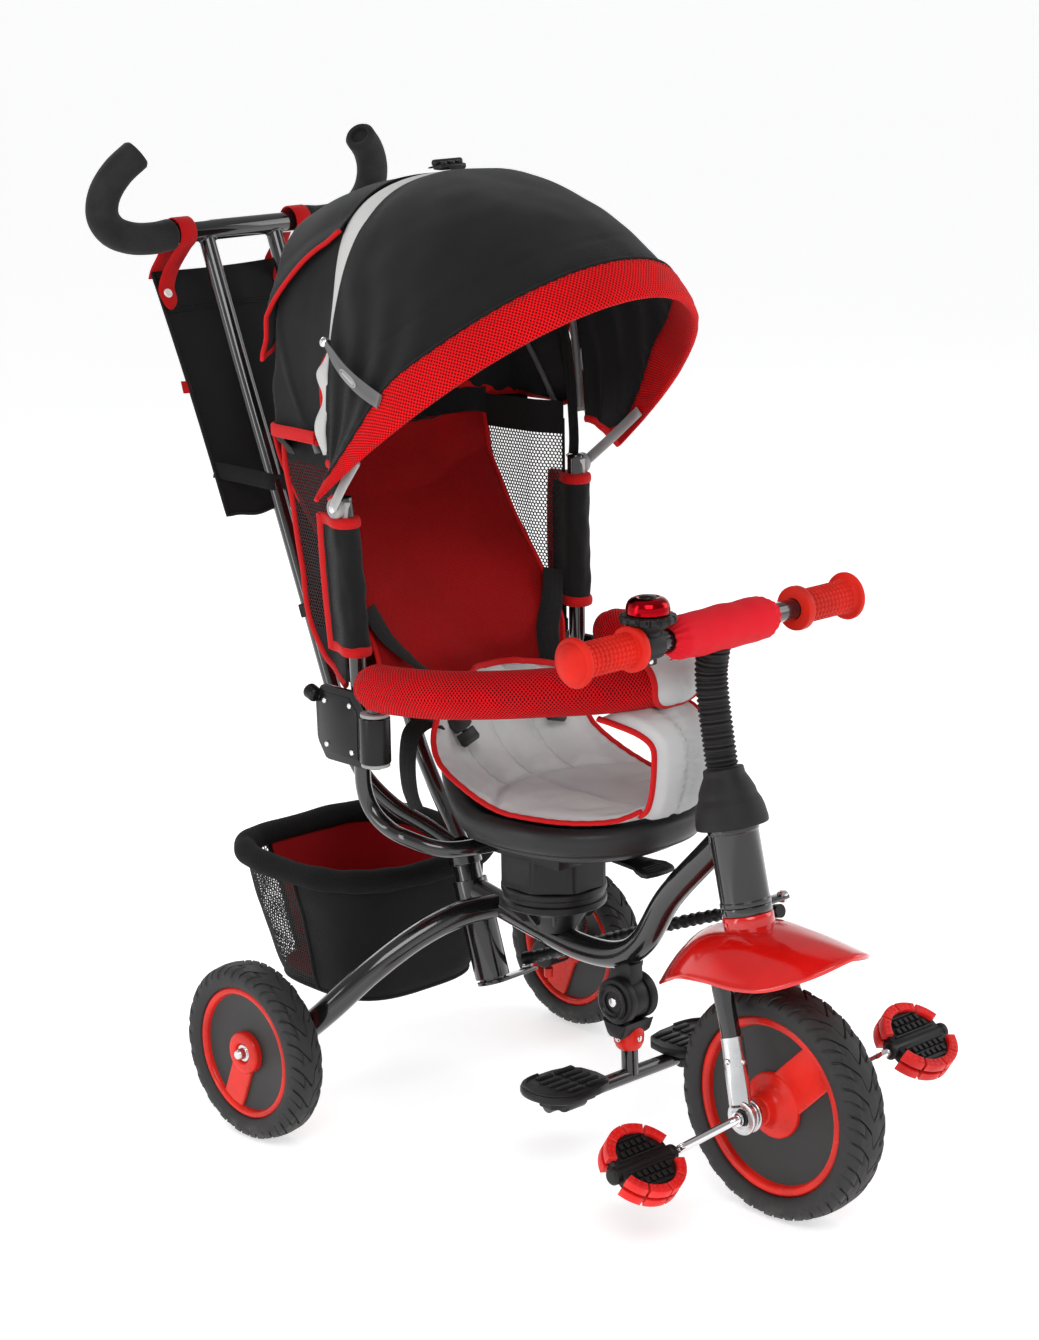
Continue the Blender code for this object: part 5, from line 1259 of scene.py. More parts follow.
# ------------------------------------------------------- soft piece helpers
def netting(name, region, place, body, cell=0.0050, open_=0.80, mat=None, replaces=(), box_=None, thick=0.0006):
    """Real open net: hexagonal cells cut in a thin sheet, kept where region(u, v) says."""
    (u0, v0), (u1, v1) = box_
    pts, faces, uvs, index = [], [], [], {}

    def vert(u, v):
        key = (round(u * 2e5), round(v * 2e5))
        if key not in index:
            index[key] = len(pts)
            pts.append(place(u, v))
        return index[key]

    row, v = 0, v0
    while v < v1:
        u = u0 + (cell / 2 if row % 2 else 0)
        while u < u1:
            if region(u, v):
                r = cell / sqrt(3)
                ring = [(u + r * cos(radians(60 * k + 30)), v + r * sin(radians(60 * k + 30))) for k in range(6)]
                inner = [(u + (a - u) * open_, v + (b - v) * open_) for a, b in ring]
                ro, ri = [vert(a, b) for a, b in ring], [vert(a, b) for a, b in inner]
                for k in range(6):
                    j = (k + 1) % 6
                    faces.append([ro[k], ro[j], ri[j], ri[k]])
                    uvs.append([ring[k], ring[j], inner[j], inner[k]])
            u += cell
        v += cell * sqrt(3) / 2
        row += 1
    sh = Shape()
    sh.points, sh.faces, sh.uvs = pts, faces, uvs
    return make(name, sh, mat or NET, body, replaces, thick=thick, offset=0.0, angle=80)


def inflate(ob, pinned, pressure=3.0, frames=16, cap=0.006, stiff=12.0, sewn=0.0):
    """Fills a closed cloth piece with Blender's cloth solver while its seams stay sewn down."""
    rest = [v.co.copy() for v in ob.data.vertices]
    group = ob.vertex_groups.new(name="seams")
    for i, p in enumerate(rest):
        w = pinned(p - SHIFT, i)
        if w > 0:
            group.add([i], w, "REPLACE")
    mod = ob.modifiers.new("cloth", "CLOTH")
    st = mod.settings
    st.quality = 5
    st.mass = 0.15
    st.tension_stiffness = st.compression_stiffness = st.shear_stiffness = stiff
    st.bending_stiffness = 0.4
    st.use_pressure = True
    st.uniform_pressure_force = pressure
    st.vertex_group_mass = "seams"
    st.effector_weights.gravity = 0.0
    mod.collision_settings.use_collision = False
    mod.point_cache.frame_start, mod.point_cache.frame_end = 1, frames
    scene = bpy.context.scene
    for f in range(1, frames + 1):
        scene.frame_set(f)
    bpy.context.view_layer.update()
    done = ob.evaluated_get(bpy.context.evaluated_depsgraph_get())
    moved = [v.co.copy() for v in done.data.vertices]
    ob.modifiers.remove(mod)
    if len(moved) == len(rest):
        for v, a, b in zip(ob.data.vertices, rest, moved):
            d = b - a
            if d.length > cap:
                d = d * (cap / d.length)
            v.co = a + d
    ob.data.update()
    scene.frame_set(1)


# -------------------------------------------------------------- push handle
def horn_path():
    return [(0.0985, 0.8593, 0.9790), (0.1250, 0.8590, 0.9765), (0.1560, 0.8588, 0.9790),
            (0.1830, 0.8580, 0.9890), (0.1985, 0.8550, 1.0080), (0.1990, 0.8480, 1.0330),
            (0.1860, 0.8390, 1.0570), (0.1640, 0.8300, 1.0770)]


def push_handle():
    b = "push_handle"
    back = Vector((0, SHAFT_AXIS.z, -SHAFT_AXIS.y))
    shaft = lathe(rounded([(0, -0.0645), (0.0156, -0.0645), (0.0156, 0.0750), (0, 0.0750)], 0.0008, 2), SHAFT, SHAFT_AXIS, 48)
    plate_c = SHAFT + SHAFT_AXIS * -0.0635
    outline = []
    for cx, r, a0, a1 in ((0.055, 0.0115, -90, 90), (0.0, 0.0190, 90, 270)):
        for k in range(17):
            a = radians(lerp(a0, a1, k / 16))
            outline.append((cx + r * cos(a), r * sin(a)))
    shaft.join(slab(outline, -0.0020, 0.0020, lambda x, y, h: plate_c + Vector((x, 0, 0)) + back * y + SHAFT_AXIS * h, 0.0006))
    make("push_column", shaft, PAINT, b, "push_shaft", angle=35)
    nut = lathe(rounded([(0, 0.0), (0.0062, 0.0), (0.0062, 0.0045), (0, 0.0052)], 0.0008, 2), plate_c + Vector((0.055, 0, 0)) + SHAFT_AXIS * 0.0020, SHAFT_AXIS, 6)
    make("lever_nut", nut, SILVER, b, angle=30)
    tubes = Shape()
    for s in (1, -1):
        path = spline(sided(s, [(0.050, 0.8600, 0.9775), (0.050, 0.8030, 0.8328), (0.050, 0.7542, 0.7150),
                                (0.050, 0.6770, 0.5265), (0.050, 0.6350, 0.4260), (0.048, 0.6090, 0.3760),
                                (0.036, 0.5700, 0.3400), (0.018, 0.5280, 0.3170), (0.006, 0.4990, 0.3000)]), 96)
        tubes.join(sweep(path, 0.0095, 28))
    tubes.join(lathe(rounded([(0.0158, 0.0745), (0.0185, 0.0745), (0.0190, 0.0760), (0.0190, 0.0985), (0.0182, 0.1000), (0.0, 0.1000)], 0.0010, 2)[:-1] + [(0.0158, 0.1000)],
                     SHAFT, SHAFT_AXIS, 56))
    tubes.join(lathe(rounded([(0, -0.1000), (0.0120, -0.1000), (0.0120, 0.1000), (0, 0.1000)], 0.0008, 2), (0, 0.8595, 0.9790), X_AXIS, 48))
    make("push_tubes", tubes, PAINT, b, "push_frame", angle=35)
    beads = Shape()
    for s in (1, -1):
        t = Vector((0, 0.8600 - 0.8030, 0.9775 - 0.8328)).normalized()
        c = Vector((s * 0.050, 0.8595, 0.9790)) - t * 0.0118
        u, v, w = frame_of(t)
        rows = []
        for k in range(32):
            a = 2 * pi * k / 32
            p = c + (u * cos(a) + v * sin(a)) * 0.0102
            d = (p - Vector((p.x, 0.8595, 0.9790)))
            d = d.normalized()
            p = Vector((p.x, 0.8595, 0.9790)) + d * 0.0122
            rr = 0.0015 + 0.0003 * (k % 2)
            e = (u * cos(a) + v * sin(a))
            rows.append([p + e * (rr * cos(2 * pi * j / 6)) + t * (rr * sin(2 * pi * j / 6)) for j in range(6)])
        beads.join(Shape().grid(rows, wrap=True, loop=True))
    make("push_welds", beads, PAINT, b, angle=70)
    # clamp band low on the twin tubes
    band = ribbon([(-0.066, 0.6880, 0.5540), (-0.060, 0.6780, 0.5580), (0.060, 0.6780, 0.5580), (0.066, 0.6880, 0.5540)], 0.016, 0.0030, (0, 0.38, 0.92))
    make("push_brace", band, PLASTIC, b, angle=40)
    for side, s in (("left", 1), ("right", -1)):
        path = spline(sided(s, horn_path()), 64)
        n = len(path)
        radii = []
        for i in range(n):
            t = i / (n - 1)
            r = 0.0182 + 0.0004 * sin(pi * t)
            r -= 0.0030 * (1 - smooth(t / 0.018)) + 0.0022 * smooth((t - 0.985) / 0.015)
            radii.append(r)
        foam = sweep(path, radii, 40, up=(0, 1, 0), ends=False, section=lambda i, a: 1 + 0.006 * sin(3 * a + i * 0.11))
        # turned-in end with a deep centre hole, as foam tube has
        tip = path[-1]
        t = (path[-1] - path[-3]).normalized()
        ob = make("push_foam_" + side, foam, FOAM, b, "push_grip_" + side, angle=60)
        make("push_foam_end_" + side, lathe([(0, -0.0068), (0.0098, -0.0066), (0.0104, -0.0058), (0.0106, -0.0012), (0.0112, 0.0004), (0.0132, 0.0012), (0.0152, 0.0008), (0.0166, -0.0006), (0.0150, -0.0080), (0, -0.0085)],
                                                     tip, t, 44), FOAM, b, angle=60)
    snap_straps()
    bag()


def snap_straps():
    for side, s in (("left", 1), ("right", -1)):
        x = s * 0.086
        loop = [(0.8823, 0.8880), (0.8850, 0.9000), (0.8905, 0.9130), (0.8800, 0.9350), (0.8570, 0.9600), (0.8452, 0.9700), (0.8425, 0.9800), (0.8465, 0.9905), (0.8560, 0.9965),
                (0.8670, 0.9950), (0.8750, 0.9860), (0.8780, 0.9720), (0.8900, 0.9520), (0.9040, 0.9350), (0.9095, 0.9230)]
        path = spline([(x, y, z) for y, z in loop], 70)
        n = len(path)
        taper = [sqrt(max(1 - (1 - min(i / 6.0, 1)) ** 2, 0.02)) for i in range(n)]
        sh = ribbon(path, 0.0235, 0.0021, X_AXIS, taper)
        make("snap_strap_" + side, sh, STRAP_RED, "push_handle", angle=60)
        p = path[6]
        nrm = (path[7] - path[5]).cross(X_AXIS).normalized()
        if nrm.y > 0:
            nrm = -nrm
        cap = lathe(rounded([(0, 0.0006), (0.0056, 0.0006), (0.0058, 0.0016), (0.0048, 0.0030), (0.0036, 0.0032), (0.0030, 0.0026), (0, 0.0026)], 0.0004, 2), p, nrm, 32)
        make("snap_button_" + side, cap, WHITE_SNAP, "push_handle")


def bag():
    """Slack flat pouch: two faces sewn at the edges, filled a little and sagging to its foot."""
    n_t, n_u = 44, 30
    down = Vector((0, -0.404, -0.9147))
    nrm = Vector((0, 0.9147, -0.4040))

    def face(u, t, front):
        hw = lerp(0.0945, 0.0905, t) * (1 - 0.025 * sin(pi * t))
        base = Vector((u * hw, lerp(0.9060, 0.7850, t), lerp(0.9300, 0.6560, t)))
        edge = (1 - abs(u) ** 4) * (1 - abs(2 * t - 1) ** 10)
        belly = 0.0120 * sin(pi * min(t * 0.62 + 0.30, 1.0)) * (0.4 + 0.6 * t)
        fold = 0.0014 * sin(u * 5.5 + t * 7) * sin(pi * t) + 0.0010 * sin(t * 31 + u * 3.0) * smooth((t - 0.75) / 0.2)
        fold += wob((u * 0.1, t * 0.3, 0.2 if front else 0.9), 26, 0.0026, 1.7) * edge
        out = (0.0007 + edge * (0.0028 if front else 0.0052) + belly * edge * (0.22 if front else 1.0))
        base += nrm * (-out if front else out) + nrm * (fold * edge)
        base += Vector((0, 0, -0.0025 * (1 - u * u) * smooth((0.12 - t) / 0.12)))
        base += down * (0.0020 * sin(u * 9) * smooth((t - 0.93) / 0.07))
        return base

    rows = []
    for i in range(n_t + 1):
        t = i / n_t
        front = [face(lerp(-1, 1, j / n_u), t, True) for j in range(n_u + 1)]
        rear = [face(lerp(1, -1, j / n_u), t, False) for j in range(n_u + 1)]
        rows.append(front + rear)
    ob = make("pouch", Shape().grid(rows, wrap=True, ends=True), CANVAS_BAG, "push_handle", "handle_bag", angle=60)
    rim = []
    for k in range(31):
        rim.append(face(-1, k / 30, True) - Vector((0.0006, 0, 0)))
    for k in range(1, 30):
        rim.append(face(lerp(-1, 1, k / 30), 1, True) + down * 0.0006)
    for k in range(31):
        rim.append(face(1, 1 - k / 30, True) + Vector((0.0006, 0, 0)))
    make("pouch_piping", sweep(rim, 0.0019, 10), WEBBING, "push_handle", angle=60)
    hem = sweep([face(lerp(-1, 1, k / 40), 0.0, True) + nrm * 0.0008 for k in range(41)], 0.0026, 10, flat=(1.0, 0.8))
    make("pouch_top_hem", hem, CANVAS_BAG, "push_handle", angle=60)
    # flap over the mouth with rows of stitching
    rows = []
    for i in range(13):
        t = i / 12 * 0.17
        rows.append([face(lerp(-0.965, 0.965, j / 28), t, True) - nrm * (0.0016 + 0.0008 * sin(j * 0.8)) for j in range(29)])
    back = [[p - nrm * -0.0012 for p in row] for row in rows]
    flap = Shape().grid([a + b[::-1] for a, b in zip(rows, back)], wrap=True, ends=True)
    make("pouch_flap", flap, CANVAS_BAG, "push_handle", angle=50)
    stitch = Shape()
    for t in (0.150, 0.160):
        for k in range(34):
            a, b = lerp(-0.95, 0.95, k / 34), lerp(-0.95, 0.95, (k + 0.6) / 34)
            stitch.join(sweep([face(a, t, True) - nrm * 0.0031, face(b, t, True) - nrm * 0.0031], 0.00045, 6))
    make("pouch_stitches", stitch, WEBBING, "push_handle", angle=80)
    # strap that ties the pouch to both tubes
    loop = [(-0.0890, 0.8090, 0.7080), (-0.0780, 0.7900, 0.7050), (-0.0640, 0.7580, 0.7000), (-0.0580, 0.7420, 0.6975), (-0.0450, 0.7368, 0.6965), (0.0, 0.7362, 0.6965),
            (0.0450, 0.7368, 0.6965), (0.0580, 0.7420, 0.6975), (0.0640, 0.7580, 0.7000), (0.0780, 0.7900, 0.7050), (0.0890, 0.8090, 0.7080)]
    make("pouch_tie", ribbon(spline(loop, 60), 0.0190, 0.0017, (0, 0.35, 0.93)), WEBBING, "push_handle", angle=60)
    # small red side label, left blank
    tab = ribbon([face(-0.995, 0.47, True) + Vector((0.001, 0, 0)), face(-0.995, 0.47, True) + Vector((-0.006, 0, 0)), face(-0.995, 0.47, True) + Vector((-0.011, 0, 0.0005))], 0.0150, 0.0012, down)
    make("pouch_tab", tab, STRAP_RED, "push_handle", angle=50)


# ------------------------------------------------------------------- basket
def basket():
    cy, r = 0.662, 0.0135
    hw, hl, z = 0.124, 0.126, 0.2625
    m = 144

    def ring(a, w, l, zz, c, tip=0.0, power=3.2):
        x = w * abs(cos(a)) ** (2 / power) * (1 if cos(a) >= 0 else -1)
        y = l * abs(sin(a)) ** (2 / power) * (1 if sin(a) >= 0 else -1)
        return Vector((x, c + y, zz + tip * y))

    def wall(t, a, inset=0.0):
        """t 0 at the floor edge, 1 under the rim."""
        w = lerp(0.098, hw - 0.001, t ** 0.65) - inset
        l = lerp(0.092, hl - 0.001, t ** 0.65) - inset
        c = lerp(cy - 0.016, cy, t)
        zz = lerp(0.1145, z - 0.010, t)
        p = ring(a, w, l, zz, c, 0.02 * (1 - t))
        sag = (1 - abs(cos(2 * a)) ** 3 * 0.0) * sin(pi * t)
        corner = abs(sin(2 * a)) ** 2
        d = Vector((p.x, p.y - c, 0)).normalized()
        off = -0.0030 * sag * (1 - corner) + 0.0010 * sin(a * 9 + t * 4) * sag + wob((cos(a) * 0.1, sin(a) * 0.1, t * 0.15), 24, 0.0032, 5.0) * sag
        return p + d * off

    # outer wall with a net window at one rear corner, left open here
    sh = Shape()
    n_t = 22
    spans = [(182, 463)]
    for a0, a1 in spans:
        cols = max(int((a1 - a0) / 2.2), 6)
        rows = [[wall(i / n_t, radians(lerp(a0, a1, j / cols))) for j in range(cols + 1)] for i in range(n_t + 1)]
        inner = [[wall(i / n_t, radians(lerp(a0, a1, j / cols)), 0.0016) for j in range(cols + 1)] for i in range(n_t + 1)]
        sh.join(Shape().grid([x + y[::-1] for x, y in zip(rows, inner)], wrap=True, ends=True))
    floor = [[wall(0, 2 * pi * k / m) * 1.0 for k in range(m)]]
    c0 = Vector((0, cy - 0.016, 0.1150))
    for g in (0.93, 0.6, 0.25, 0.02):
        floor.append([c0 + (p - c0) * g + Vector((0, 0, -0.0010 * (1 - g) - 0.0006)) for p in floor[0]])
    top = [[p + Vector((0, 0, 0.0035)) for p in row] for row in floor[::-1]]
    sh.join(Shape().grid(floor + top, wrap=True, loop=True))
    ob = make("bin_cloth", sh, CANVAS_BAG, "frame", "basket", angle=50)
    # lining seen from above
    spans = [(182, 463)]
    lin = Shape()
    for a0, a1 in spans:
        cols = max(int((a1 - a0) / 3), 6)
        rows = [[wall(0.04 + 0.96 * i / 14, radians(lerp(a0, a1, j / cols)), 0.0034) for j in range(cols + 1)] for i in range(15)]
        inner = [[wall(0.04 + 0.96 * i / 14, radians(lerp(a0, a1, j / cols)), 0.0046) for j in range(cols + 1)] for i in range(15)]
        lin.join(Shape().grid([x + y[::-1] for x, y in zip(rows, inner)], wrap=True, ends=True))
    base = [[c0 + (wall(0.04, 2 * pi * k / m, 0.004) - c0) * g for k in range(m)] for g in (1.0, 0.6, 0.2, 0.02)]
    base2 = [[p + Vector((0, 0, 0.0012)) for p in row] for row in base[::-1]]
    lin.join(Shape().grid(base + base2, wrap=True, loop=True).move(Matrix.Translation((0, 0, 0.004))))
    ob = make("bin_lining", lin, RED_LINING, "frame", angle=50)
    # net window round the rear corner, cells laid out by length along the wall
    turns = [radians(lerp(102.5, 182.5, k / 200)) for k in range(201)]
    run = [0.0]
    for a, b in zip(turns, turns[1:]):
        run.append(run[-1] + (wall(0.7, b) - wall(0.7, a)).length)

    def place(u, v):
        t = min(max(v / 0.145, 0), 1.0)
        u = min(max(u, 0.0), run[-1])
        k = 0
        while k < 199 and run[k + 1] < u:
            k += 1
        return wall(t, turns[k], 0.0006).lerp(wall(t, turns[k + 1], 0.0006), (u - run[k]) / max(run[k + 1] - run[k], 1e-9))

    netting("bin_net", lambda u, v: 0.0 < u < run[-1] and 0.0 < v < 0.142, place, "frame", 0.0042, 0.74, NET,
            box_=((0, 0.0), (run[-1], 0.145)), thick=0.0007)
    # bound edges beside the nets and round the foot
    tape = Shape()
    for deg in (103, 182):
        path = [wall(i / 24, radians(deg)) + Vector((cos(radians(deg)), sin(radians(deg)), 0)) * 0.0006 for i in range(25)]
        tape.join(sweep(path, 0.0024, 10, flat=(1, 1)))
    foot = [wall(0, 2 * pi * k / 120) + Vector((0, 0, -0.0004)) for k in range(120)]
    rows = []
    for k in range(120):
        t = (foot[(k + 1) % 120] - foot[k - 1]).normalized()
        s1 = t.cross(Z_AXIS).normalized()
        rows.append([foot[k] + s1 * (0.0024 * cos(2 * pi * j / 10)) + Z_AXIS * (0.0024 * sin(2 * pi * j / 10)) for j in range(10)])
    tape.join(Shape().grid(rows, wrap=True, loop=True))
    make("bin_piping", tape, WEBBING, "frame", angle=60)
    # fat rolled rim in spacer mesh
    rows = []
    for k in range(m):
        a = 2 * pi * k / m
        c = ring(a, hw, hl, z, cy)
        c2 = ring(a + 0.01, hw, hl, z, cy)
        t = (c2 - c).normalized()
        s1 = t.cross(Z_AXIS).normalized()
        rr = 0.0137 + 0.0007 * sin(a * 15) * 0.6 + wob((cos(a), sin(a), 0), 3.0, 0.0009, 2.0)
        drop = 0.0022 * (1 - abs(sin(2 * a)))
        rows.append([c - Vector((0, 0, drop)) + s1 * (rr * cos(2 * pi * j / 30)) + Z_AXIS * (rr * sin(2 * pi * j / 30)) for j in range(30)])
    ob = make("bin_rim", Shape().grid(rows, wrap=True, loop=True), AIR_BLACK, "frame", angle=60)
    tab = ribbon([ring(radians(285), hw, hl, z + 0.0146, cy), ring(radians(285), hw - 0.012, hl - 0.014, z + 0.006, cy), ring(radians(285), hw - 0.014, hl - 0.017, z - 0.010, cy)], 0.012, 0.001, X_AXIS)
    make("bin_tab", tab, STRAP_RED, "frame", angle=50)


push_handle()
basket()


# --------------------------------------------------------------------- seat
def rise(y, amount=0.055):
    return amount * smooth((y - 0.330) / 0.125)


def seat_ring(hw, hl, z, share=1.0, extra=0.0, count=120, power=2.3):
    ring = []
    for k in range(count):
        a = 2 * pi * k / count
        x = hw * abs(cos(a)) ** (2 / power) * (1 if cos(a) >= 0 else -1)
        y = SEAT_C + hl * abs(sin(a)) ** (2 / power) * (1 if sin(a) >= 0 else -1)
        ring.append(Vector((x, y, z + rise(y) * share + rise(y, extra))))
    return ring


def bind(name, path, body, r=0.0032, mat=None, closed=False, flat=(1.0, 0.75)):
    """Folded binding tape over a cloth edge."""
    if not closed:
        return make(name, sweep(path, r, 14, flat=flat, round_ends=0.0006), mat or TAPE_RED, body, angle=70)
    rows, n = [], len(path)
    for k in range(n):
        t = (path[(k + 1) % n] - path[k - 1]).normalized()
        s1 = t.cross(Z_AXIS)
        s1 = s1.normalized() if s1.length > 1e-5 else X_AXIS
        s2 = s1.cross(t).normalized()
        rows.append([path[k] + s1 * (r * flat[0] * cos(2 * pi * j / 14)) + s2 * (r * flat[1] * sin(2 * pi * j / 14)) for j in range(14)])
    return make(name, Shape().grid(rows, wrap=True, loop=True), mat or TAPE_RED, body, angle=70)


LINER = spline([(0.0440, 0.1600, 0.4130), (0.0700, 0.1780, 0.4035), (0.0980, 0.2150, 0.4000), (0.1150, 0.2600, 0.3995), (0.1215, 0.3100, 0.3995), (0.1215, 0.3550, 0.4030),
                (0.1200, 0.3950, 0.4150), (0.1150, 0.4260, 0.4380), (0.1060, 0.4390, 0.4640), (0.0920, 0.4440, 0.4880), (0.0660, 0.4465, 0.5080), (0.0340, 0.4475, 0.5190)], 91)
LINER_RUN = [0.0]
for _a, _b in zip(LINER, LINER[1:]):
    LINER_RUN.append(LINER_RUN[-1] + hypot(_b.y - _a.y, _b.z - _a.z))


def liner_seam(u):
    """Row share where the seat meets the back, an arc across the width."""
    return 0.56 - 0.16 * u * u


def liner_channels(u, i):
    """How close a point is to a sewn line, 0 on it and 1 well away."""
    t = i / 90
    s = liner_seam(u)
    near = abs(t - s) / 0.035
    if t > s - 0.005:
        spread = smooth((t - s) / 0.3)
        for c in (-0.80, -0.42, 0.0, 0.42, 0.80):
            near = min(near, abs(u - c * (1 + 0.16 * spread)) / 0.13)
    else:
        near = min(near, abs(u) / 0.10)
    return min(near, (1 - abs(u)) / 0.16, max((1 - t) / 0.05, 0), 1.0)


def liner_point(u, i, side):
    p = LINER[i]
    t = i / 90
    hw = p.x
    y, z = p.y, p.z
    lift = (0.004 + 0.016 * smooth((t - 0.35) / 0.25) + 0.008 * smooth((t - 0.55) / 0.15)) * (1 - 0.9 * smooth((t - 0.72) / 0.28))
    wrap = 0.030 * smooth((t - 0.60) / 0.2) * (1 - 0.4 * smooth((t - 0.9) / 0.1))
    dish = abs(u) ** 2.2
    base = Vector((u * hw * (1 - 0.02 * dish), y - wrap * dish, z + lift * dish))
    a, b = LINER[max(i - 1, 0)], LINER[min(i + 1, 90)]
    t3 = Vector((0, b.y - a.y, b.z - a.z)).normalized()
    nrm = X_AXIS.cross(t3).normalized()
    k = smooth(liner_channels(u, i))
    puff = (0.0008 + 0.0064 * k) if side > 0 else -0.0020
    pucker = (1 - k) * 0.0009 * sin(i * 1.9 + u * 6) * (0.25 + 0.75 * smooth((1 - abs(u)) / 0.06)) if side > 0 else 0
    flow = wob((u * 0.12, t * 0.35, 0), 34, 0.0022, 8.0) * k if side > 0 else 0
    return base + nrm * (puff + pucker + flow)


def liner():
    nu = 60
    rows = []
    for i in range(91):
        top = [liner_point(lerp(-1, 1, j / nu), i, 1) for j in range(nu + 1)]
        low = [liner_point(lerp(1, -1, j / nu), i, -1) for j in range(nu + 1)]
        rows.append(top + low)
    ob = make("seat_liner", Shape().grid(rows, wrap=True, ends=True), GREY, "seat", "seat_cushion", angle=80)

    def sewn(p, i):
        # the sewn lines, the rim and the underside stay where they are
        row, col = divmod(i, 2 * (nu + 1))
        return 1.0 if col > nu or smooth(liner_channels(lerp(-1, 1, col / nu), row)) < 0.12 else 0.0

    inflate(ob, sewn, pressure=2.2, frames=14, cap=0.0060, stiff=10.0)
    left = [liner_point(-1, i, 1) + Vector((-0.0004, 0, 0.0)) for i in range(91)]
    right = [liner_point(1, i, 1) + Vector((0.0004, 0, 0.0)) for i in range(90, -1, -1)]
    bind("seat_liner_binding", left + [liner_point(lerp(-0.9, 0.9, k / 12), 90, 1) + Vector((0, 0, 0.0008)) for k in range(13)] + right, "seat", 0.0036)
    # sewn thread sunk in the channels
    thread = Shape()
    for c in (-0.42, 0.0, 0.42):
        pts = []
        for i in range(int(liner_seam(c) * 90), 88):
            spread = smooth((i / 90 - liner_seam(c)) / 0.3)
            pts.append(liner_point(c * (1 + 0.16 * spread), i, 1) + Vector((0, -0.0002, 0.0003)))
        thread.join(sweep(pts, 0.0006, 6))
    thread.join(sweep([liner_point(0, i, 1) + Vector((0, 0, 0.0002)) for i in range(4, int(0.56 * 90))], 0.0006, 6))
    thread.join(sweep([liner_point(lerp(-0.93, 0.93, k / 40), min(int(round(liner_seam(lerp(-0.93, 0.93, k / 40)) * 90)), 90), 1) for k in range(41)], 0.0006, 6))
    make("seat_liner_thread", thread, GREY, "seat", angle=80)


PAD = spline([(0, 0.1640, 0.4110), (0, 0.1530, 0.4200), (0, 0.1455, 0.4400), (0, 0.1420, 0.4650), (0, 0.1420, 0.4880), (0, 0.1470, 0.5060), (0, 0.1580, 0.5165), (0, 0.1680, 0.5195)], 49)


def pad_point(u, i, side):
    p = PAD[i]
    a, b = PAD[max(i - 1, 0)], PAD[min(i + 1, 48)]
    nrm = (b - a).normalized().cross(X_AXIS).normalized()
    t = i / 48
    if nrm.y < 0:
        nrm = -nrm
    edge = smooth((1 - abs(u)) / 0.35)
    mid = smooth(abs(u) / 0.22)
    pucker = (1 - smooth(abs(u) / 0.5)) * 0.0014 * sin(i * 2.1) * smooth(abs(u) / 0.05)
    body_ = 0.0012 + 0.0058 * edge * (0.25 + 0.75 * mid)
    hw = 0.0430 + 0.0015 * sin(pi * t) + 0.0150 * smooth((t - 0.68) / 0.32)
    bow = 0.0035 * (1 - u * u)
    x = u * hw - 0.0200 * smooth((t - 0.62) / 0.38)
    q = p + Vector((x, 3.6 * x * x * smooth((t - 0.60) / 0.4), 0)) - nrm * bow
    q += nrm * (side * body_ * (0.55 if side > 0 else 0.8)) + nrm * (pucker * side)
    q += nrm * (wob((u * 0.05, t * 0.2, side), 45, 0.0014, 4.0) * edge)
    return q


def crotch_pad():
    nu = 36
    rows = []
    for i in range(49):
        rows.append([pad_point(lerp(-1, 1, j / nu), i, -1) for j in range(nu + 1)] + [pad_point(lerp(1, -1, j / nu), i, 1) for j in range(nu + 1)])
    ob = make("crotch_cushion", Shape().grid(rows, wrap=True, ends=True), GREY, "seat", "crotch_pad", angle=80)
    for side, u in (("right", -1), ("left", 1)):
        bind("crotch_binding_" + side, [(pad_point(u, i, 1) + pad_point(u, i, -1)) / 2 for i in range(49)], "seat", 0.0036)
    thread = Shape()
    for i in range(2, 46, 2):
        thread.join(sweep([pad_point(0, i, -1) + Vector((0, -0.0004, 0)), pad_point(0.004 * (-1) ** (i // 2), i + 1, -1) + Vector((0, -0.0006, 0))], 0.0007, 6))
    make("crotch_thread", thread, GREY, "seat", angle=80)
    # tongue that wraps over the middle of the safety bar
    c = Vector((0, 0.171, 0.55))
    rows_a, n = [], 40
    edge_l, edge_r = [], []
    for i in range(n + 1):
        t = i / n
        ang = radians(lerp(62, 236, t))
        hw = 0.0355
        if t > 0.70:
            k = (t - 0.70) / 0.30
            hw = 0.0355 * sqrt(max(1 - k * k * 0.96, 0.0))
        row_o, row_i = [], []
        for j in range(25):
            u = lerp(-1, 1, j / 24)
            puff = 0.0012 + 0.0026 * (1 - abs(u) ** 4) * (1 - (1 - smooth(abs(u) / 0.2)) * 0.55) * smooth(min(t, 1.0 - t) / 0.08)
            yc = c.y + 0.012 * min(abs(u * hw) / 0.045, 1) ** 2 * 0.7
            for lst, rr in ((row_o, 0.0272 + puff), (row_i, 0.0267)):
                lst.append(Vector((u * hw, yc + rr * cos(ang), c.z + rr * sin(ang))))
        rows_a.append(row_o + row_i[::-1])
        edge_l.append((row_o[0] + row_i[0]) / 2)
        edge_r.append((row_o[-1] + row_i[-1]) / 2)
    ob = make("bar_tongue", Shape().grid(rows_a, wrap=True, ends=True), GREY, "bar_right", angle=80)
    bind("bar_tongue_binding", edge_l + edge_r[::-1], "bar_right", 0.0040)


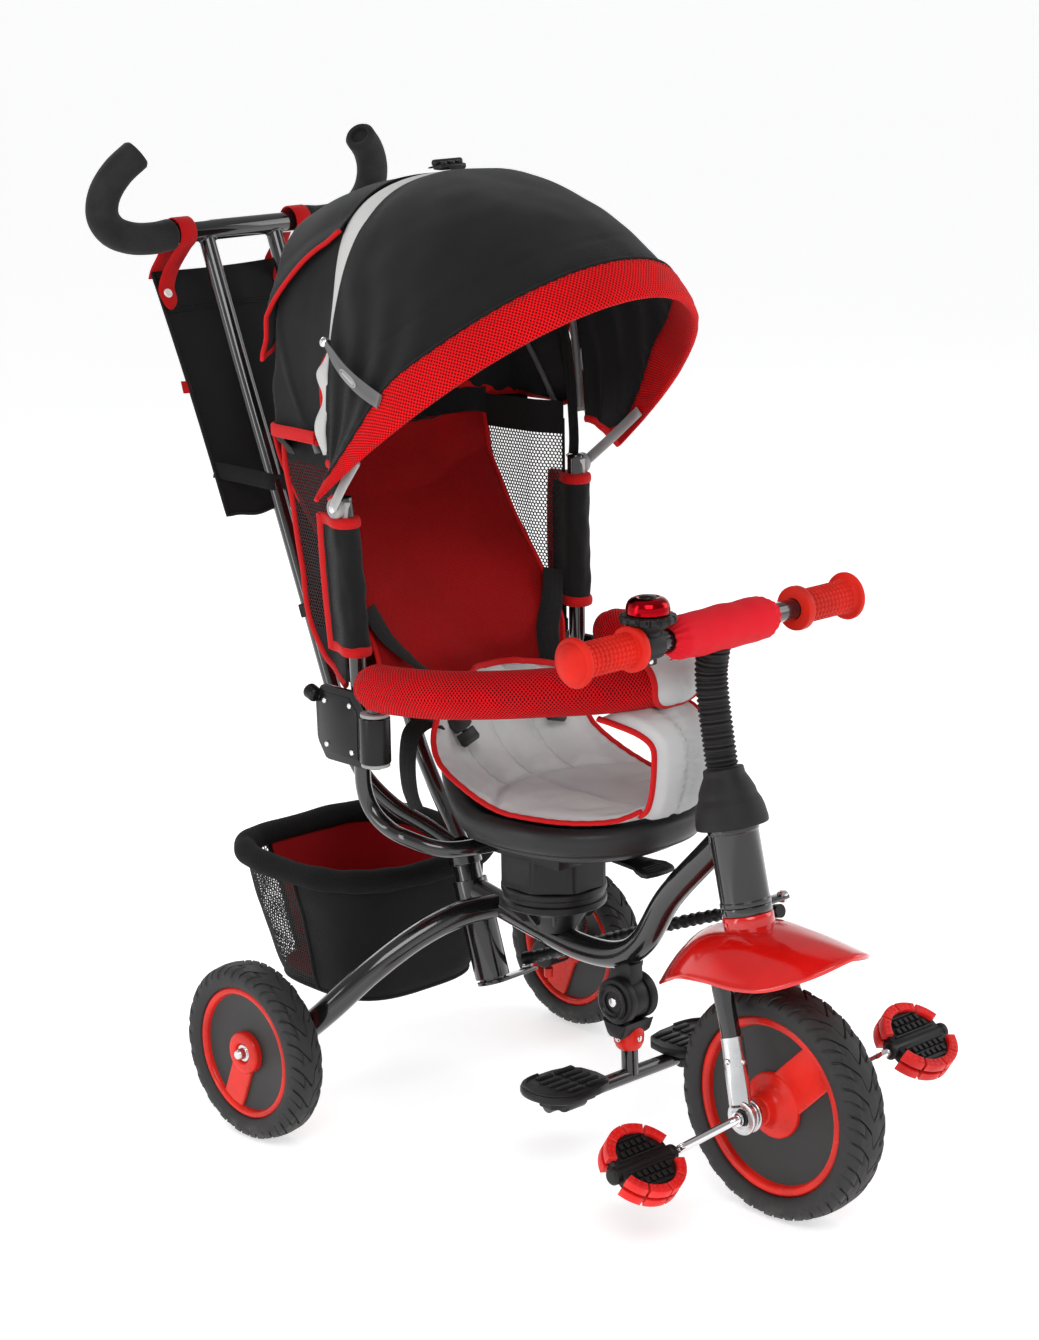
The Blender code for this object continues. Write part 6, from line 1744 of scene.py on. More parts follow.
def seat_base():
    rings = [seat_ring(0.084, 0.100, 0.3545, 0.0), seat_ring(0.104, 0.120, 0.3562, 0.2), seat_ring(0.1175, 0.1335, 0.3640, 0.8),
             seat_ring(0.1215, 0.1370, 0.3660, 0.9), seat_ring(0.1222, 0.1378, 0.3672, 0.92), seat_ring(0.1262, 0.1415, 0.3700, 0.95),
             seat_ring(0.1300, 0.1450, 0.3770), seat_ring(0.1314, 0.1464, 0.3855), seat_ring(0.1295, 0.1445, 0.3925),
             seat_ring(0.1240, 0.1390, 0.3968), seat_ring(0.1170, 0.1310, 0.3975), seat_ring(0.1060, 0.1200, 0.3935, 0.9), seat_ring(0.094, 0.108, 0.3885, 0.7), seat_ring(0.050, 0.060, 0.3845, 0.0)]
    rows = []
    cols = [spline([ring[k] for ring in rings], 44) for k in range(120)]
    for i in range(44):
        rows.append([cols[k][i] + Vector((0, 0, wob((cos(2 * pi * k / 120) * 0.13, sin(2 * pi * k / 120) * 0.13, i * 0.002), 16, 0.0012, 9.0) * sin(pi * i / 43))) for k in range(120)])
    ob = make("seat_shell", Shape().grid(rows, wrap=True, ends=True), VINYL, "seat", "seat_pan", angle=70)
    seam = seat_ring(0.1226, 0.1382, 0.3672, 0.92, count=160)
    bind("seat_shell_welt", seam, "seat", 0.0016, VINYL, closed=True, flat=(1, 1))
    # round plate with a notch at the front for the lever to lift into
    plate = [(0.090 * cos(2 * pi * k / 48), SEAT_C + 0.005 + 0.104 * sin(2 * pi * k / 48)) for k in range(48)]
    plate = [(x, max(y, 0.2400)) if abs(x) < 0.030 else (x, y) for x, y in plate]
    base = slab(plate, 0.3470, 0.3548, lambda x, y, h: Vector((x, y, h)), 0.0020)
    for x0, x1, y0, y1, low in ((-0.066, -0.029, 0.264, 0.406, 0.3332), (0.029, 0.066, 0.264, 0.406, 0.3332), (-0.032, 0.032, 0.306, 0.406, 0.3332)):
        base.join(block((x0, y0, low), (x1, y1, 0.3475), 0.0012))
    make("seat_base_plate", base, PLASTIC, "seat", angle=35)
    eight = []
    for k in range(8):
        a0 = radians(22.5 + 45 * k)
        for d in (-2.6, -0.9, 0.9, 2.6):
            a = a0 + radians(d)
            r = 0.0612 - (0.0007 if abs(d) < 1 else 0.0)
            eight.append((r * cos(a), SEAT_Y + r * sin(a)))
    sh = slab(eight, 0.2925, 0.3330, lambda x, y, h: Vector((x, y, h)), 0.0022)
    for k in range(8):
        a = radians(45 * k)
        d, t = Vector((cos(a), sin(a), 0)), Vector((-sin(a), cos(a), 0))
        sh.join(slab([(-0.015, 0.3000), (0.015, 0.3000), (0.015, 0.3255), (-0.015, 0.3255)], 0.0560, 0.0576,
                     lambda x, y, h, d=d, t=t: Vector((0, SEAT_Y, 0)) + d * h + t * x + Vector((0, 0, y)), 0.0005))
    make("turntable", sh, PLASTIC, "seat", "seat_turntable", angle=30)
    lip = [(-0.021, 0.1750), (-0.008, 0.1722), (0.008, 0.1722), (0.021, 0.1750), (0.0245, 0.181), (0.0235, 0.190), (0.0180, 0.200), (0.0130, 0.240), (0.012, 0.300),
           (-0.012, 0.300), (-0.0130, 0.240), (-0.0180, 0.200), (-0.0235, 0.190), (-0.0245, 0.181)]
    lever = slab(lip, 0.3375, 0.3428, lambda x, y, h: Vector((x, y, h - 0.0035 * smooth((0.196 - y) / 0.02))), 0.0016)
    for k in range(3):
        y = 0.1800 + 0.0042 * k
        lever.join(slab([(-0.015, y - 0.0009), (0.015, y - 0.0009), (0.015, y + 0.0009), (-0.015, y + 0.0009)], 0.3418, 0.3436,
                        lambda x, y, h: Vector((x, y, h - 0.0035 * smooth((0.196 - y) / 0.02))), 0.0004))
    make("release_lever", lever, PLASTIC, "seat_release", "seat_release_lever", angle=35)
    for side, s in (("left", 1), ("right", -1)):
        path = sided(s, [(0.010, 0.362, 0.3440), (0.080, 0.366, 0.3442), (0.128, 0.378, 0.3475),
                         (0.1500, 0.408, 0.3570), (0.1550, 0.440, 0.3650), (0.1590, 0.4620, 0.3830),
                         (0.1630, 0.4690, 0.4080), (POST_X, 0.4680, 0.4400), (POST_X, 0.4680, 0.4520)])
        make("seat_tube_" + side, sweep(spline(path, 70), 0.0090, 26), PAINT, "seat", "side_frame_" + side)
        bracket(side, s)
        safety_bar(side, s)


def bracket(side, s):
    outline = [(0.4400, 0.4400), (0.4440, 0.4362), (0.5040, 0.4362), (0.5090, 0.4380), (0.5200, 0.4540), (0.5222, 0.4600), (0.5235, 0.5030), (0.5220, 0.5075),
               (0.5140, 0.5185), (0.5100, 0.5202), (0.4600, 0.5202), (0.4560, 0.5188), (0.4415, 0.5010), (0.4400, 0.4960)]
    place = lambda y, z, h: Vector((s * h, y, z))
    sh = slab(outline, 0.1762, 0.1832, place, 0.0014)
    web = [(0.4400, 0.4420), (0.4400, 0.5000), (0.4270, 0.4965), (0.4270, 0.4485)]
    sh.join(slab(web, 0.1770, 0.1822, place, 0.0010))
    lift = slab([(0.4530, 0.4440), (0.5100, 0.4440), (0.5155, 0.4600), (0.5160, 0.5020), (0.5080, 0.5125), (0.4660, 0.5125), (0.4530, 0.4970)], 0.1826, 0.1843, place, 0.0010)
    sh.join(lift)
    barrel = lathe(rounded([(0.0083, 0.4470), (0.0160, 0.4470), (0.0170, 0.4480), (0.0170, 0.4974), (0.0160, 0.4984), (0.0083, 0.4984)], 0.0008, 2),
                   (s * HINGE_X, HINGE_Y, 0), Z_AXIS, 48)
    sh.join(barrel)
    clampring = lathe(rounded([(0.0122, 0.4475), (0.0158, 0.4475), (0.0158, 0.4625), (0.0122, 0.4625)], 0.0010, 3), (s * POST_X, 0.4680, 0), Z_AXIS, 40)
    sh.join(clampring)
    make("hinge_plate_" + side, sh, PLASTIC_GLOSS, "seat", "bracket_" + side, angle=32)
    riv = Shape()
    for y, z in ((0.4620, 0.4520), (0.5040, 0.4540), (0.4640, 0.5040), (0.5060, 0.5030)):
        riv.join(screw(Vector((s * 0.1842, y, z)), (s, 0, 0), 0.0033, 0.0020))
    make("hinge_rivets_" + side, riv, SILVER, "seat")
    bush = Shape()
    for z0, z1 in ((0.4430, 0.4468), (0.4986, 0.5022)):
        bush.join(lathe(rounded([(0.0082, z0), (0.0158, z0), (0.0158, z1), (0.0082, z1)], 0.0006, 2), (s * HINGE_X, HINGE_Y, 0), Z_AXIS, 40))
    make("hinge_bushes_" + side, bush, GREY_PLASTIC, "seat")
    knob = lathe(rounded([(0, -0.0100), (0.0058, -0.0100), (0.0085, -0.0075), (0.0088, 0.0035), (0.0070, 0.0060), (0.0045, 0.0068), (0, 0.0068)], 0.0016, 3),
                 (s * 0.1850, 0.5270, 0.5090), (0, 0.94, 0.34), 36)
    knob.join(lathe(rounded([(0, -0.012), (0.0045, -0.012), (0.0045, 0.0), (0, 0.0)], 0.0006, 2), (s * 0.1800, 0.5190, 0.5060), (s * 0.45, 0.83, 0.3), 20))
    make("recline_knob_" + side, knob, PLASTIC_GLOSS, "seat", angle=40)
    make("recline_screw_" + side, screw(Vector((s * 0.1850, 0.5270, 0.5090)) + Vector((0, 0.94, 0.34)).normalized() * 0.0066, (0, 0.94, 0.34), 0.0028, 0.0014), SILVER, "seat")


def safety_bar(side, s):
    foam = sided(s, [(HINGE_X, 0.4330, 0.5305), (0.1825, 0.3900, 0.5335), (0.1790, 0.3400, 0.5380),
                     (0.1620, 0.2880, 0.5430), (0.1300, 0.2420, 0.5470), (0.0880, 0.2030, 0.5495),
                     (0.0450, 0.1790, 0.5500), (0, 0.1710, 0.5500), (-0.0450, 0.1790, 0.5500)])
    path = spline(foam, 150)
    path = [p for p in path if p.x * s >= 0.0006]
    path.append(Vector((s * 0.0005, 0.1710, 0.5500)))
    n = len(path)
    radii = []
    for i in range(n):
        t = i / (n - 1)
        r = 0.0258 + 0.0004 * sin(t * 9)
        r -= 0.0040 * (1 - smooth(i / 6)) ** 2
        radii.append(r)
    # domed free end
    first = path[0]
    t = (path[0] - path[2]).normalized()
    ob = make("bar_cover_" + side, sweep(path, radii, 48, section=lambda i, a: 1 + 0.008 * sin(2 * a + i * 0.05) + 0.004 * sin(5 * a + i * 0.21)), AIR_RED, "bar_" + side, "safety_bar_" + side, angle=75)
    cap = [(0, -0.0040), (0.0214, -0.0035)] + [(0.0220 * sin(radians(a)), 0.0135 * cos(radians(a))) for a in range(90, 4, -6)] + [(0, 0.0135)]
    end = make("bar_end_" + side, lathe(cap, first + t * -0.001, t, 48), AIR_RED, "bar_" + side, angle=75)
    seam = []
    for i in range(2, n - 1):
        a, b = path[max(i - 1, 0)], path[min(i + 1, n - 1)]
        tt = (b - a).normalized()
        side_ = tt.cross(Z_AXIS).normalized()
        if side_.dot(Vector((s, -1, 0))) > 0:
            side_ = -side_
        d = (side_ * 0.9 + Vector((0, 0, -0.44))).normalized()
        seam.append(path[i] + d * (radii[i] * 1.0 + 0.0002))
    make("bar_seam_" + side, sweep(seam, 0.0010, 8), TAPE_RED, "bar_" + side, angle=70)
    pin = lathe(rounded([(0, 0.4400), (0.0078, 0.4400), (0.0078, 0.5240), (0, 0.5240)], 0.0008, 2), (s * HINGE_X, HINGE_Y, 0), Z_AXIS, 36)
    make("bar_pin_" + side, pin, PAINT, "bar_" + side)


seat_base()
liner()
crotch_pad()


# --------------------------------------------------------------------- back
PANEL = spline([(0, 0.4605, 0.4920), (0, 0.4640, 0.5180), (0, 0.4690, 0.5550), (0, 0.5050, 0.6100), (0, 0.5600, 0.6780), (0, 0.6050, 0.7450), (0, 0.6200, 0.7800)], 73)


def panel_point(x, i, side):
    p = PANEL[i]
    a, b = PANEL[max(i - 1, 0)], PANEL[min(i + 1, 72)]
    nrm = X_AXIS.cross((b - a).normalized()).normalized()
    if nrm.y > 0:
        nrm = -nrm
    t = i / 72
    u = x / (0.140 + 0.0100 * smooth((t - 0.45) / 0.5))
    sag = 0.010 * (1 - u * u)
    edge = smooth((1 - abs(u)) / 0.12) * smooth(t / 0.06)
    fold = 0.0020 * sin(26 * t + 5 * u + 2.2 * sin(3 * u)) * smooth((0.32 - t) / 0.3) * (1 - u * u)
    fold += wob((x, p.y, p.z), 14, 0.0030, 2.0) + 0.0009 * sin(150 * x + 40 * t) * smooth((abs(u) - 0.8) / 0.2) * 0.4
    return Vector((x, p.y, p.z)) - nrm * sag + nrm * (fold * edge + (0.0024 * edge + 0.0006) * side)


def back_cloth():
    rows = []
    for i in range(73):
        w = 0.140 + 0.0100 * smooth((i / 72 - 0.45) / 0.5)
        xs = [lerp(-w, w, j / 56) for j in range(57)]
        rows.append([panel_point(x, i, 1) for x in xs] + [panel_point(x, i, -1) for x in xs[::-1]])
    ob = make("back_cloth", Shape().grid(rows, wrap=True, ends=True), RED_MESH_SHADED, "backrest", "back_panel", angle=80)
    wide = [0.140 + 0.0100 * smooth((i / 72 - 0.45) / 0.5) for i in range(73)]
    left = [panel_point(-wide[i], i, 0) for i in range(73)]
    right = [panel_point(wide[i], i, 0) for i in range(73)]
    low = [panel_point(lerp(-0.14, 0.14, j / 40), 0, 0) for j in range(41)]
    piping = bind("back_piping", left[::-1] + low[1:-1] + right, "backrest", 0.0030)
    # tape sewn up both sides behind the panel
    tape = Shape()
    for s in (-1, 1):
        tape.join(ribbon([panel_point(s * 0.1300, i, -1) + Vector((0, 0.0012, -0.0006)) for i in range(0, 73, 2)], 0.0180, 0.0014, X_AXIS))
    make("back_tape", tape, TAPE_RED, "backrest", angle=60)


def post_pad(side, s):
    base = spline([(s * POST_X, 0.4680, 0.4400), (s * 0.1670, 0.4690, 0.5600), (s * 0.1715, 0.4740, 0.6800), (s * 0.1745, 0.4770, 0.7300)], 60)

    def axis_at(z):
        for a, b in zip(base, base[1:]):
            if a.z <= z <= b.z:
                return a.lerp(b, (z - a.z) / (b.z - a.z))
        return base[-1]

    z0, z1, nz, n = 0.5585, 0.7080, 70, 84

    def edge_len(t):
        return 0.0420 + 0.0030 * sin(pi * t)

    def section(z, swell, t):
        c = axis_at(z)
        ring = []
        for k in range(n):
            a = 2 * pi * k / n
            back = edge_len(t)
            r = 0.0136 + swell
            x, y = r * cos(a), r * sin(a)
            if sin(a) > 0:
                flatten = smooth(sin(a))
                y = back * sin(a) ** 1.1
                x = cos(a) * r * (1 - 0.15 * flatten)
                x *= lerp(1.0, 0.42, smooth(y / (back * 0.75)))
            ring.append(Vector((c.x + s * (x + 0.0012), c.y + y, z)))
        return ring

    rows = []
    for i in range(nz + 1):
        t = i / nz
        z = lerp(z0, z1, t)
        puff = 0.0014 * smooth(min(t, 1 - t) / 0.09)
        ring = section(z, puff, t)
        c = axis_at(z)
        out = []
        for k, p in enumerate(ring):
            a = 2 * pi * k / n
            d = (p - c)
            d.z = 0
            wr = wob((cos(a) * 0.03, sin(a) * 0.03, z), 45, 0.0020, 3.0 * s) + 0.0005 * sin(z * 900) * smooth((sin(a) - 0.75) / 0.2)
            out.append(p + d.normalized() * wr * smooth(min(t, 1 - t) / 0.05))
        rows.append(out)
    ob = make("post_wrap_" + side, Shape().grid(rows, wrap=True, ends=True), CANVAS, "backrest", angle=75)
    for tag, z, t in (("low", z0 + 0.0040, 0.03), ("high", z1 - 0.0040, 0.97)):
        rr = []
        for dz, g in ((-0.0062, 0.0000), (-0.0050, 0.0014), (-0.0020, 0.0020), (0.0020, 0.0020), (0.0050, 0.0014), (0.0062, 0.0000)):
            ring = section(z + dz * 0.95, 0.0006 + g, t)
            c = axis_at(z)
            rr.append([p + (p - Vector((c.x, c.y, p.z))).normalized() * g * 0.5 for p in ring])
        make("post_binding_%s_%s" % (tag, side), Shape().grid(rr, wrap=True, ends=True), TAPE_RED, "backrest", angle=70)
    rear = []
    for i in range(nz + 1):
        t = i / nz
        z = lerp(z0, z1, t)
        c = axis_at(z)
        rear.append(Vector((c.x + s * 0.0012, c.y + edge_len(t) - 0.0030, z)))
    make("post_binding_rear_" + side, sweep(rear, 0.0064, 18, up=(0, 1, 0), flat=(0.72, 1.0), round_ends=0.001), TAPE_RED, "backrest", angle=70)
    stitch = [Vector((axis_at(z).x + s * 0.0068, axis_at(z).y + 0.030, z)) for z in [lerp(z0 + 0.012, z1 - 0.012, k / 30) for k in range(31)]]
    make("post_stitch_" + side, sweep(stitch, 0.0005, 6), WEBBING, "backrest", angle=70)
    tube = sweep(base, 0.0095, 28, round_ends=0.003)
    make("post_tube_" + side, tube, PAINT, "backrest", "post_" + side)
    # small open tab at the top where the hood hooks on
    tab = ribbon([Vector((s * 0.1785, 0.4840, 0.7060)), Vector((s * 0.1800, 0.4860, 0.7180)), Vector((s * 0.1790, 0.4930, 0.7300))], 0.0120, 0.0016, (0.1, 1, 0.2))
    make("post_tab_" + side, tab, TAPE_RED, "backrest", angle=60)


REAR_EDGE = spline([(0, 0.4900, 0.5190), (0, 0.5180, 0.5310), (0, 0.5410, 0.5440), (0, 0.5650, 0.5790), (0, 0.5770, 0.6300), (0, 0.5860, 0.6780), (0, 0.5960, 0.7250), (0, 0.6040, 0.7740)], 80)


def wing(side, s):
    def rear(z):
        for a, b in zip(REAR_EDGE, REAR_EDGE[1:]):
            if a.z <= z <= b.z:
                return lerp(a.y, b.y, (z - a.z) / max(b.z - a.z, 1e-9))
        return REAR_EDGE[-1].y if z > REAR_EDGE[-1].z else REAR_EDGE[0].y

    front = 0.4880

    def place(y, z):
        k = smooth((y - 0.486) / 0.045)
        return Vector((s * (lerp(0.1665, 0.1512, k) + 0.0022 * sin((y - 0.48) * 34) * k + wob((0, y, z), 22, 0.0030, 6.0 * s) * k), y, z))

    def inside(y, z):
        return front < y < rear(z) - 0.0015 and 0.5290 < z < 0.7730

    net = netting("wing_net_" + side, lambda y, z: inside(y, z) and 0.5700 < z < 0.7560, place, "backrest", 0.0042, 0.70, NET,
                  ("wing_" + side,), ((front, 0.560), (0.612, 0.760)), 0.0007)
    solid = Shape()
    for z0, z1, n in ((0.7540, 0.7920, 10), (0.5240, 0.5720, 14)):
        rows = []
        for i in range(n + 1):
            z = lerp(z0, z1, i / n)
            e = (rear(z) if z < 0.774 else REAR_EDGE[-1].y) - 0.0010
            ys = [lerp(front if z > 0.54 else front - 0.004, e, j / 26) for j in range(27)]
            rows.append([place(y, z) + Vector((s * 0.0007, 0, 0)) for y in ys] + [place(y, z) - Vector((s * 0.0007, 0, 0)) for y in ys[::-1]])
        solid.join(Shape().grid(rows, wrap=True, ends=True))
    ob = make("wing_cloth_" + side, solid, CANVAS, "backrest", angle=75)
    edge = [place(p.y, p.z) for p in REAR_EDGE]
    b = bind("wing_binding_" + side, edge, "backrest", 0.0042, flat=(0.8, 1.0))
    fr = [place(front, z) for z in [lerp(0.522, 0.772, k / 40) for k in range(41)]]
    b2 = bind("wing_front_" + side, fr, "backrest", 0.0020, WEBBING)


def buckle(name, c, along, up_, body):
    """Side release buckle: two curved halves with prongs and a ladder bar."""
    along, up_ = Vector(along).normalized(), Vector(up_).normalized()
    up_ = (up_ - along * up_.dot(along)).normalized()
    across = along.cross(up_)
    place = lambda x, y, h: c + along * x + across * y + up_ * h
    sh = slab([(-0.020, -0.010), (-0.006, -0.0145), (0.010, -0.0130), (0.012, -0.008), (0.012, 0.008), (0.010, 0.0130), (-0.006, 0.0145), (-0.020, 0.010)], -0.004, 0.004, place, 0.0018)
    sh.join(slab([(0.0135, -0.0120), (0.0260, -0.0135), (0.0290, -0.0105), (0.0290, 0.0105), (0.0260, 0.0135), (0.0135, 0.0120)], -0.0035, 0.0035, place, 0.0015))
    sh.join(slab([(0.010, -0.0030), (0.016, -0.0030), (0.016, 0.0030), (0.010, 0.0030)], -0.0022, 0.0022, place, 0.0008))
    for k in range(3):
        x = -0.014 + k * 0.0055
        sh.join(slab([(x, -0.0075), (x + 0.0022, -0.0075), (x + 0.0022, 0.0075), (x, 0.0075)], 0.0034, 0.0048, place, 0.0005))
    return make(name, sh, PLASTIC, body, angle=35)


def harness():
    for side, s in (("left", 1), ("right", -1)):
        path = spline(sided(s, [(0.1400, 0.4800, 0.6020), (0.1260, 0.4680, 0.5700), (0.1050, 0.4540, 0.5440), (0.0900, 0.4360, 0.5240), (0.0820, 0.4230, 0.5030), (0.0770, 0.4190, 0.4880)]), 36)
        make("harness_strap_" + side, ribbon(path, 0.0260, 0.0018, (1, 0.0, 0.55 * s)), WEBBING, "seat", angle=60)
        buckle("harness_buckle_" + side, Vector((s * 0.0730, 0.4120, 0.4760)), (s * -0.30, -0.45, -0.9), (0, -0.85, 0.4), "seat")
        hip = spline(sided(s, [(0.0950, 0.4160, 0.4740), (0.1130, 0.4230, 0.4790), (0.1290, 0.4270, 0.4680), (0.1345, 0.4280, 0.4400), (0.1340, 0.4260, 0.4080), (0.1300, 0.4200, 0.3850)]), 44)
        across = [Vector((0, 1, 0.25)) for _ in hip]
        make("harness_hip_" + side, ribbon(hip, 0.0270, 0.0018, across), WEBBING, "seat", angle=60)


def outer_back():
    """Mesh panel that closes the rear between the two side nets."""
    def at(x, i, off):
        p = REAR_EDGE[i]
        u = x / 0.1505
        t = i / 79
        dent = 0.0045 * (1 - u * u) * sin(pi * t) + wob((x, t * 0.3, 0), 16, 0.0050, 21.0) * (1 - u * u) * smooth(t / 0.1)
        fold = 0.0022 * sin(40 * t + 4 * u) * (1 - smooth((t - 0.25) / 0.2)) * (1 - u * u)
        lean = smooth((0.20 - t) / 0.2) * (1 - u * u)
        return Vector((x, p.y - dent + fold + off + 0.0120 * lean, p.z + 0.0060 * lean))
    rows = []
    for i in range(0, 80):
        w = lerp(0.158, 0.1505, smooth(i / 10))
        xs = [lerp(-w, w, j / 50) for j in range(51)]
        rows.append([at(x, i, 0.0012) for x in xs] + [at(x, i, -0.0012) for x in xs[::-1]])
    ob = make("outer_back_cloth", Shape().grid(rows, wrap=True, ends=True), RED_MESH_SHADED, "backrest", angle=80)
    low = bind("outer_back_hem", [at(lerp(-0.156, 0.156, k / 50), 0, 0) for k in range(51)], "backrest", 0.0034)


back_cloth()
outer_back()
for _side, _s in (("left", 1), ("right", -1)):
    post_pad(_side, _s)
    wing(_side, _s)
harness()


# ------------------------------------------------------------------- canopy
HOOD_EDGE, HOOD_BACK, HOOD_END = 40.0, 92.0, 150.0


def canopy_point(phi, th, inset=0.0):
    """Point of the hood at a fold angle and an angle across, inset from the outer skin."""
    f = smooth((90 - phi) / 50)
    a, h, n = lerp(0.1985, 0.230, f) - inset, lerp(0.347, 0.367, f) - inset, lerp(2.77, 2.0, f)
    t = radians(th)
    x = a * abs(sin(t)) ** (2 / n) * (1 if t >= 0 else -1)
    r = h * abs(cos(t)) ** (2 / n)
    if phi > 90:
        wall = lerp(0.1735, 0.109, min(abs(x) / 0.19, 1.0) ** 2) - inset
        r = min(r, wall / max(-cos(radians(phi)), 1e-6))
    return Vector((x, CAN_Y - r * cos(radians(phi)), CAN_Z + r * sin(radians(phi))))


def hood_r(phi, th):
    p = canopy_point(phi, th)
    return hypot(p.y - CAN_Y, p.z - CAN_Z)


def hem_width(th):
    return lerp(0.0430, 0.0120, smooth((abs(th) - 58) / 26))


def hem_top(th):
    return HOOD_EDGE + (hem_width(th) / max(hood_r(43, th), 0.02)) * 180 / pi


def folding(name, shape, mat, **more):
    ob = make(name, shape, mat, None, **more)
    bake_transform(ob)
    return ob


def hood_front():
    cols, rows_n = 132, 54
    ths = [lerp(-86, 86, smooth(j / cols) * 0.25 + 0.75 * j / cols) for j in range(cols + 1)]

    def skin(s, th, inset):
        lo = hem_top(th) - 1.5
        phi = lerp(lo, HOOD_BACK, s)
        p = canopy_point(phi, th, inset)
        out = Vector((p.x * 1.2, p.y - CAN_Y, p.z - CAN_Z)).normalized()
        r = hood_r(phi, th)
        d = r * radians(phi - lo)
        far = r * radians(HOOD_BACK - phi)
        run = 0.30 * radians(th)
        pucker = 0.0013 * sin(run * 620 + 1.5 * sin(run * 70)) * (1 - smooth(d / 0.026)) * smooth(d / 0.004)
        seam = -0.0011 * (1 - smooth(abs(d - 0.050) / 0.0028)) * smooth((70 - abs(th)) / 8)
        flow = wob(p, 9.0, 0.0055, 1.0) + wob(p, 26.0, 0.0016, 3.0)
        drape = 0.0020 * sin(phi * 0.42 + abs(th) * 0.30) * smooth((abs(th) - 40) / 25) * smooth(r / 0.06)
        tail = 0.0036 * sin(phi * 0.16) * smooth((abs(th) - 70) / 10)
        k = smooth(d / 0.02) * smooth(far / 0.015)
        dip = -0.0030 * (1 - smooth(far / 0.030)) - 0.004 * sin(pi * s) * smooth((60 - abs(th)) / 40)
        return p + out * ((flow + drape + tail) * k + pucker + seam + dip)

    rows = []
    for i in range(rows_n + 1):
        s = i / rows_n
        top = [skin(s, th, 0.0012) for th in ths]
        low = [skin(s, th, 0.0030) for th in ths[::-1]]
        rows.append(top + low)
    vs = [0.300 * i / rows_n for i in range(rows_n + 1)]
    ob = folding("hood_cloth", Shape().grid(rows, wrap=True, ends=True, vs=vs), CANVAS, replaces="canopy_front", angle=80)
    # hem: thick spacer mesh folded round the front edge
    hem_rows, edge = [], []
    hcols = 300
    for j in range(hcols + 1):
        th = lerp(-85.5, 85.5, j / hcols)
        top, r = hem_top(th) + 0.6 / max(hood_r(43, th), 0.05) * 0.12, hood_r(43, th)
        full = lerp(1.0, 0.42, smooth((abs(th) - 58) / 26))
        wide = radians(top - HOOD_EDGE) * r
        ring = []
        run = 0.30 * radians(th)
        for k in range(28):
            a = 2 * pi * k / 28
            ca, sa = cos(a), sin(a)
            u = abs(ca) ** 0.55 * (1 if ca >= 0 else -1)
            v = abs(sa) ** 0.80 * (1 if sa >= 0 else -1)
            share = 0.5 + 0.5 * u
            phi = HOOD_EDGE - 0.8 + (top - HOOD_EDGE + 0.8) * share
            mid = 0.0028
            gather = 0.0007 * sin(run * 430 + sin(run * 60)) * smooth((share - 0.72) / 0.2)
            soft = wob((run, share * 0.05, v), 30, 0.0020, 12.0)
            inset = mid - (0.0060 * full) * v - gather - soft * (0.6 if v > 0 else 0.3)
            ring.append(canopy_point(phi, th, inset))
        hem_rows.append(ring)
    sh = Shape().grid(hem_rows, wrap=True, ends=True)
    hem = folding("hood_hem", sh, AIR_HEM, angle=75)
    # thin piping between the cloth and the hem
    line = [canopy_point(hem_top(th) + 0.4, th, -0.0008) for th in [lerp(-84, 84, j / 200) for j in range(201)]]
    folding("hood_hem_piping", sweep(line, 0.0015, 8), CANVAS, angle=70)
    # binding on the two hanging corners
    corner = Shape()
    for s in (-1, 1):
        pts = []
        for k in range(31):
            t = k / 30
            phi, th = lerp(HOOD_BACK, HOOD_EDGE + 3, t), s * 86.0
            p = skin(1 - t, th, 0.002) if t < 1 else canopy_point(phi, th, 0.002)
            pts.append(p)
        corner.join(sweep(pts, 0.0046, 14, flat=(0.6, 1.0), round_ends=0.001))
    folding("hood_corner_binding", corner, TAPE_RED, angle=70)
    return ob


def stripe():
    """Crescent of light cloth behind the middle bow, loose below the rivets."""
    rows = []
    n = 260
    for j in range(n + 1):
        th = lerp(-85.0, 85.0, j / n)
        w = lerp(0.0360, 0.0055, smooth((abs(th) - 28) / 40)) * (1 - 0.30 * smooth((24 - abs(th)) / 24)) + 0.0120 * smooth((abs(th) - 67) / 5) * (1 - 0.5 * smooth((abs(th) - 78) / 8))
        r = max(hood_r(91, th), 0.02)
        loose = smooth((abs(th) - 69) / 5)
        ring_o, ring_i = [], []
        for k in range(11):
            u = k / 10
            phi = 91.0 + u * w / r * 180 / pi
            arch = 0.0014 * sin(pi * u)
            wave = loose * 0.0060 * sin((abs(th) - 69) * 0.62) * (0.4 + 0.6 * u) + loose * 0.0022 * u
            off = 0.0038 + 0.0040 * u * u - arch - wave
            base = canopy_point(phi, th, off)
            ring_o.append(base)
            ring_i.append(canopy_point(phi, th, off + 0.0014))
        rows.append(ring_o + ring_i[::-1])
    ob = make("hood_stripe", Shape().grid(rows, wrap=True, ends=True), STRIPE, "backrest", angle=80)
    return ob


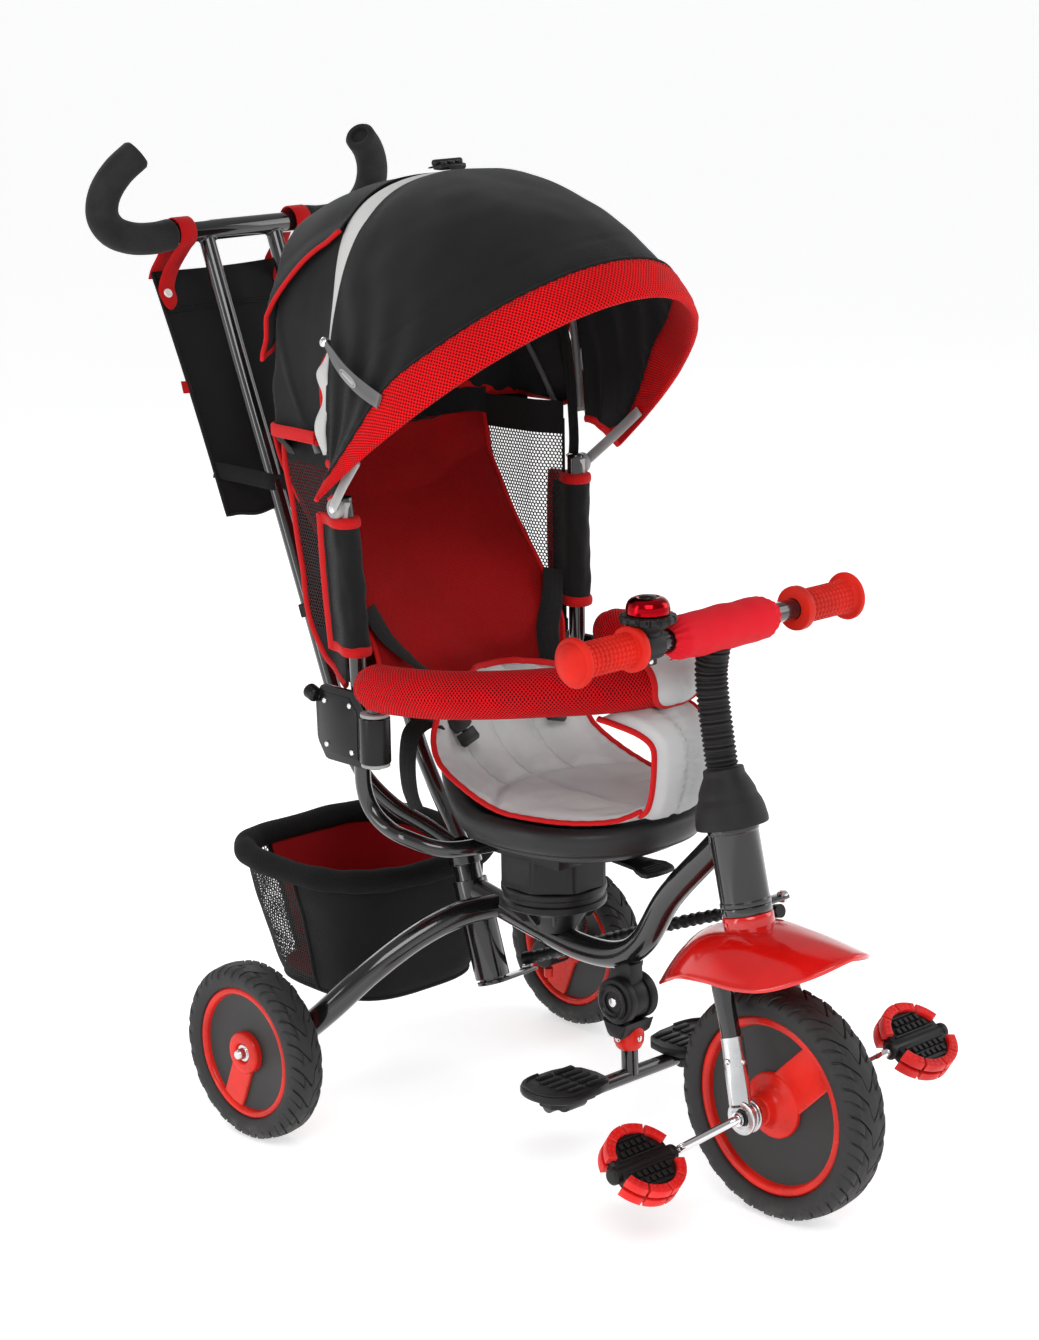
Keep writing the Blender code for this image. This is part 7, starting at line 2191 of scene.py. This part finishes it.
def hood_rear():
    cols, n = 120, 60
    ths = [lerp(-83, 83, j / cols) for j in range(cols + 1)]
    last = {}
    for th in ths:
        phi = HOOD_END
        while phi > 112 and canopy_point(phi, th, 0.0085).z < 0.7890:
            phi -= 0.5
        last[round(abs(th), 3)] = phi

    def skin(s, th, inset):
        lo = 91.5 + 6.5 * smooth((abs(th) - 66) / 6)
        near = min(last, key=lambda q: abs(q - abs(th)))
        phi = lerp(lo, last[near], s)
        p = canopy_point(phi, th, 0.0085 + inset)
        out = Vector((p.x, p.y - CAN_Y, p.z - CAN_Z)).normalized()
        k = smooth(s / 0.08) * smooth((1 - s) / 0.06)
        rib = -0.0045 * sin(pi * min(max((phi - 92) / 28, 0), 1)) + 0.0018 * (1 - smooth(abs(phi - 121) / 3))
        fold = 0.0014 * sin(p.z * 95 + p.x * 20) * smooth((phi - 118) / 15) * smooth((abs(th) - 25) / 40)
        fold += 0.0010 * sin(th * 0.42) * smooth((phi - 124) / 12)
        flow = wob(p, 12.0, 0.0050, 5.0) + wob(p, 30.0, 0.0018, 7.0)
        return p + out * ((rib + fold + flow - 0.0020) * k)

    rows = []
    for i in range(n + 1):
        s = i / n
        rows.append([skin(s, th, 0.0) for th in ths] + [skin(s, th, 0.0016) for th in ths[::-1]])
    vs = [0.330 * i / n for i in range(n + 1)]
    ob = make("hood_back_cloth", Shape().grid(rows, wrap=True, ends=True, vs=vs), CANVAS, "backrest", "canopy_rear", angle=80)
    low = [skin(1.0, th, 0.0008) for th in ths]
    hem = make("hood_back_hem", ribbon([p + Vector((0, 0, 0.0045)) for p in low], 0.0145, 0.0040, [Vector((0, 0, 1)) for _ in low]), TAPE_RED, "backrest", angle=70)
    edges = Shape()
    for s in (-1, 1):
        edges.join(sweep([skin(k / 40, s * 83, 0.0008) for k in range(41)], 0.0030, 12))
        edges.join(sweep([skin(0, s * lerp(66, 83, k / 20), 0.0008) for k in range(21)], 0.0026, 12))
    make("hood_back_edging", edges, TAPE_RED, "backrest", angle=70)
    # black band under the hem, sewn to the net
    band_rows = []
    for j in range(len(ths)):
        if abs(ths[j]) > 78:
            continue
        p = low[j]
        ring = []
        for dz, dx in ((0.0, 0.0012), (-0.007, 0.0016), (-0.015, 0.0014), (-0.022, 0.0010), (-0.022, -0.0002), (-0.015, 0.0002), (-0.007, 0.0003), (0.0, 0.0)):
            inward = Vector((-p.x, CAN_Y - p.y, 0)).normalized()
            tuck = smooth(-dz / 0.022) * 0.014 * smooth((abs(ths[j]) - 40) / 25)
            ring.append(p + Vector((0, 0, dz)) + inward * (0.0030 - dx + tuck))
        band_rows.append(ring)
    band = make("hood_back_band", Shape().grid(band_rows, wrap=True, ends=True), CANVAS, "backrest", angle=70)
    # strip that closes the step between the mesh back and the hood
    step_rows = []
    for j in range(61):
        x = lerp(-0.1490, 0.1490, j / 60)
        deep = lerp(0.1735, 0.109, min(abs(x) / 0.19, 1.0) ** 2) - 0.0125
        a, b = Vector((x, 0.6030, 0.7715)), Vector((x, CAN_Y + deep, 0.7985))
        line = [a.lerp(b, k / 6) + Vector((0, 0, -0.0030 * sin(pi * k / 6) + 0.0006 * sin(x * 260 + k))) for k in range(7)]
        step_rows.append(line + [q + Vector((0, -0.0008, 0.0012)) for q in line[::-1]])
    step = make("hood_back_step", Shape().grid(step_rows, wrap=True, ends=True), CANVAS, "backrest", angle=70)
    # rolled flap over the rear panel, its edge piped
    def flap(u, v, inset):
        phi = lerp(97.0, 128.5, v)
        th = u * lerp(38, 61, v ** 0.85)
        p = canopy_point(phi, th, inset)
        out = Vector((p.x, p.y - CAN_Y, p.z - CAN_Z)).normalized()
        roll = 0.0060 * smooth((abs(u) - 0.80) / 0.18) + 0.0050 * smooth((v - 0.86) / 0.12)
        return p + out * (roll * (1 - 0.4 * smooth(0.1 / max(v, 0.01))) + wob(p, 18.0, 0.0026, 15.0) * smooth(v / 0.1))
    rows = []
    for i in range(37):
        v = i / 36
        us = [lerp(-1, 1, j / 72) for j in range(73)]
        rows.append([flap(u, v, 0.0040) for u in us] + [flap(u, v, 0.0058) for u in us[::-1]])
    fl = make("hood_flap", Shape().grid(rows, wrap=True, ends=True), CANVAS, "backrest", angle=80)
    edge = [flap(-1, k / 50, 0.0045) for k in range(51)] + [flap(lerp(-1, 1, k / 60), 1, 0.0045) for k in range(1, 60)] + [flap(1, 1 - k / 50, 0.0045) for k in range(51)]
    pip = bind("hood_flap_piping", edge, "backrest", 0.0027, flat=(1, 1))
    return ob, (hem, band, step), fl, pip


def hood_hardware():
    for name, phi, body in (("mid", 90.5, "backrest"), ("rear", 120.0, "backrest")):
        path = [canopy_point(phi, th, 0.0155 if phi < 100 else 0.0170) for th in [lerp(-84, 84, k / 120) for k in range(121)]]
        make("hood_bow_" + name, sweep(path, 0.0032, 14), ARM_GREY, body, angle=70)
    for side, s in (("left", 1), ("right", -1)):
        hub = Vector((s * 0.1860, CAN_Y, CAN_Z))
        sh = lathe(rounded([(0, -0.0050), (0.0105, -0.0050), (0.0115, -0.0035), (0.0115, 0.0020), (0.0095, 0.0034), (0, 0.0034)], 0.0010, 2), hub, (s, 0, 0), 36)
        sh.join(slab([(-0.0090, -0.0120), (0.0090, -0.0120), (0.0100, -0.0100), (0.0100, 0.0060), (0.0060, 0.0090), (-0.0060, 0.0090), (-0.0100, 0.0060), (-0.0100, -0.0100)],
                     0.1720, 0.1812, lambda x, y, h, s=s: Vector((s * h, CAN_Y + x, CAN_Z + y)), 0.0015))
        make("hood_hinge_" + side, sh, GREY_PLASTIC, "backrest", angle=38)
        make("hood_hinge_screw_" + side, screw(hub + Vector((s * 0.0032, 0, 0)), (s, 0, 0), 0.0052, 0.0026), SILVER, "backrest")
        # flat arm from the hinge into the front corner
        e = canopy_point(43.5, s * 75, 0.012)
        path = spline([hub + Vector((s * 0.0050, -0.0030, 0.0030)), (hub + Vector((s * 0.005, 0, 0))).lerp(e, 0.5) + Vector((s * 0.001, 0, 0)), e], 20)
        make("hood_arm_" + side, ribbon(path, 0.0125, 0.0030, (0, 0.7, 0.7)), GREY_PLASTIC, "canopy", angle=60)
        # folding strut outside the cloth, held by the rivet
        a = canopy_point(90.0, s * 67.0, -0.0040)
        b = canopy_point(51.5, s * 64.5, -0.0020)
        pts = []
        for k in range(33):
            t = k / 32
            p = a.lerp(b, t)
            p.x += s * (0.0062 * sin(pi * t) + 0.0015)
            p.z -= 0.0035 * sin(pi * t)
            pts.append(p)
        taper = [0.55 + 0.45 * smooth(k / 7) + 0.10 * sin(pi * k / 32) for k in range(33)]
        strut = ribbon(pts, 0.0165, 0.0042, (0, 0.42, 1.0), taper)
        folding("hood_strut_" + side, strut, ARM_GREY, angle=60)
        slot_pts = pts[14:21]
        loop = []
        d = (slot_pts[-1] - slot_pts[0]).normalized()
        w = Vector((0, 0.42, 1.0))
        w = (w - d * w.dot(d)).normalized()
        nrm = d.cross(w).normalized()
        if nrm.x * s < 0:
            nrm = -nrm
        c = slot_pts[3] + nrm * 0.0021
        ring = []
        for k in range(29):
            an = 2 * pi * k / 28
            ring.append(c + d * (0.0105 * cos(an) + 0.0045 * (1 if cos(an) > 0 else -1)) + w * (0.0040 * sin(an)))
        detail = sweep(ring, 0.0011, 10)
        detail.join(slab([(-0.0105, -0.0022), (0.0105, -0.0022), (0.0125, 0), (0.0105, 0.0022), (-0.0105, 0.0022), (-0.0125, 0)], -0.0004, 0.0006,
                         lambda x, y, h: c + d * x + w * y + nrm * h, 0.0002))
        folding("hood_strut_slot_" + side, detail, GREY_PLASTIC, angle=50)
        rivet_at = canopy_point(90.5, s * 67.0, -0.0062)
        make("hood_rivet_" + side, lathe(rounded([(0, -0.0060), (0.0040, -0.0060), (0.0040, 0.0), (0.0058, 0.0), (0.0052, 0.0026), (0.0020, 0.0038), (0, 0.0039)], 0.0012, 3),
                                          rivet_at, (s, 0.05, 0.25), 32), SILVER, "backrest", angle=45)
    straps = Shape()
    for s in (-1, 1):
        path = spline([canopy_point(95.0, s * 60, 0.0190), canopy_point(95.0, s * 74, 0.0190), Vector((s * 0.1790, 0.4840, 0.7600)), Vector((s * 0.1765, 0.4830, 0.7200))], 30)
        straps.join(ribbon(path, 0.0160, 0.0016, (0, 1, 0)))
    make("hood_tie_straps", straps, WEBBING, "backrest", angle=60)
    # plastic clip on top of the middle bow
    top = canopy_point(92.0, 0, 0.0010)
    clip = block((-0.0190, -0.0075, 0.0), (0.0190, 0.0075, 0.0060), 0.0016, lambda x, y, h: top + Vector((x, y, h)))
    for k in range(3):
        x = -0.0115 + 0.0115 * k
        clip.join(block((x - 0.0034, -0.0060, 0.0052), (x + 0.0034, 0.0060, 0.0092), 0.0010, lambda x, y, h: top + Vector((x, y, h))))
    clip.join(lathe(rounded([(0, -0.0200), (0.0038, -0.0200), (0.0038, 0.0200), (0, 0.0200)], 0.001, 2), top + Vector((0, 0.0040, 0.0075)), X_AXIS, 20))
    make("hood_clip", clip, PLASTIC, "backrest", angle=40)
    tongue = ribbon([top + Vector((0, -0.020, -0.0030)), top + Vector((0, -0.008, 0.0035)), top + Vector((0, 0.008, 0.0045)), top + Vector((0, 0.024, 0.0005))], 0.0200, 0.0016, X_AXIS)
    make("hood_clip_strap", tongue, WEBBING, "backrest", angle=60)


front_cloth = hood_front()
band = stripe()
rear_cloth, rear_sewn, rear_flap, flap_piping = hood_rear()
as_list(rear_sewn)
hood_hardware()


# ------------------------------------------------------ floor, light, camera
def stage():
    sh = Shape().grid([[Vector((x, y, 0)) - SHIFT for x in (-60, -20, -6, 0, 6, 20, 60)] for y in (-60, -20, -6, 0, 6, 20, 60)])
    floor = make("floor", sh, None, None, mats=[floor_finish()])
    world = bpy.data.worlds.new("studio")
    bpy.context.scene.world = world
    world.use_nodes = True
    bg = world.node_tree.nodes["Background"]
    nodes, links = world.node_tree.nodes, world.node_tree.links
    where = nodes.new("ShaderNodeTexCoord")
    split = nodes.new("ShaderNodeSeparateXYZ")
    ramp = nodes.new("ShaderNodeValToRGB")
    links.new(where.outputs["Generated"], split.inputs[0])
    links.new(split.outputs[2], ramp.inputs[0])
    links.new(ramp.outputs[0], bg.inputs["Color"])
    ramp.color_ramp.elements[0].position, ramp.color_ramp.elements[0].color = 0.16, (1, 1, 1, 1)
    ramp.color_ramp.elements[1].position, ramp.color_ramp.elements[1].color = 0.42, (0.30, 0.30, 0.305, 1)
    high = ramp.color_ramp.elements.new(1.0)
    high.color = (0.46, 0.46, 0.47, 1)
    bg.inputs["Strength"].default_value = 1.0
    for name, at, aim, size, power in (
            ("key", (-1.9, -2.4, 3.1), (0, 0, 0.5), (2.2, 1.6), 52),
            ("fill", (2.8, -1.6, 1.9), (0, 0, 0.5), (1.6, 2.2), 24),
            ("back", (0.6, 3.0, 2.6), (0, 0, 0.5), (2.6, 1.2), 34),
            ("side", (-3.2, 0.8, 1.3), (0, 0, 0.5), (0.7, 2.4), 20)):
        light = bpy.data.lights.new(name, "AREA")
        light.shape, light.size, light.size_y, light.energy = "RECTANGLE", size[0], size[1], power
        ob = bpy.data.objects.new(name, light)
        ob.location = at
        ob.rotation_euler = (Vector(aim) - Vector(at)).to_track_quat("-Z", "Y").to_euler()
        bpy.context.scene.collection.objects.link(ob)
    cam = bpy.data.cameras.new("camera")
    cam.sensor_width, cam.lens = 36.0, 83.19
    cam.clip_start, cam.clip_end = 0.05, 200
    ob = bpy.data.objects.new("camera", cam)
    az, el, roll = radians(-43.373), radians(14.101), radians(-0.8376)
    back = Vector((sin(az) * cos(el), -cos(az) * cos(el), sin(el)))
    x = Vector((0, 0, 1)).cross(back).normalized()
    y = back.cross(x)
    x2, y2 = x * cos(roll) + y * sin(roll), -x * sin(roll) + y * cos(roll)
    m = Matrix((x2, y2, back)).transposed().to_4x4()
    m.translation = Vector((-2.2762, -2.4110, 1.3557))
    ob.matrix_world = m
    bpy.context.scene.collection.objects.link(ob)
    bpy.context.scene.camera = ob
    bpy.context.scene.view_settings.view_transform = "Standard"


def floor_finish():
    f = Finish("pale_floor", (0.90, 0.90, 0.90), 0.65, spec=0.15)
    o = f.obj()
    f.set_colour(f.mix(f.noise(o, 0.7, 3.0), (0.885, 0.885, 0.885), (0.915, 0.915, 0.915)))
    f.shader.inputs["Emission Color"].default_value = (1, 1, 1, 1)
    f.shader.inputs["Emission Strength"].default_value = 0.56
    return f.mat


stage()
